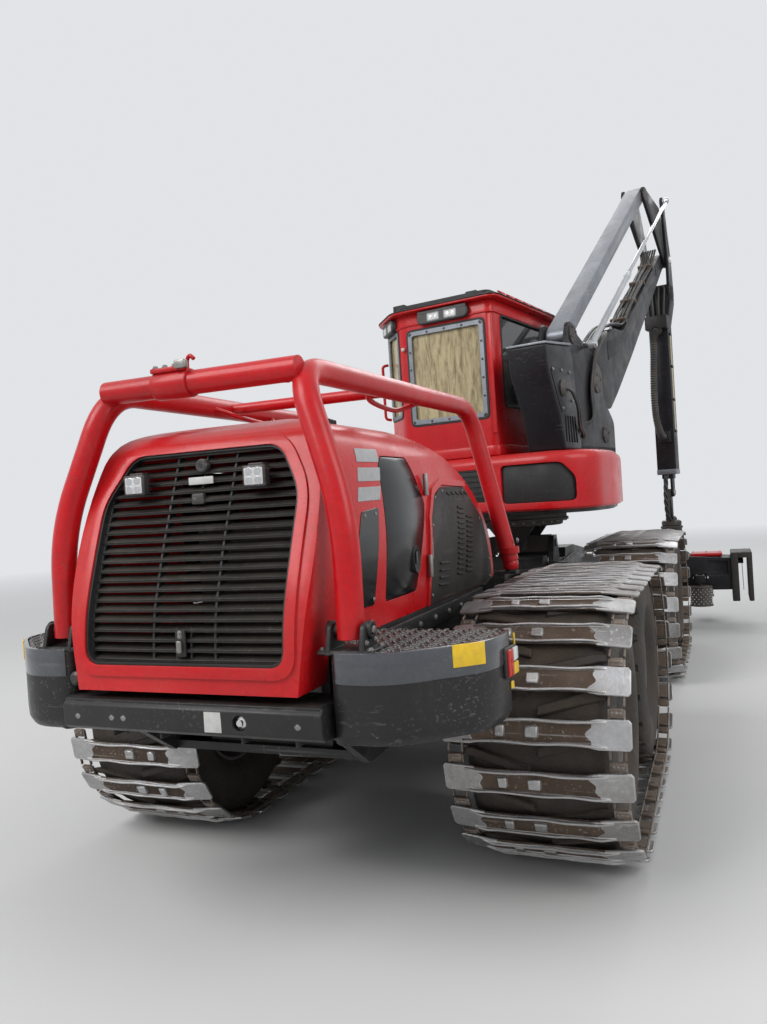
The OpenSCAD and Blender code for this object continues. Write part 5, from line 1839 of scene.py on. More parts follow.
@dataclass
class Bumper:
    """Rear bumper: two step boxes with grip plates, a band whose blue-grey colour is a painted sky reflection, a
    low ledge and the guard frame's hinges.

    Attributes:
        low: Underside.
        high: Top of the steps.
        ledge: Top of the ledge.
        outline: Right half of the plan (right, forward) from the inner rear corner round to the frame.
    """

    low: float = 1.016
    high: float = 1.370
    ledge: float = 1.165
    outline: tuple = ((0.62, -0.030), (0.87, -0.030), (1.185, 0.256), (1.21, 0.54), (0.5403, 0.54),
                      (0.5403, 0.1597), (0.62, 0.1597))

    def box(self) -> bpy.types.Object:
        """Models the right step box, its lower lip drawn in.

        Returns:
            The object.
        """
        corners = [(p.x, p.y) for p in rounded([(x, y, 0) for x, y in self.outline], 0.10, 5)]
        box = Bench.plan("box", corners, self.low, self.high - 0.014, 0.0)
        Bench.pick(box)
        bpy.ops.object.mode_set(mode="EDIT")
        for z in (1.052, 1.10, 1.245):
            bpy.ops.mesh.select_all(action="SELECT")
            bpy.ops.mesh.bisect(plane_co=(0, 0, z), plane_no=(0, 0, 1))
        bpy.ops.object.mode_set(mode="OBJECT")
        middle = Vector((0.80, 0.30))
        for vertex in box.data.vertices:
            co = vertex.co
            out = co.x > 0.70 and (co.y < 0.20 or co.x > 1.0)
            if out and co.z < 1.03:
                away = (Vector((co.x, co.y)) - middle).normalized() * 0.022
                co.x, co.y = co.x - away.x, co.y - away.y
        return Bench.bevel(box, 0.006, 2)

    def grip(self) -> bpy.types.Object:
        """Models the step's grip plate with rows of slanted bars.

        Returns:
            The object.
        """
        corners = [(p.x, p.y) for p in rounded([(x, y, 0) for x, y in inset(self.outline, 0.022)], 0.08, 4)]
        plate = Bench.plan("plate", corners, self.high - 0.018, self.high - 0.008, 0.002, 1)
        bar = Bench.block("bar", (-0.013, -0.003, self.high - 0.010), (0.013, 0.003, self.high - 0.001),
                          0.0015, 1)
        moves = []
        for row in range(17):
            for col in range(17):
                x, y = 0.60 + 0.036 * col + 0.018 * (row % 2), 0.005 + 0.032 * row
                edge = 1.14 + 0.05 * (y / 0.5) if y > 0.24 else 0.86 + (y + 0.0) * 1.10
                if x > edge or (x < 0.63 and y < 0.17):
                    continue
                turn = math.radians(45 if (row + col) % 2 else -45)
                moves.append(Matrix.Translation((x, y, 0)) @ Matrix.Rotation(turn, 4, "Z"))
        return Bench.join("grip", [plate, Bench.copies(bar, moves)])

    def band(self) -> bpy.types.Object:
        """Models the band round the step's upper edge. Its blue-grey colour is a painted sky reflection.

        Returns:
            The object.
        """
        outer = [(p.x, p.y) for p in rounded([(x, y, 0) for x, y in self.outline], 0.10, 5)]
        wide = [(p.x, p.y) for p in rounded([(x, y, 0) for x, y in inset(self.outline, -0.003)], 0.10, 5)]
        band = Bench.plan("band", wide, 1.248, self.high - 0.002, 0.004, 2)
        Bench.boolean(band, Bench.plan("cut", inset(outer, 0.016), 1.2, 1.5, 0.0))
        keep = Bench.block("keep", (0.655, -0.2, 1.1), (1.3, 0.52, 1.5), 0.0)
        return Bench.boolean(band, keep, "INTERSECT")

    def hinge(self) -> list[tuple[Paint, bpy.types.Object]]:
        """Models the guard frame's hinge bracket with its pin, boss and bolts.

        Returns:
            Each part with its finish.
        """
        plates, steel = [], []
        for s in (-1, 1):
            x = 0.70 + s * 0.070
            outline = rounded([(-0.028, 1.352, 0), (0.12, 1.352, 0), (0.098, 1.47, 0), (0.06, 1.478, 0),
                               (0.002, 1.47, 0)], 0.02, 3)
            plates.append(Bench.side("plate", [(p.x, p.y) for p in outline], x - 0.0095, x + 0.0095, 0.003))
            plates.append(Bench.turned("boss",
                                       [(0.0205, 0.0), (0.036, 0.0), (0.036, 0.010), (0.032, 0.014),
                                        (0.0205, 0.014)], (x + s * 0.0095, 0.05, 1.445), (s, 0, 0), 20))
            steel.append(Bench.bolts([(x + s * 0.0095, 0.05, 1.445)], (s, 0, 0), 0.017, 0.020))
            steel.append(Bench.bolts([(x + s * 0.0095, 0.095, 1.40), (x + s * 0.0095, 0.01, 1.40)], (s, 0, 0),
                                     0.009, 0.009))
        foot = Bench.block("foot", (0.585, -0.02, self.high - 0.012), (0.815, 0.125, self.high + 0.006),
                           0.004)
        plates.append(foot)
        steel.append(Bench.rod("pin", (0.62, 0.05, 1.445), (0.78, 0.05, 1.445), 0.0198, 0.002, 20))
        steel.append(Bench.bolts([(0.60, 0.0, self.high + 0.006), (0.60, 0.10, self.high + 0.006),
                                  (0.80, 0.0, self.high + 0.006), (0.80, 0.10, self.high + 0.006)], (0, 0, 1),
                                 0.010, 0.009))
        return [(Paint.BLACK, Bench.join("plates", plates)), (Paint.BOLT, Bench.join("steel", steel))]

    def middle(self) -> bpy.types.Object:
        """Models the low ledge with its folded rear lip and the tow bore.

        Returns:
            The object.
        """
        nose = [(-0.088, 1.056), (-0.062, 1.037), (0.16, 1.017), (0.16, self.ledge), (-0.070, self.ledge),
                (-0.0895, 1.146)]
        ledge = Bench.side("ledge", nose, -0.62, 0.62, 0.006, 3)
        Bench.boolean(ledge, Bench.rod("cut", (0, 0.04, 0.9), (0, 0.04, 1.3), 0.025, 0.0, 32))
        Bench.boolean(ledge, Bench.rod("cut", (0.262, -0.2, 1.101), (0.262, -0.066, 1.101), 0.032, 0.0, 28))
        lip = Bench.side("lip",
                         [(-0.075, self.ledge - 0.01), (0.02, self.ledge - 0.01), (0.02, self.ledge + 0.004),
                          (-0.055, self.ledge + 0.012), (-0.078, self.ledge + 0.004)], -0.615, 0.615,
                         0.004)
        ribs = [Bench.block("rib", (x - 0.006, 0.02, 0.985), (x + 0.006, 0.15, 1.03), 0.002)
                for x in (-0.45, -0.2, 0.2, 0.45)]
        return Bench.join("ledge", [ledge, lip, *ribs])

    def build(self) -> None:
        """Builds the bumper."""
        piece = Piece("rear_bumper", "rear", Place.VEHICLE, "paint_black")
        piece.add(Paint.BLACK, Bench.mirrored(self.box()), self.middle())
        # The band's blue-grey finish is a painted sky reflection
        piece.add(Paint.BUMPER_SKY_REFLECTION_BAND, Bench.mirrored(self.band()))
        piece.add(Paint.GRIP, Bench.mirrored(self.grip()))
        for paint, part in self.hinge():
            piece.add(paint, Bench.mirrored(part))
        reflector = Bench.block("reflector", (0.036, -0.0065, 1.283), (0.172, 0.0, 1.370), 0.003)
        strip = Bench.block("strip", (0.262, -0.0065, 1.30), (0.276, 0.0, 1.352), 0.002)
        mark = Bench.block("mark", (0.20, -0.008, 1.135), (0.232, 0.0, 1.165), 0.004)
        for part in (strip, mark):
            part.data.transform(TailLamps().on_side())
        along = Vector((0.315, 0.286, 0)).normalized()
        corner = Matrix.Translation((0.87 + 0.17, -0.030 + 0.154,
                                     0)) @ Matrix.Rotation(math.atan2(along.y, along.x), 4, "Z")
        reflector.data.transform(corner)
        piece.add(Paint.YELLOW, Bench.mirrored(Bench.join("marks", [reflector, strip, mark])))
        face = -0.0885
        piece.add(Paint.BLANK,
                  Bench.block("plate", (0.100, face - 0.001, 1.060), (0.180, face + 0.012, 1.143), 0.002))
        fitting = [(0.0, 0.0), (0.027, 0.0), (0.027, 0.007), (0.020, 0.010), (0.013, 0.012), (0.013, 0.022),
                   (0.0, 0.022)]
        piece.add(Paint.CHROME, Bench.turned("fitting", fitting, (0.262, -0.065, 1.101), (0, -1, 0), 24))
        piece.add(Paint.BOLT,
                  Bench.bolts([(-0.30, face, 1.10), (-0.36, face, 1.10), (0.52, face, 1.10),
                               (-0.54, face, 1.10)],
                              (0, -1, 0), 0.010, 0.001))
        knob = Bench.turned("knob",
                            [(0.0, -0.05), (0.018, -0.05), (0.030, -0.04), (0.033, -0.02), (0.026, 0.0),
                             (0.0, 0.0)], (-0.585, 0.0, 1.245), (0, 1, 0), 20)
        hose = Bench.sweep("hose",
                           smooth_path([(-0.585, -0.01, 1.245), (-0.58, 0.04, 1.25), (-0.56, 0.09, 1.22),
                                        (-0.555, 0.12, 1.17), (-0.555, 0.125, 1.155)], 5), 0.016, 3)
        piece.add(Paint.HOSE, knob, hose)
        piece.close("bumper")


@dataclass
class GuardFrame:
    """The red tube frame over the hood, with its sleeve joint, cross bars and feet.

    Attributes:
        radius: Radius of the tube.
        corners: Corners of the right tube's middle line.
        bend: How far before a corner its bend starts.
    """

    radius: float = 0.055
    corners: tuple = ((0.70, 0.05, 1.41), (0.70, 0.06, 1.88), (0.48, 0.165, 2.49), (0.54, 2.36, 2.498),
                      (0.74, 2.44, 1.49))
    bend: float = 0.20

    def line(self) -> list[Vector]:
        """Gives the tube's middle line with rounded corners.

        Returns:
            The points of the line.
        """
        p = [Vector(q) for q in self.corners]
        path = [p[0]]
        for a, b, c in zip(p, p[1:], p[2:]):
            i, o = b + (a - b).normalized() * self.bend, b + (c - b).normalized() * self.bend
            for k in range(11):
                t = k / 10
                path.append(i * (1 - t) ** 2 + b * 2 * t * (1 - t) + o * t * t)
        return [*path, p[-1]]

    def build(self) -> None:
        """Builds the frame."""
        piece = Piece("guard_tubes", "guard", Place.VEHICLE, "paint_red")
        tube = Bench.sweep("tube", self.line(), self.radius, 6)
        Bench.boolean(tube, Bench.rod("cut", (0.5, 0.05, 1.445), (0.9, 0.05, 1.445), 0.0202, 0.0, 24))
        piece.add(Paint.RED_GUARD, Bench.mirrored(tube))
        bar = Bench.rod("bar", (-0.49, 0.170, 2.485), (0.49, 0.170, 2.485), 0.052, 0.0, 28)
        rear_bar = Bench.rod("bar", (-0.525, 1.15, 2.49), (0.525, 1.15, 2.49), 0.030, 0.0, 24)
        piece.add(Paint.RED_GUARD, bar, rear_bar)
        gusset = [Bench.rear("gusset", ((0.44, 2.43), (0.30, 2.445), (0.30, 2.50), (0.46, 2.50)), 0.163,
                             0.176, 0.003)]
        piece.add(Paint.RED_GUARD, Bench.mirrored(Bench.join("gusset", gusset)))
        sleeve = Bench.turned("sleeve",
                              [(0.0525, -0.09), (0.060, -0.09), (0.062, -0.084), (0.062, 0.084),
                               (0.060, 0.09),
                               (0.0525, 0.09)], (-0.12, 0.170, 2.485), (1, 0, 0), 28)
        clamp = Bench.block("clamp", (-0.21, 0.118, 2.535), (-0.03, 0.150, 2.556), 0.005)
        piece.add(Paint.RED_GUARD, sleeve, clamp)
        latch = Bench.block("latch", (-0.075, 0.105, 2.54), (-0.02, 0.135, 2.578), 0.006, 3)
        piece.add(Paint.BOLT,
                  Bench.bolts([(x, 0.134, 2.556) for x in (-0.19, -0.14, -0.09)], (0, 0, 1), 0.011, 0.012),
                  latch)
        hook = Bench.sweep("hook",
                           smooth_path([(-0.05, 0.17, 2.53), (-0.05, 0.17, 2.58), (-0.035, 0.17, 2.60),
                                        (-0.015, 0.17, 2.585)], 5), 0.009, 3)
        piece.add(Paint.RED_GUARD, hook)
        foot = Bench.turned("foot",
                            [(0.0, 0.0), (0.044, 0.0), (0.0495, 0.006), (0.0495, 0.052), (0.044, 0.059),
                             (0.0, 0.059)], (0.74, 2.44, 1.4353), (0, 0, 1), 28)
        collar = Bench.turned("collar", [(0.050, -0.022), (0.064, -0.020), (0.064, 0.020), (0.050, 0.022)],
                              (0.738, 2.432, 1.56), (0.0, -0.05, 1.0), 28)
        piece.add(Paint.RED_GUARD, Bench.mirrored(Bench.join("foot", [foot, collar])))
        piece.add(Paint.BOLT, Bench.mirrored(Bench.bolts([(0.792, 2.43, 1.62)], (1, 0, 0), 0.013, 0.011)))
        strut = Bench.sweep("strut", smooth_path([(0.50, 0.95, 2.485), (0.44, 0.98, 2.47), (0.40, 1.10, 2.44),
                                                  (0.40, 1.40, 2.42), (0.44, 1.55, 2.45),
                                                  (0.515, 1.60, 2.485)], 6), 0.014, 3)
        piece.add(Paint.RED_GUARD, Bench.mirrored(strut))
        piece.close("guard_frame", angle=45.0)


@dataclass
class FrameDetails:
    """Bolted plates, steps and hoses along the frames' sides, seen between the hood and the tracks.

    Attributes:
        plate_x: Outer face of the frames' side plates.
    """

    plate_x: float = 0.54

    def rear(self) -> None:
        """Builds the details of the rear frame."""
        piece = Piece("rear_frame_details", "rear", Place.VEHICLE, "paint_black")
        x = self.plate_x
        beam = Bench.side("beam", ((0.60, 1.235), (2.38, 1.235), (2.38, 1.330), (0.60, 1.330)), x, x + 0.026,
                          0.006)
        block = Bench.side("block",
                           ((2.56, 1.02), (3.55, 1.02), (3.62, 1.10), (3.62, 1.245), (2.95, 1.29),
                            (2.66, 1.33),
                            (2.56, 1.30)), x, x + 0.030, 0.012, 3)
        arch = Bench.turned("arch",
                            [(0.10, -0.005), (0.155, -0.005), (0.16, 0.012), (0.15, 0.022), (0.11, 0.022),
                             (0.10, 0.012)], (x + 0.03, 2.84, 1.16), (1, 0, 0), 28)
        piece.add(Paint.BLACK, Bench.mirrored(Bench.join("plates", [beam, block, arch])))
        bolts = [(x + 0.026, 0.70 + 0.235 * k, 1.282) for k in range(8)]
        bolts += [(x + 0.030, y, z) for y,
                  z in ((2.62, 1.06), (3.52, 1.07), (3.52, 1.20), (2.62, 1.26), (3.1, 1.06), (3.1, 1.23))]
        piece.add(Paint.BOLT, Bench.mirrored(Bench.bolts(bolts, (1, 0, 0), 0.013, 0.010)))
        hoses = [Bench.sweep("hose",
                             smooth_path([(dx, 2.70, 1.25), (dx, 3.05, 1.27 + 0.5 * lift),
                                          (dx * 0.9, 3.5, 1.22 + lift),
                                          (dx * 0.8, 3.9, 1.10 + lift), (dx * 0.7, 4.25, 1.09 + lift),
                                          (dx * 0.8, 4.7, 1.12 + lift), (dx, 5.06, 1.15)], 6), 0.017,
                             3)
                 for dx, lift in ((0.20, 0.05), (0.14, 0.08), (0.08, 0.04), (-0.10, 0.07), (-0.16, 0.04))]
        for hose in hoses:
            Paint.HOSE.dress(hose)
        piece.close()
        self.hoses(hoses)

    @staticmethod
    def hoses(hoses: list[bpy.types.Object]) -> None:
        """Joins the hoses that cross the middle joint into one object in the frame's axes.

        Args:
            hoses: The hoses.
        """
        obj = Bench.join("middle_joint_hoses", hoses)
        obj.data.name = "middle_joint_hoses"
        obj.data.transform(Place.VEHICLE.matrix())
        Bench.pick(obj)
        bpy.ops.object.shade_smooth_by_angle(angle=math.radians(50))
        start, end = Place.VEHICLE.matrix() @ Vector((0, 3.95,
                                                      1.1)), Place.VEHICLE.matrix() @ Vector((0, 4.92, 1.1))
        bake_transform(obj)
        LOG.info("middle_joint_hoses: blended between rear and front")

    def front(self) -> None:
        """Builds the details of the front frame."""
        piece = Piece("front_frame_details", "front", Place.VEHICLE, "paint_black")
        plate = Bench.side("plate",
                           ((5.12, 0.84), (7.42, 0.84), (7.60, 0.98), (7.55, 1.12), (6.85, 1.20),
                            (5.40, 1.12),
                            (5.12, 1.08)), 0.38, 0.402, 0.006)
        step = Bench.block("step", (0.38, 5.30, 1.19), (0.56, 5.56, 1.215), 0.005)
        piece.add(Paint.BLACK, Bench.mirrored(Bench.join("plates", [plate, step])))
        bolts = [(0.402, 5.2 + 0.31 * k, 0.90) for k in range(8)]
        bolts += [(0.402, 5.2 + 0.31 * k, 1.05) for k in range(7)]
        piece.add(Paint.BOLT, Bench.mirrored(Bench.bolts(bolts, (1, 0, 0), 0.013, 0.010)))
        piece.close()

    def build(self) -> None:
        """Builds the details of both frames."""
        self.rear()
        self.front()


@dataclass
class Cab:
    """Cab on its turning platform: posts, gaskets, panes, roof, lamps, rails, seat and door.

    Attributes:
        plan: Plan outline, counter-clockwise from the rear right corner.
        low: Underside of the walls.
        high: Top of the walls.
        wall: Thickness of the walls.
        windows: Each window's wall, span along it, and span in height.
        door: The door's span along its wall and in height.
        corner: Radius of the windows' corners.
    """

    plan: tuple = ((0.34, -1.15), (0.36, 0.56), (0.12, 0.95), (-0.76, 0.95), (-1.05, 0.42), (-1.03, -0.80),
                   (-0.66, -1.15))
    low: float = 2.2903
    high: float = 3.76
    wall: float = 0.06
    windows: tuple = ((0, 0.18, 1.56, 2.75, 3.64), (1, 0.04, 0.40, 2.60, 3.64), (2, 0.06, 0.82, 2.48, 3.66),
                      (3, 0.06, 0.54, 2.60, 3.64), (5, 0.05, 0.46, 2.74, 3.64), (6, 0.07, 0.93, 2.64, 3.60))
    door: tuple = (0.12, 1.12, 2.42, 3.70)
    corner: float = 0.06

    def on_wall(self, i: int) -> Matrix:
        """A wall's axes: X along it from its first corner, Y inwards.

        Args:
            i: Number of the wall.

        Returns:
            A matrix.
        """
        a, b = Vector((*self.plan[i], 0)), Vector((*self.plan[(i + 1) % len(self.plan)], 0))
        turn = math.atan2(b.y - a.y, b.x - a.x)
        return Matrix.Translation(a) @ Matrix.Rotation(turn, 4, "Z")

    def length(self, i: int) -> float:
        """Gives the length of a wall.

        Args:
            i: Number of the wall.

        Returns:
            The length.
        """
        return (Vector(self.plan[(i + 1) % len(self.plan)]) - Vector(self.plan[i])).length

    def panel(self, name: str, x0: float, x1: float, z0: float, z1: float, y0: float, y1: float,
              corner: float = 0.05, edge: float = 0.002) -> bpy.types.Object:
        """Models an upright plate with rounded corners in a wall's axes.

        Args:
            name: Name of the object.
            x0: Left side.
            x1: Right side.
            z0: Bottom.
            z1: Top.
            y0: Inner face.
            y1: Outer face.
            corner: Radius of its corners.
            edge: Width of its rounded edges.

        Returns:
            The object.
        """
        corners = [(x0, z0, 0), (x1, z0, 0), (x1, z1, 0), (x0, z1, 0)]
        flat = rounded(corners, corner, 4) if corner else [Vector(c) for c in corners]
        return Bench.rear(name, [(p.x, p.y) for p in flat], y0, y1, edge, 1)

    def frame(self, x0: float, x1: float, z0: float, z1: float, width: float, y0: float, y1: float,
              corner: float, edge: float = 0.003) -> bpy.types.Object:
        """Models a frame of a width inside a rectangle in a wall's axes.

        Args:
            x0: Left side.
            x1: Right side.
            z0: Bottom.
            z1: Top.
            width: Width of the bar.
            y0: Inner face.
            y1: Outer face.
            corner: Radius of its corners.
            edge: Width of its rounded edges.

        Returns:
            The object.
        """
        outer = self.panel("frame", x0, x1, z0, z1, y0, y1, corner, 0.0)
        cut = self.panel("cut", x0 + width, x1 - width, z0 + width, z1 - width, y0 - 0.1, y1 + 0.1,
                         max(0.01, corner - width * 0.5), 0.0)
        return Bench.bevel(Bench.boolean(outer, cut), edge, 1)

    def shell(self) -> bpy.types.Object:
        """Models the red walls with round-cornered openings.

        Returns:
            The object.
        """
        outline = [(p.x, p.y) for p in rounded([(x, y, 0) for x, y in self.plan], 0.085, 4)]
        shell = Bench.plan("shell", outline, self.low, self.high, 0.010, 2)
        inner = [(p.x, p.y) for p in rounded([(x, y, 0) for x, y in inset(self.plan, self.wall)], 0.04, 2)]
        Bench.boolean(shell, Bench.plan("cut", inner, self.low + 0.06, self.high + 0.1, 0.0))
        for i, x0, x1, z0, z1 in self.windows:
            cut = self.panel("cut", x0, x1, z0, z1, -0.1, 0.2, self.corner, 0.0)
            cut.data.transform(self.on_wall(i))
            Bench.boolean(shell, cut)
        x0, x1, z0, z1 = self.door
        cut = self.panel("cut", x0, x1, z0, z1, -0.1, 0.2, 0.05, 0.0)
        cut.data.transform(self.on_wall(4))
        return Bench.boolean(shell, cut)

    def build_walls(self) -> None:
        """Builds the walls with their posts, folds, gaskets and rails."""
        piece = Piece("cab_walls", "platform", Place.PLATFORM, "paint_red")
        piece.add(Paint.RED, self.shell())
        for i, x0, x1, z0, z1 in self.windows:
            gasket = self.frame(x0, x1, z0, z1, 0.022, -0.006, 0.05, self.corner)
            gasket.data.transform(self.on_wall(i))
            piece.add(Paint.PLASTIC, gasket)
        x0, x1, z0, z1 = self.windows[-1][1:]
        border = self.frame(x0 + 0.020, x1 - 0.020, z0 + 0.020, z1 - 0.020, 0.045, -0.010, 0.012, 0.05)
        dots = [(x, -0.010, z) for z in (z0 + 0.042, z1 - 0.042)
                for x in (x0 + 0.05 + (x1 - x0 - 0.1) * k / 4 for k in range(5))]
        dots += [(x, -0.010, z) for x in (x0 + 0.042, x1 - 0.042)
                 for z in (z0 + 0.05 + (z1 - z0 - 0.1) * k / 5 for k in range(6))]
        bolts = Bench.bolts(dots, (0, -1, 0), 0.009, 0.006)
        for part in (border, bolts):
            part.data.transform(self.on_wall(6))
        piece.add(Paint.SILVER, border)
        piece.add(Paint.LAMP_CASE, bolts)
        x0, x1, z0, z1 = self.windows[-2][1:]
        border = self.frame(x0 + 0.018, x1 - 0.018, z0 + 0.018, z1 - 0.018, 0.034, -0.008, 0.012, 0.05)
        border.data.transform(self.on_wall(5))
        piece.add(Paint.SILVER, border)
        skirt = [(p.x, p.y) for p in rounded([(x, y, 0) for x, y in inset(self.plan, -0.012)], 0.09, 4)]
        piece.add(Paint.RED, Bench.plan("sill", skirt, self.low, self.low + 0.10, 0.012, 2),
                  Bench.plan("fold", skirt, self.high - 0.125, self.high - 0.105, 0.005, 1))
        post = Bench.block("post", (0.955, -0.016, 2.50), (1.0, 0.0, 3.62), 0.008, 3)
        post.data.transform(self.on_wall(6))
        piece.add(Paint.RED, post)
        rail = Bench.sweep("rail",
                           smooth_path([(0.02, -0.01, 3.36), (0.02, -0.065, 3.34), (0.02, -0.072, 3.26),
                                        (0.02, -0.072, 2.90),
                                        (0.02, -0.065, 2.80), (0.02, -0.01, 2.78)], 6), 0.015, 3)
        rail.data.transform(self.on_wall(5))
        knob = Bench.turned("knob", [(0.0, 0.0), (0.012, 0.0), (0.020, 0.02), (0.014, 0.034), (0.0, 0.036)],
                            (0.035, 0.0, 3.42), (0, -1, 0), 16)
        knob.data.transform(self.on_wall(6))
        piece.add(Paint.RED_GUARD, rail)
        piece.add(Paint.BLANK, knob)
        pins = [Bench.rod("pin", (self.door[1] - 0.003, -0.022, z - 0.062),
                          (self.door[1] - 0.003, -0.022, z + 0.062), 0.0139, 0.003, 16)
                for z in (2.62, 3.38)]
        hinges = Bench.join("hinges", pins)
        hinges.data.transform(self.on_wall(4))
        piece.add(Paint.BLACK, hinges)
        piece.close("cab_shell")

    def build_panes(self) -> None:
        """Builds the panes, which are flat plates with ground edges."""
        piece = Piece("cab_panes", "platform", Place.PLATFORM, "glass")
        for i, x0, x1, z0, z1 in self.windows:
            pane = self.panel("pane", x0 + 0.004, x1 - 0.004, z0 + 0.004, z1 - 0.004, 0.020, 0.032,
                              self.corner - 0.004, 0.001)
            pane.data.transform(self.on_wall(i))
            piece.add(Paint.REAR_GLASS if i in (5, 6) else Paint.SIDE_GLASS, pane)
        piece.close("cab_glass")

    def build_inside(self) -> None:
        """Builds the dark lining, the control stands and the screen behind the glass."""
        piece = Piece("cab_lining", "platform", Place.PLATFORM, "panel")
        outline = [(p.x, p.y)
                   for p in rounded([(x, y, 0) for x, y in inset(self.plan, self.wall + 0.002)], 0.03, 2)]
        floor = Bench.plan("floor", outline, self.low + 0.0605, self.low + 0.070, 0.002, 1)
        ceiling = Bench.plan("ceiling", outline, self.high - 0.10, self.high - 0.03, 0.02, 2)
        piece.add(Paint.PLASTIC, floor)
        piece.add(Paint.LINING, ceiling)
        for s in (-1, 1):
            stand = Bench.block("stand", (-0.35 + s * 0.33 - 0.07, -0.30, 2.62),
                                (-0.35 + s * 0.33 + 0.07, 0.20, 2.80), 0.03, 3)
            leg = Bench.block("leg", (-0.35 + s * 0.33 - 0.04, -0.22, 2.362),
                              (-0.35 + s * 0.33 + 0.04, -0.04, 2.63), 0.015, 2)
            knob = Bench.turned("stick",
                                [(0.0, 0.0), (0.030, 0.0), (0.014, 0.02), (0.014, 0.07), (0.026, 0.10),
                                 (0.024, 0.14),
                                 (0.0, 0.15)], (-0.35 + s * 0.33, 0.13, 2.795), (0, 0, 1), 16)
            piece.add(Paint.PLASTIC, stand, leg, knob)
        shelf = Bench.block("shelf", (-0.50, -1.075, 2.50), (0.20, -0.80, 2.74), 0.03, 3)
        screen = Bench.block("screen", (-0.10, 0.30, 2.90), (0.20, 0.33, 3.12), 0.012, 3)
        arm = Bench.rod("arm", (0.10, 0.33, 3.0), (0.26, 0.42, 2.95), 0.012)
        piece.add(Paint.PLASTIC, shelf, screen, arm)
        stuff = [Bench.block("box", (-0.42 + 0.15 * k, -1.03, 2.738),
                             (-0.31 + 0.15 * k, -0.90, 2.80 + 0.025 * (k % 3)), 0.015, 3)
                 for k in range(4)]
        piece.add(Paint.TAN, Bench.join("stuff", stuff))
        piece.close()

    def build_seat(self) -> None:
        """Builds the seat: crowned cushions on a moulded base."""
        piece = Piece("operator_seat", "platform", Place.PLATFORM, "seat")
        base = self.low + 0.06
        bellows = [Bench.block("fold", (-0.55 + 0.012 * (k % 2), -0.42, base + 0.03 + 0.035 * k),
                               (-0.15 - 0.012 * (k % 2), -0.04, base + 0.062 + 0.035 * k), 0.012, 3)
                   for k in range(6)]
        piece.add(Paint.PLASTIC, Bench.join("bellows", bellows))
        cushion = Bench.block("cushion", (-0.595, -0.475, base + 0.255), (-0.105, 0.035, base + 0.385), 0.045,
                              4)
        back = Bench.block("back", (-0.595, -0.595, base + 0.30), (-0.105, -0.465, base + 1.005), 0.045, 4)
        for obj, axis in ((cushion, 2), (back, 1)):
            Bench.pick(obj)
            bpy.ops.object.mode_set(mode="EDIT")
            bpy.ops.mesh.select_all(action="SELECT")
            bpy.ops.mesh.subdivide(number_cuts=3, smoothness=0.0)
            bpy.ops.object.mode_set(mode="OBJECT")
            co = [v.co for v in obj.data.vertices]
            low, high = [min(c[k] for c in co) for k in range(3)], [max(c[k] for c in co) for k in range(3)]
            for vertex in obj.data.vertices:
                u = [(vertex.co[k] - low[k]) / (high[k] - low[k]) * 2 - 1 for k in range(3)]
                flat = [k for k in range(3) if k != axis]
                crown = (1 - u[flat[0]] ** 2) * (1 - u[flat[1]] ** 2)
                side = 1 if u[axis] > 0 else 0
                vertex.co[axis] -= side * (1 - crown) * 0.022
                groove = math.exp(-((abs(u[0]) - 0.62) / 0.05) ** 2)
                vertex.co[axis] -= side * groove * 0.010
        piece.add(Paint.SEAT, cushion, back)
        piece.close("seat", angle=60.0)

    def build_door(self) -> None:
        """Builds the door with its pane, gasket, handle and hinges."""
        x0, x1, z0, z1 = self.door
        gap = 0.006
        panel = self.panel("door", x0 + gap, x1 - gap, z0 + gap, z1 - gap, 0.0, self.wall, 0.045, 0.0)
        cut = self.panel("cut", x0 + 0.08, x1 - 0.08, z0 + 0.42, z0 + 1.20, -0.1, 0.2, 0.05, 0.0)
        Bench.bevel(Bench.boolean(panel, cut), 0.005, 2)
        gasket = self.frame(x0 + 0.08, x1 - 0.08, z0 + 0.42, z0 + 1.20, 0.020, -0.005, 0.05, 0.05)
        fold = self.panel("fold", x0 + 0.10, x1 - 0.10, z0 + 0.06, z0 + 0.36, -0.006, 0.004, 0.04, 0.004)
        handle = Bench.block("handle", (x0 + 0.045, -0.030, z0 + 0.52), (x0 + 0.068, -0.014, z0 + 0.66),
                             0.007, 3)
        feet = [Bench.block("foot", (x0 + 0.05, -0.018, z0 + a), (x0 + 0.064, 0.002, z0 + a + 0.016), 0.002)
                for a in (0.525, 0.64)]
        pins = [Bench.rod("pin", (x1 - 0.003, -0.022, z - 0.029), (x1 - 0.003, -0.022, z + 0.029), 0.0145,
                          0.003, 16)
                for z in (2.62, 3.38)]
        piece = Piece("cab_door_panel", "door", Place.PLATFORM, "paint_red")
        for paint, parts in {Paint.RED: [panel, fold], Paint.PLASTIC: [gasket, handle, *feet],
                             Paint.BLACK: pins}.items():
            for part in parts:
                part.data.transform(self.on_wall(4))
                piece.add(paint, part)
        piece.close("cab_door")
        pane = self.panel("pane", x0 + 0.084, x1 - 0.084, z0 + 0.424, z0 + 1.196, 0.020, 0.032, 0.046, 0.001)
        pane.data.transform(self.on_wall(4))
        glass = Piece("door_pane", "door", Place.PLATFORM, "glass")
        glass.add(Paint.SIDE_GLASS, pane)
        glass.close("door_glass")

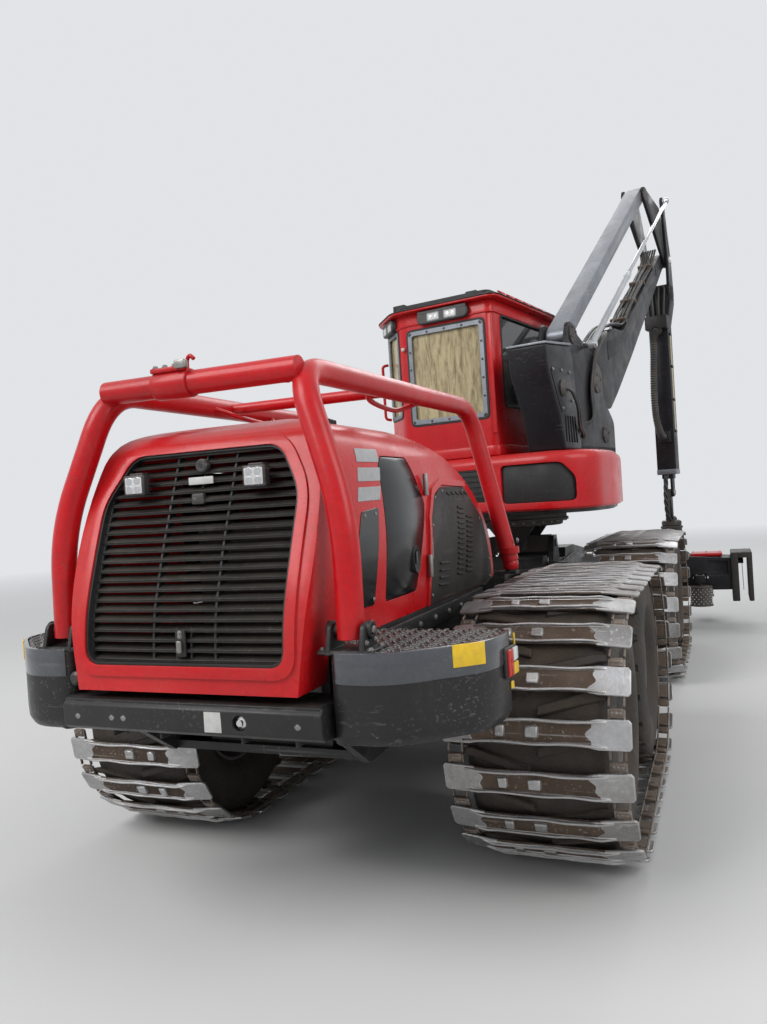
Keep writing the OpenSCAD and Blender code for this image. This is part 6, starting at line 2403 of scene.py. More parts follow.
    def build_roof(self) -> None:
        """Builds the roof: thin black rim, upper plate, hatch, lamp bar and boxes."""
        piece = Piece("cab_roof_panels", "platform", Place.PLATFORM, "panel")
        z = self.high + 0.0003
        outline = [(p.x, p.y) for p in rounded([(x, y, 0) for x, y in inset(self.plan, -0.094)], 0.12, 5)]
        inner = [(p.x, p.y) for p in rounded([(x, y, 0) for x, y in inset(self.plan, -0.06)], 0.12, 5)]
        low = [(p.x, p.y) for p in rounded([(x, y, 0) for x, y in inset(self.plan, 0.02)], 0.10, 5)]
        fascia = Bench.plan("fascia", inset(outline, 0.008), z, z + 0.020, 0.006, 2)
        rim = Bench.plan("rim", outline, z + 0.019, z + 0.030, 0.004, 2)
        step = Bench.plan("step", inner, z + 0.026, z + 0.045, 0.008, 2)
        top = Bench.plan("top", low, z + 0.044, z + 0.0995, 0.022, 3)
        hatch = Bench.block("hatch", (-0.56, -0.50, z + 0.095), (-0.14, -0.08, z + 0.150), 0.022, 3)
        bar = [Bench.sweep("bar",
                           smooth_path([(x, -0.49, z + 0.15), (x, -0.47, z + 0.185), (x, -0.40, z + 0.196),
                                        (x, -0.18, z + 0.196),
                                        (x, -0.11, z + 0.185), (x, -0.09, z + 0.15)], 5), 0.010, 3)
               for x in (-0.52, -0.18)]
        rail = Bench.rod("rail", (-0.52, -0.30, z + 0.19), (-0.18, -0.30, z + 0.19), 0.008)
        boxes = [Bench.block("box", (-0.90, -0.86, z + 0.095), (-0.76, -0.70, z + 0.19), 0.012, 3),
                 Bench.block("box", (0.02, -1.02, z + 0.095), (0.14, -0.92, z + 0.14), 0.012, 3)]
        piece.add(Paint.RED, fascia)
        piece.add(Paint.PLASTIC, rim, step, top, hatch, *bar, rail, *boxes)
        dome = Bench.turned("dome",
                            [(0.0, 0.05), (0.02, 0.048), (0.038, 0.034), (0.045, 0.012), (0.045, 0.0),
                             (0.0, 0.0)], (-0.05, -0.80, z + 0.0985), (0, 0, 1), 24)
        piece.add(Paint.SILVER, dome)
        guard = [Bench.block("rib", (0.330, -0.95 + 0.20 * k, z + 0.042),
                             (0.372, -0.83 + 0.20 * k, z + 0.085), 0.010, 2) for k in range(7)]
        side = Bench.block("rail", (0.345, -1.0, z + 0.080), (0.360, 0.48, z + 0.096), 0.006, 2)
        piece.add(Paint.RED_GUARD, *guard, side)
        piece.close("cab_roof")

    def lamp_unit(self, wall: int, x0: float, x1: float, cells: int) -> list[tuple[Paint, bpy.types.Object]]:
        """Models a row of lamps in a rounded housing on a wall.

        Args:
            wall: Number of the wall.
            x0: Start of the housing along it.
            x1: End of the housing.
            cells: Number of lamps.

        Returns:
            Each part with its finish.
        """
        z0, z1 = 3.622, 3.748
        case = self.panel("case", x0, x1, z0, z1, -0.058, -0.0005, 0.055, 0.010)
        brow = self.panel("brow", x0 + 0.012, x1 - 0.012, z1 - 0.03, z1, -0.0602, -0.03, 0.012, 0.004)
        span = 0.155
        first = (x0 + x1 - cells * span - (cells - 1) * 0.03) / 2
        made = [(Paint.LAMP_CASE, case), (Paint.LAMP_CASE, brow)]
        for k in range(cells):
            a = first + (span + 0.03) * k
            made.append((Paint.SILVER,
                         self.frame(a + 0.008, a + span - 0.008, z0 + 0.018, z1 - 0.024, 0.010, -0.0600,
                                    -0.045, 0.018)))
            made.append((Paint.LENS,
                         self.panel("lens", a + 0.018, a + span - 0.018, z0 + 0.028, z1 - 0.034, -0.0595,
                                    -0.05, 0.012)))
            for c in (-0.25, 0.25):
                cell = Bench.turned("cell", [(0.0, 0.0), (0.016, 0.0), (0.020, 0.005), (0.0, 0.009)],
                                    (a + span * (0.5 + c * 0.7), -0.0600, (z0 + z1) / 2 - 0.003), (0, 1, 0),
                                    14)
                made.append((Paint.CHROME, cell))
        for _, part in made:
            part.data.transform(self.on_wall(wall))
        return made

    def build(self) -> None:
        """Builds the whole cab."""
        self.build_walls()
        self.build_panes()
        self.build_inside()
        self.build_seat()
        self.build_door()
        self.build_roof()
        lamps = Piece("cab_work_lamps", "platform", Place.PLATFORM, "lamp")
        for wall, x0, x1, cells in ((6, 0.23, 0.78, 2), (5, 0.055, 0.42, 2)):
            for paint, part in self.lamp_unit(wall, x0, x1, cells):
                lamps.add(paint, part)
        lamps.close("cab_lamps")


@dataclass
class Platform:
    """The turning platform: red rounded skirt with dark recessed panels over a black base ring.

    Attributes:
        radius: Radius of the plan's circle.
        x: Its sides.
        y: Its rear and front ends.
        base: Underside.
        low: Underside of the red cover.
        high: Its top.
    """

    radius: float = 1.5
    x: tuple = (-1.12, 1.18)
    y: tuple = (-1.21, 1.16)
    base: float = 1.72
    low: float = 1.77
    high: float = 2.29

    def outline(self, depth: float = 0.0) -> list[tuple[float, float]]:
        """Gives the plan with rounded corners, moved inwards by a depth.

        Args:
            depth: How far inwards.

        Returns:
            The points of the plan.
        """
        corners = []
        for sx, sy in ((self.x[1], self.y[0]), (self.x[1], self.y[1]), (self.x[0], self.y[1]),
                       (self.x[0], self.y[0])):
            r = self.radius
            ix = math.copysign(math.sqrt(r * r - sy * sy), sx)
            iy = math.copysign(math.sqrt(r * r - sx * sx), sy)
            start = math.atan2(sy, ix)
            end = math.atan2(iy, sx)
            if sx * sy > 0:
                start, end = end, start
            if end < start:
                end += math.tau
            corners += [(r * math.cos(angle), r * math.sin(angle)) for angle in (start, end)]
        trimmed = [(self.x[1], -0.30), (0.96, 0.60), (0.70, 1.16)]
        corners = [p for p in corners if p[0] < 0.7 or p[1] < 0.0] + trimmed
        corners.sort(key=lambda p: math.atan2(p[1], p[0]))
        return inset([(p.x, p.y) for p in rounded([(x, y, 0) for x, y in corners], 0.17, 6)], depth)

    def build(self) -> None:
        """Builds the platform."""
        piece = Piece("platform_skirt", "platform", Place.PLATFORM, "paint_red")
        cover = Bench.plan("cover", self.outline(), self.low, self.high, 0.0)
        top = cover.vertex_groups.new(name="top")
        top.add([v.index for v in cover.data.vertices if v.co.z > self.high - 0.001], 1.0, "REPLACE")
        Bench.modify(cover, "BEVEL", width=0.085, segments=7, limit_method="VGROUP", vertex_group="top")
        cut = Bench.block("cut", (-0.14, self.y[0] - 0.1, 1.845), (0.30, self.y[0] + 0.030, 2.175), 0.0)
        Bench.boolean(cover, Bench.bevel(cut, 0.05, 4, 80.0))
        corners = [(0.36, 1.83), (1.03, 1.83), (1.03, 2.05), (0.93, 2.185), (0.36, 2.185)]
        shape = [(p.x, p.y) for p in rounded([(x, z, 0) for x, z in corners], 0.05, 5)]
        Bench.boolean(cover, Bench.rear("cut", shape, self.y[0] - 0.2, self.y[0] + 0.35, 0.0))
        core = Bench.plan("core", self.outline(0.028), 1.80, 2.20, 0.0)
        keep = Bench.rear("keep", inset(shape, 0.004), self.y[0] - 0.2, self.y[0] + 0.34, 0.0)
        inset_panel = Bench.boolean(core, keep, "INTERSECT")
        Bench.bevel(cover, 0.030, 4, 40.0)
        piece.add(Paint.RED, cover)
        panel = Bench.block("panel", (-0.13, self.y[0] + 0.012, 1.85), (0.29, self.y[0] + 0.029, 2.165),
                            0.004)
        piece.add(Paint.PLASTIC, panel, Bench.bevel(inset_panel, 0.003, 2, 50.0))
        slots = [Bench.block("slot", (-0.09, self.y[0] + 0.006, 1.90 + 0.05 * k),
                             (0.25, self.y[0] + 0.014, 1.922 + 0.05 * k), 0.003, 1)
                 for k in range(6)]
        piece.add(Paint.PLASTIC, Bench.join("slots", slots))
        piece.add(Paint.BLACK, Bench.plan("base", self.outline(0.06), self.base, self.base + 0.06, 0.008, 2))
        piece.add(Paint.RED,
                  Bench.plan("strip", self.outline(0.022), self.low - 0.016, self.low + 0.004, 0.006, 2))
        bolts = []
        for k in range(12):
            a = math.tau * k / 12
            bolts.append((1.02 * math.cos(a), 1.02 * math.sin(a), self.high))
        piece.add(Paint.BOLT, Bench.bolts(bolts, (0, 0, 1), 0.012, 0.0002))
        piece.close("platform")


@dataclass
class Turntable:
    """Rolling base of the slewing ring: two eared plates, a drum and the bolted ring.

    Attributes:
        level: Height of the levelling pins.
        ring: Radius of the slewing ring.
        under: Top of the ring.
        ear_y: Middle of an ear's plate, from the ring's middle.
    """

    level: float = 1.38
    ring: float = 0.5195
    under: float = 1.7195
    ear_y: float = 0.362

    def build(self) -> None:
        """Builds the base of the slewing ring."""
        piece = Piece("slew_ring_base", "base", Place.VEHICLE, "paint_black")
        for s in (-1, 1):
            y = SLEW_Y + s * self.ear_y
            shape = ((-0.06, 1.302), (0.06, 1.302), (0.092, 1.335), (0.105, 1.40), (0.255, 1.60),
                     (-0.255, 1.60), (-0.105, 1.40), (-0.092, 1.335))
            ear = Bench.rear("ear", shape, y - 0.0248, y + 0.0248, 0.0)
            Bench.boolean(ear,
                          Bench.rod("cut", (0, y - 0.1, self.level), (0, y + 0.1, self.level), 0.0402, 0.0,
                                    28))
            piece.add(Paint.BLACK, Bench.bevel(ear, 0.006, 2, 40.0))
            for x in (-0.15, 0.15):
                rib = Bench.side("rib", ((y - s * 0.02, 1.47), (y - s * 0.02, 1.60), (y - s * 0.16, 1.60)),
                                 x - 0.006, x + 0.006, 0.002)
                piece.add(Paint.BLACK, rib)
        middle = (0, SLEW_Y, 0)
        drum = Bench.turned("drum",
                            [(0.0, 1.572), (0.44, 1.572), (0.459, 1.582), (0.459, 1.622), (0.0, 1.622)],
                            middle, (0, 0, 1), 48)
        r = self.ring
        ring = Bench.turned("ring",
                            [(0.30, 1.6205), (r - 0.004, 1.6205), (r, 1.6245), (r, 1.648), (r - 0.018, 1.653),
                             (r - 0.018, 1.690),
                             (r, 1.695), (r, self.under), (0.30, self.under)], middle, (0, 0, 1), 64)
        piece.add(Paint.CAST, drum, ring)
        places = [((r - 0.028) * math.cos(a), SLEW_Y + (r - 0.028) * math.sin(a), 1.6205)
                  for a in (math.tau * k / 30 for k in range(30))]
        piece.add(Paint.BOLT, Bench.bolts(places, (0, 0, -1), 0.012, 0.012))
        piece.close("slew_base")


@dataclass
class Crane:
    """Parallel crane: pillar, boom, link, rocker, cylinders, stick and extension, with their hoses.

    Attributes:
        boom_pin: The boom's pin (forward, height).
        boom_tip: The boom's outer pin.
        link_pin: The link's lower pin.
        link_tip: The link's upper pin.
        lift_foot: Foot of the lifting cylinder.
        lift_eye: Its eye.
        fold_foot: Foot of the folding cylinders.
        fold_eye: Their eye.
        fold_x: Their distance to each side.
        lug_in: Inner face of the rocker's and pillar's plates.
        lug_out: Outer face of these.
        stick_in: Inner face of the stick's lugs.
        stick_out: Outer face of these.
        stick_y: The stick's middle line.
    """

    boom_pin: Point = (0.05, 3.0)
    boom_tip: Point = (3.4, 4.96)
    link_pin: Point = (-0.62, 3.4)
    link_tip: Point = (2.47, 5.6)
    lift_foot: Point = (0.23, 2.47)
    lift_eye: Point = (1.5, 3.56)
    fold_foot: Point = (-0.3, 3.33)
    fold_eye: Point = (3.216, 5.697)
    fold_x: float = 0.225
    lug_in: float = 0.105
    lug_out: float = 0.140
    stick_in: float = 0.145
    stick_out: float = 0.180
    stick_y: float = 3.42

    @staticmethod
    def on(point: Point, x: float = 0.0) -> Vector:
        """Gives a point of the crane's plane in space.

        Args:
            point: Forward and up in the plane.
            x: Distance out of the plane.

        Returns:
            The point.
        """
        return Vector((x, point[0], point[1]))

    def boss(self, point: Point, x: float, side: int, radius: float,
             nut: float = 0.0) -> list[bpy.types.Object]:
        """Models a turned boss with its pin's end on a plate's outer face.

        Args:
            point: The pin's middle.
            x: The plate's outer face.
            side: 1 for the right side, -1 for the left one.
            radius: Outer radius.
            nut: Radius of a hexagon on it, or 0.

        Returns:
            The boss and its pin's end.
        """
        ring = Bench.turned("boss",
                            [(radius * 0.55, 0.0), (radius, 0.0), (radius, 0.008), (radius - 0.005, 0.014),
                             (radius * 0.6, 0.014)], self.on(point, side * x), (side, 0, 0), 32)
        end = Bench.turned("end",
                           [(0.0, 0.0), (radius * 0.58, 0.0), (radius * 0.58, 0.010), (radius * 0.5, 0.015),
                            (0.012, 0.015),
                            (0.008, 0.011), (0.0, 0.011)], self.on(point, side * x), (side, 0, 0), 32)
        made = [ring, end]
        if nut:
            places = [self.on((point[0] + radius * 0.78 * math.cos(a),
                               point[1] + radius * 0.78 * math.sin(a)), side * (x + 0.014))
                      for a in (0.4, 1.97, 3.54, 5.11)]
            made.append(Bench.bolts(places, (side, 0, 0), nut, nut * 0.7))
        return made

    def build_pillar(self) -> None:
        """Builds the pillar: its box with folded plates, side plates, bosses and hoses."""
        piece = Piece("crane_pillar_plates", "platform", Place.CRANE, "paint_black")
        box = Bench.side("box",
                         ((-1.08, 2.2903), (-0.64, 2.2903), (-0.76, 3.15), (-0.80, 3.26), (-1.45, 3.20),
                          (-1.40, 2.95),
                          (-1.18, 2.60)), -0.18, 0.18, 0.022, 4)
        side = [(-0.70, 2.2903), (0.56, 2.2903), (0.56, 2.62), (0.23, 2.86), (0.23, 3.13), (0.0, 3.26),
                (-0.48, 3.42), (-0.52, 3.50), (-0.72, 3.52), (-0.84, 3.25), (-0.84, 2.50)]
        flat = [(p.x, p.y) for p in rounded([(a, b, 0) for a, b in side], 0.07, 4)]
        plates = [Bench.side("plate", flat, s * self.lug_in, s * self.lug_out, 0.006) for s in (-1, 1)]
        base = Bench.block("base", (-self.lug_out, -0.70, 2.2903), (self.lug_out, 0.56, 2.35), 0.006)
        piece.add(Paint.CRANE, box, *plates, base)
        lid = Bench.side("lid", ((-1.448, 3.202), (-0.80, 3.262), (-0.802, 3.282), (-1.449, 3.222)), -0.186,
                         0.186, 0.004)
        piece.add(Paint.SILVER, lid)
        panel = Bench.side("panel", ((-1.36, 2.98), (-0.86, 3.02), (-0.82, 2.70), (-1.14, 2.62)), 0.18, 0.186,
                           0.004)
        ribs = [Bench.side("rib",
                           ((-1.05 + 0.07 * k, 2.36), (-1.03 + 0.07 * k, 2.36), (-1.03 + 0.06 * k, 2.60),
                            (-1.05 + 0.06 * k, 2.60)), 0.18, 0.188, 0.002) for k in range(5)]
        piece.add(Paint.CRANE, panel, *ribs)
        for s in (-1, 1):
            for point, radius in ((self.boom_pin, 0.11), (self.link_pin, 0.09), (self.lift_foot, 0.085)):
                piece.add(Paint.CAST, *self.boss(point, self.lug_out, s, radius, 0.012))
            piece.add(Paint.CHROME,
                      Bench.rod("stub", self.on(self.fold_foot, s * self.lug_in),
                                self.on(self.fold_foot, s * 0.274), 0.0298, 0.004, 24))
        boss = Bench.turned("boss",
                            [(0.0, 0.0), (0.075, 0.0), (0.078, 0.012), (0.06, 0.03), (0.03, 0.034),
                             (0.0, 0.034)], (0.186, -1.10, 2.84), (1, 0, 0), 28)
        piece.add(Paint.CAST, boss)
        places = [(0.188, a, b) for a,
                  b in ((-1.32, 2.99), (-1.1, 3.0), (-0.9, 3.0), (-0.86, 2.74), (-1.12, 2.66))]
        piece.add(Paint.BOLT, Bench.bolts(places, (1, 0, 0), 0.012, 0.010))
        for k in range(2):
            path = smooth_path([(0.20, -1.10 + 0.02 * k, 2.84), (0.26, -1.06 + 0.03 * k, 2.80),
                                (0.27, -0.96 + 0.04 * k, 2.66), (0.22, -0.80 + 0.05 * k, 2.52),
                                (0.18, -0.60 + 0.05 * k, 2.45), (0.13, -0.45, 2.42)], 6)
            piece.add(Paint.HOSE, Bench.sweep("hose", path, 0.013, 3))
        piece.close("crane_pillar")

    def build_boom(self) -> None:
        """Builds the boom: a box with a slot, stiffening plates, clamps and hoses along it."""
        outline = ((-0.06, 3.12), (0.42, 3.45), (0.88, 3.68), (1.25, 3.70), (3.23, 5.01), (3.42, 5.055),
                   (3.495, 4.97), (3.45, 4.88), (3.33, 4.84), (1.56, 3.45), (0.90, 2.96), (0.60, 2.76),
                   (0.10, 2.845), (-0.09, 2.91), (-0.11, 3.02))
        flat = [(p.x, p.y) for p in rounded([(a, b, 0) for a, b in outline], 0.06, 3)]
        box = Bench.side("box", flat, -0.10, 0.10, 0.0)
        slot = Bench.side("cut",
                          ((0.17, 2.5), (1.9, 2.5), (1.9, 4.03), (1.30, 3.66), (0.25, 2.99), (0.17, 2.90)),
                          -0.075, 0.075, 0.0)
        Bench.boolean(box, slot)
        for point in (self.boom_pin, self.boom_tip):
            Bench.boolean(box, Bench.rod("cut", self.on(point, -0.3), self.on(point, 0.3), 0.0451, 0.0, 32))
        Bench.bevel(box, 0.006, 2, 35.0)
        piece = Piece("boom_box", "boom", Place.CRANE, "paint_black")
        piece.add(Paint.CRANE, box)
        stiff = ((0.62, 3.30), (1.30, 3.52), (1.98, 3.98), (1.90, 4.05), (1.22, 3.64), (0.60, 3.50))
        small = ((2.95, 4.66), (3.26, 4.86), (3.22, 4.94), (2.92, 4.76))
        for s in (-1, 1):
            for shape in (stiff, small):
                piece.add(Paint.CRANE, Bench.side("stiffener", shape, s * 0.10, s * 0.104, 0.0015))
        piece.add(Paint.CHROME,
                  Bench.rod("pin", self.on(self.lift_eye, -0.0995), self.on(self.lift_eye, 0.0995), 0.0449,
                            0.004, 28))
        along = (Vector((3.23, 5.01)) - Vector((1.25, 3.70))).normalized()
        up = Vector((-along.y, along.x))
        clamps, paths = [], []
        for t in (0.25, 0.80, 1.35, 1.90):
            middle = Vector((1.25, 3.70)) + along * t
            bar = Bench.block("clamp", (-0.094, -0.022, 0.0), (0.094, 0.022, 0.062), 0.006)
            turn = Matrix.Rotation(math.atan2(along.y, along.x), 4, "X")
            bar.data.transform(Matrix.Translation((0, middle.x, middle.y)) @ turn)
            clamps.append(bar)
        piece.add(Paint.RUSTY_PLATE, Bench.join("clamps", clamps))
        for k in range(6):
            x = -0.075 + 0.03 * k
            lift = 0.030 + 0.012 * (k % 2)
            line = [Vector((0.30, 3.42)) + up * lift, Vector((0.70, 3.64)) + up * lift,
                    Vector((1.05, 3.735)) + up * lift * 0.6]
            line += [Vector((1.25, 3.70)) + along * t + up * (lift + 0.014 * math.sin(3 * t + k))
                     for t in (0.15, 0.5, 0.8, 1.1, 1.35, 1.6, 1.9)]
            line += [Vector((3.10, 5.02)) + up * 0.03]
            paths.append(Bench.sweep("hose", smooth_path([(x, p.x, p.y) for p in line], 4), 0.0125, 3))
        piece.add(Paint.HOSE, Bench.join("hoses", paths))
        piece.close("boom")

    def build_root_hoses(self) -> None:
        """Builds the loop of hoses from the pillar over the boom's root."""
        hoses = []
        for k in range(6):
            x = 0.156 + 0.008 * (k % 3)
            d = 0.035 * k
            path = smooth_path([(0.12, -0.40, 2.46 + 0.02 * k), (x, -0.20 - d * 0.3, 2.62),
                                (x, -0.16 - d * 0.5, 2.90), (x, -0.02 - d * 0.4, 3.22),
                                (x, 0.18, 3.46 - d * 0.2), (x - 0.02, 0.42, 3.56 - d * 0.15),
                                (0.09, 0.60, 3.60)], 6)
            hoses.append(Bench.sweep("hose", path, 0.013, 3))
        self.lay("boom_root_hoses", hoses, "platform", "boom", (0.16, -0.18, 2.75), (0.16, 0.30, 3.52))

    @staticmethod
    def lay(name: str, hoses: list[bpy.types.Object], first: str, second: str, start: Point,
            end: Point) -> None:
        """Joins hoses into one piece that bends with the joint between two bodies.

        Args:
            name: The piece's name.
            hoses: Its hoses.
            first: Name of the body at its start, only logged.
            second: Name of the body at its end, only logged.
            start: A point in the crane's axes; it is not used.
            end: Another point; it is not used.
        """
        obj = Bench.join(name, hoses)
        Paint.HOSE.dress(obj)
        move = Place.CRANE.matrix()
        obj.data.name = name
        obj.data.transform(move)
        Bench.pick(obj)
        bpy.ops.object.shade_smooth_by_angle(angle=math.radians(50))
        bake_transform(obj)
        LOG.info("%s: blended between %s and %s", name, first, second)

    def build_link(self) -> None:
        """Builds the grey link: a long box with turned eyes and flanges."""
        a, b = Vector(self.link_pin), Vector(self.link_tip)
        d = (b - a).normalized()
        n = Vector((-d.y, d.x))
        shape = [a + n * 0.079, a + d * 0.5 + n * 0.072, b - d * 0.5 + n * 0.080, b + n * 0.089]
        for k in range(1, 8):
            t = math.pi * k / 8
            shape.append(b + n * 0.089 * math.cos(t) + d * 0.089 * math.sin(t))
        shape += [b - n * 0.089, b - d * 0.5 - n * 0.080, a + d * 0.5 - n * 0.072, a - n * 0.079]
        for k in range(1, 8):
            t = math.pi * k / 8
            shape.append(a - n * 0.079 * math.cos(t) - d * 0.079 * math.sin(t))
        box = Bench.side("box", [(p.x, p.y) for p in shape], -0.098, 0.098, 0.0)
        for point in (self.link_pin, self.link_tip):
            Bench.boolean(box, Bench.rod("cut", self.on(point, -0.3), self.on(point, 0.3), 0.0451, 0.0, 32))
        Bench.bevel(box, 0.012, 3, 35.0)
        piece = Piece("link_bar", "link", Place.CRANE, "steel_grey")
        piece.add(Paint.SILVER, box)
        beads = []
        for s in (-1, 1):
            for m in (-0.045, 0.045):
                beads.append(Bench.sweep("bead",
                                         [self.on(a + d * 0.16 + n * m, s * 0.098),
                                          self.on(b - d * 0.18 + n * m * 1.1, s * 0.098)], 0.005, 2))
        piece.add(Paint.SILVER, Bench.join("beads", beads))
        piece.close("link_arm")

    def cylinder(self, a: Point, b: Point, x: float, radius: float, length: float,
                 foot: float) -> bpy.types.Object:
        """Models a cylinder's barrel with its foot, welded ring, gland and port.

        Args:
            a: Its foot (forward, height).
            b: The point that it leads to.
            x: Its distance to the side.
            radius: Radius of the gland.
            length: Length of the barrel from the foot.
            foot: Radius of the foot's bore.

        Returns:
            The barrel.
        """
        start = self.on(a, x)
        way = (self.on(b, x) - start).normalized()
        profile = [(0.0, radius * 0.5), (radius - 0.010, radius * 0.5), (radius - 0.006, radius * 0.7),
                   (radius - 0.006, length - 0.10), (radius - 0.001, length - 0.095),
                   (radius - 0.001, length - 0.008), (radius - 0.006, length), (radius * 0.62, length),
                   (radius * 0.60, length - 0.03), (0.0, length - 0.03)]
        barrel = Bench.turned("barrel", profile, start, way, 32)
        eye = Bench.turned("eye",
                           [(foot, -radius * 0.95), (radius - 0.006, -radius * 0.95),
                            (radius, -radius * 0.88),
                            (radius, radius * 0.88), (radius - 0.006, radius * 0.95),
                            (foot, radius * 0.95)], start, (1, 0, 0), 32)
        up = Vector((0, -way.z, way.y))
        pipe = Bench.sweep("pipe",
                           smooth_path([start + way * 0.14 + up * (radius - 0.012),
                                        start + way * 0.16 + up * (radius - 0.002),
                                        start + way * (length - 0.16) + up * (radius - 0.002),
                                        start + way * (length - 0.13) + up * (radius - 0.012)], 5),
                           0.007, 3)
        return Bench.join("cylinder", [barrel, eye, pipe])

    def rod(self, a: Point, b: Point, x: float, radius: float, start: float, eye: float,
            wide: float) -> list[bpy.types.Object]:
        """Models a piston rod with its eye.

        Args:
            a: The barrel's pin.
            b: The rod's pin.
            x: Distance out of the plane.
            radius: Radius of the rod.
            start: Where it starts, from a.
            eye: Radius of the eye.
            wide: Width of the eye.

        Returns:
            The rod and its eye.
        """
        foot, end = self.on(a, x), self.on(b, x)
        way = (end - foot).normalized()
        rod = Bench.rod("rod", foot + way * start, end - way * eye * 0.6, radius, 0.002, 32)
        ring = Bench.turned("eye",
                            [(eye * 0.6, -wide / 2), (eye - 0.004, -wide / 2), (eye, -wide / 2 + 0.004),
                             (eye, wide / 2 - 0.004),
                             (eye - 0.004, wide / 2), (eye * 0.6, wide / 2)], end, (1, 0, 0), 32)
        return [rod, ring]

    def build_cylinders(self) -> None:
        """Builds the lifting cylinder and the two folding cylinders."""
        for name, node, slot, paint, part in (
                ("lift_barrel_turned", "lift_barrels", "paint_black", Paint.CRANE,
                 [self.cylinder(self.lift_foot, self.lift_eye, 0.0, 0.066, 1.02, 0.0452)]),
                ("fold_barrels_turned", "fold_barrels", "bright_steel", Paint.CYLINDER,
                 [self.cylinder(self.fold_foot, self.fold_eye, s * self.fold_x, 0.038, 1.75, 0.0302)
                  for s in (-1, 1)]),
                ("lift_rod_bright", "lift_rods", "bright_steel", Paint.CHROME,
                 self.rod(self.lift_foot, self.lift_eye, 0.0, 0.0398, 0.52, 0.072, 0.076)),
                ("fold_rods_bright", "fold_rods", "bright_steel", Paint.CHROME,
                 [p for s in (-1, 1)
                  for p in self.rod(self.fold_foot, self.fold_eye, s * self.fold_x, 0.0218, 1.25, 0.040, 0.050)])):
            body = {"lift_barrels": "lift_barrel", "fold_barrels": "fold_barrel", "lift_rods": "lift_rod",
                    "fold_rods": "fold_rod"}[node]
            piece = Piece(name, body, Place.CRANE, slot)
            piece.add(paint, *part)
            piece.close(node)

    def build_rocker(self) -> None:
        """Builds the rocker: two dark plates with bosses and a cross tube."""
        piece = Piece("rocker_plates", "rocker", Place.CRANE, "paint_black")
        tip, end = Vector(self.link_tip), Vector(self.boom_tip)
        d = (end - tip).normalized()
        n = Vector((-d.y, d.x))
        shape = [tip - n * 0.094, end - n * 0.099]
        shape += [end - n * 0.099 * math.cos(math.pi * k / 8) + d * 0.099 * math.sin(math.pi * k / 8)
                  for k in range(1, 8)]
        shape += [end + n * 0.099, (3.48, 5.0), (3.15, 5.60), (2.43, 5.68), tip + n * 0.03 - d * 0.09,
                  tip - n * 0.03 - d * 0.09]
        for s in (-1, 1):
            plate = Bench.side("plate", [(p[0], p[1]) for p in shape], s * self.lug_in, s * self.lug_out, 0.0)
            Bench.bevel(plate, 0.006, 2, 35.0)
            piece.add(Paint.CRANE, plate)
            piece.add(Paint.CAST, *self.boss(self.link_tip, self.lug_out - 0.010, s, 0.085, 0.0))
        piece.add(Paint.CHROME,
                  Bench.rod("pin", self.on(self.boom_tip, -0.1895), self.on(self.boom_tip, 0.1895), 0.0448,
                            0.006, 28))
        piece.close("rocker")

    def build_stick(self) -> None:
        """Builds the stick: lugs, tapered box, hose box with collars, and webbing."""
        y = self.stick_y
        piece = Piece("stick_box", "stick", Place.CRANE, "paint_black")
        side = Bench.side("form", ((y - 0.115, 4.62), (y + 0.115, 4.62), (y + 0.10, 2.05), (y - 0.10, 2.05)),
                          -0.18, 0.18, 0.0)
        rear = Bench.rear("form",
                          ((-0.18, 4.62), (0.18, 4.62), (0.18, 4.38), (0.125, 4.08), (0.125, 2.05),
                           (-0.125, 2.05),
                           (-0.125, 4.08), (-0.18, 4.38)), y - 0.5, y + 0.5, 0.0)
        box = Bench.boolean(side, rear, "INTERSECT")
        Bench.boolean(box, Bench.block("cut", (-0.0753, y - 0.0753, 2.0), (0.0753, y + 0.0753, 4.49), 0.0))
        Bench.bevel(box, 0.010, 3, 35.0)
        piece.add(Paint.CRANE, box)
        tip, eye = Vector(self.boom_tip), Vector(self.fold_eye)
        for s in (-1, 1):
            lower = [(tip.x - 0.11, tip.y), (tip.x - 0.09, tip.y - 0.06), (y - 0.13, 4.50), (y - 0.09, 4.40),
                     (y + 0.09, 4.40), (y + 0.13, 4.50), (tip.x + 0.10, tip.y - 0.05), (tip.x + 0.11, tip.y),
                     (tip.x + 0.07, tip.y + 0.08), (eye.x + 0.058, eye.y + 0.01),
                     (eye.x + 0.035, eye.y + 0.048), (eye.x - 0.02, eye.y + 0.056),
                     (eye.x - 0.058, eye.y + 0.01), (eye.x - 0.052, eye.y - 0.03),
                     (tip.x - 0.10, tip.y + 0.04)]
            plate = Bench.side("lug", lower, s * self.stick_in, s * self.stick_out, 0.0)
            Bench.boolean(plate,
                          Bench.rod("cut", self.on(self.boom_tip, -0.3), self.on(self.boom_tip, 0.3), 0.0451,
                                    0.0, 32))
            Bench.bevel(plate, 0.005, 2, 35.0)
            piece.add(Paint.CRANE, plate)
            piece.add(Paint.CHROME,
                      Bench.rod("stub", self.on(self.fold_eye, s * self.stick_in),
                                self.on(self.fold_eye, s * 0.195), 0.0298, 0.003, 24))
        hose_box = Bench.block("hose_box", (-0.145, y - 0.235, 4.02), (0.145, y - 0.09, 4.20), 0.012, 3)
        collar = Bench.turned("collar",
                              [(0.052, -0.05), (0.066, -0.05), (0.070, -0.04), (0.070, 0.04), (0.066, 0.05),
                               (0.052, 0.05)], (0, 3.20, 3.998), (0, 1, 0.08), 24)
        lower = Bench.turned("collar", [(0.052, -0.03), (0.064, -0.03), (0.066, 0.03), (0.052, 0.03)],
                             (0, 3.27, 2.566), (0, 1, 0), 24)
        saddle = Bench.block("saddle", (-0.085, 3.285, 2.49), (0.085, 3.335, 2.645), 0.012, 3)
        piece.add(Paint.PLASTIC, hose_box, collar, lower, saddle)
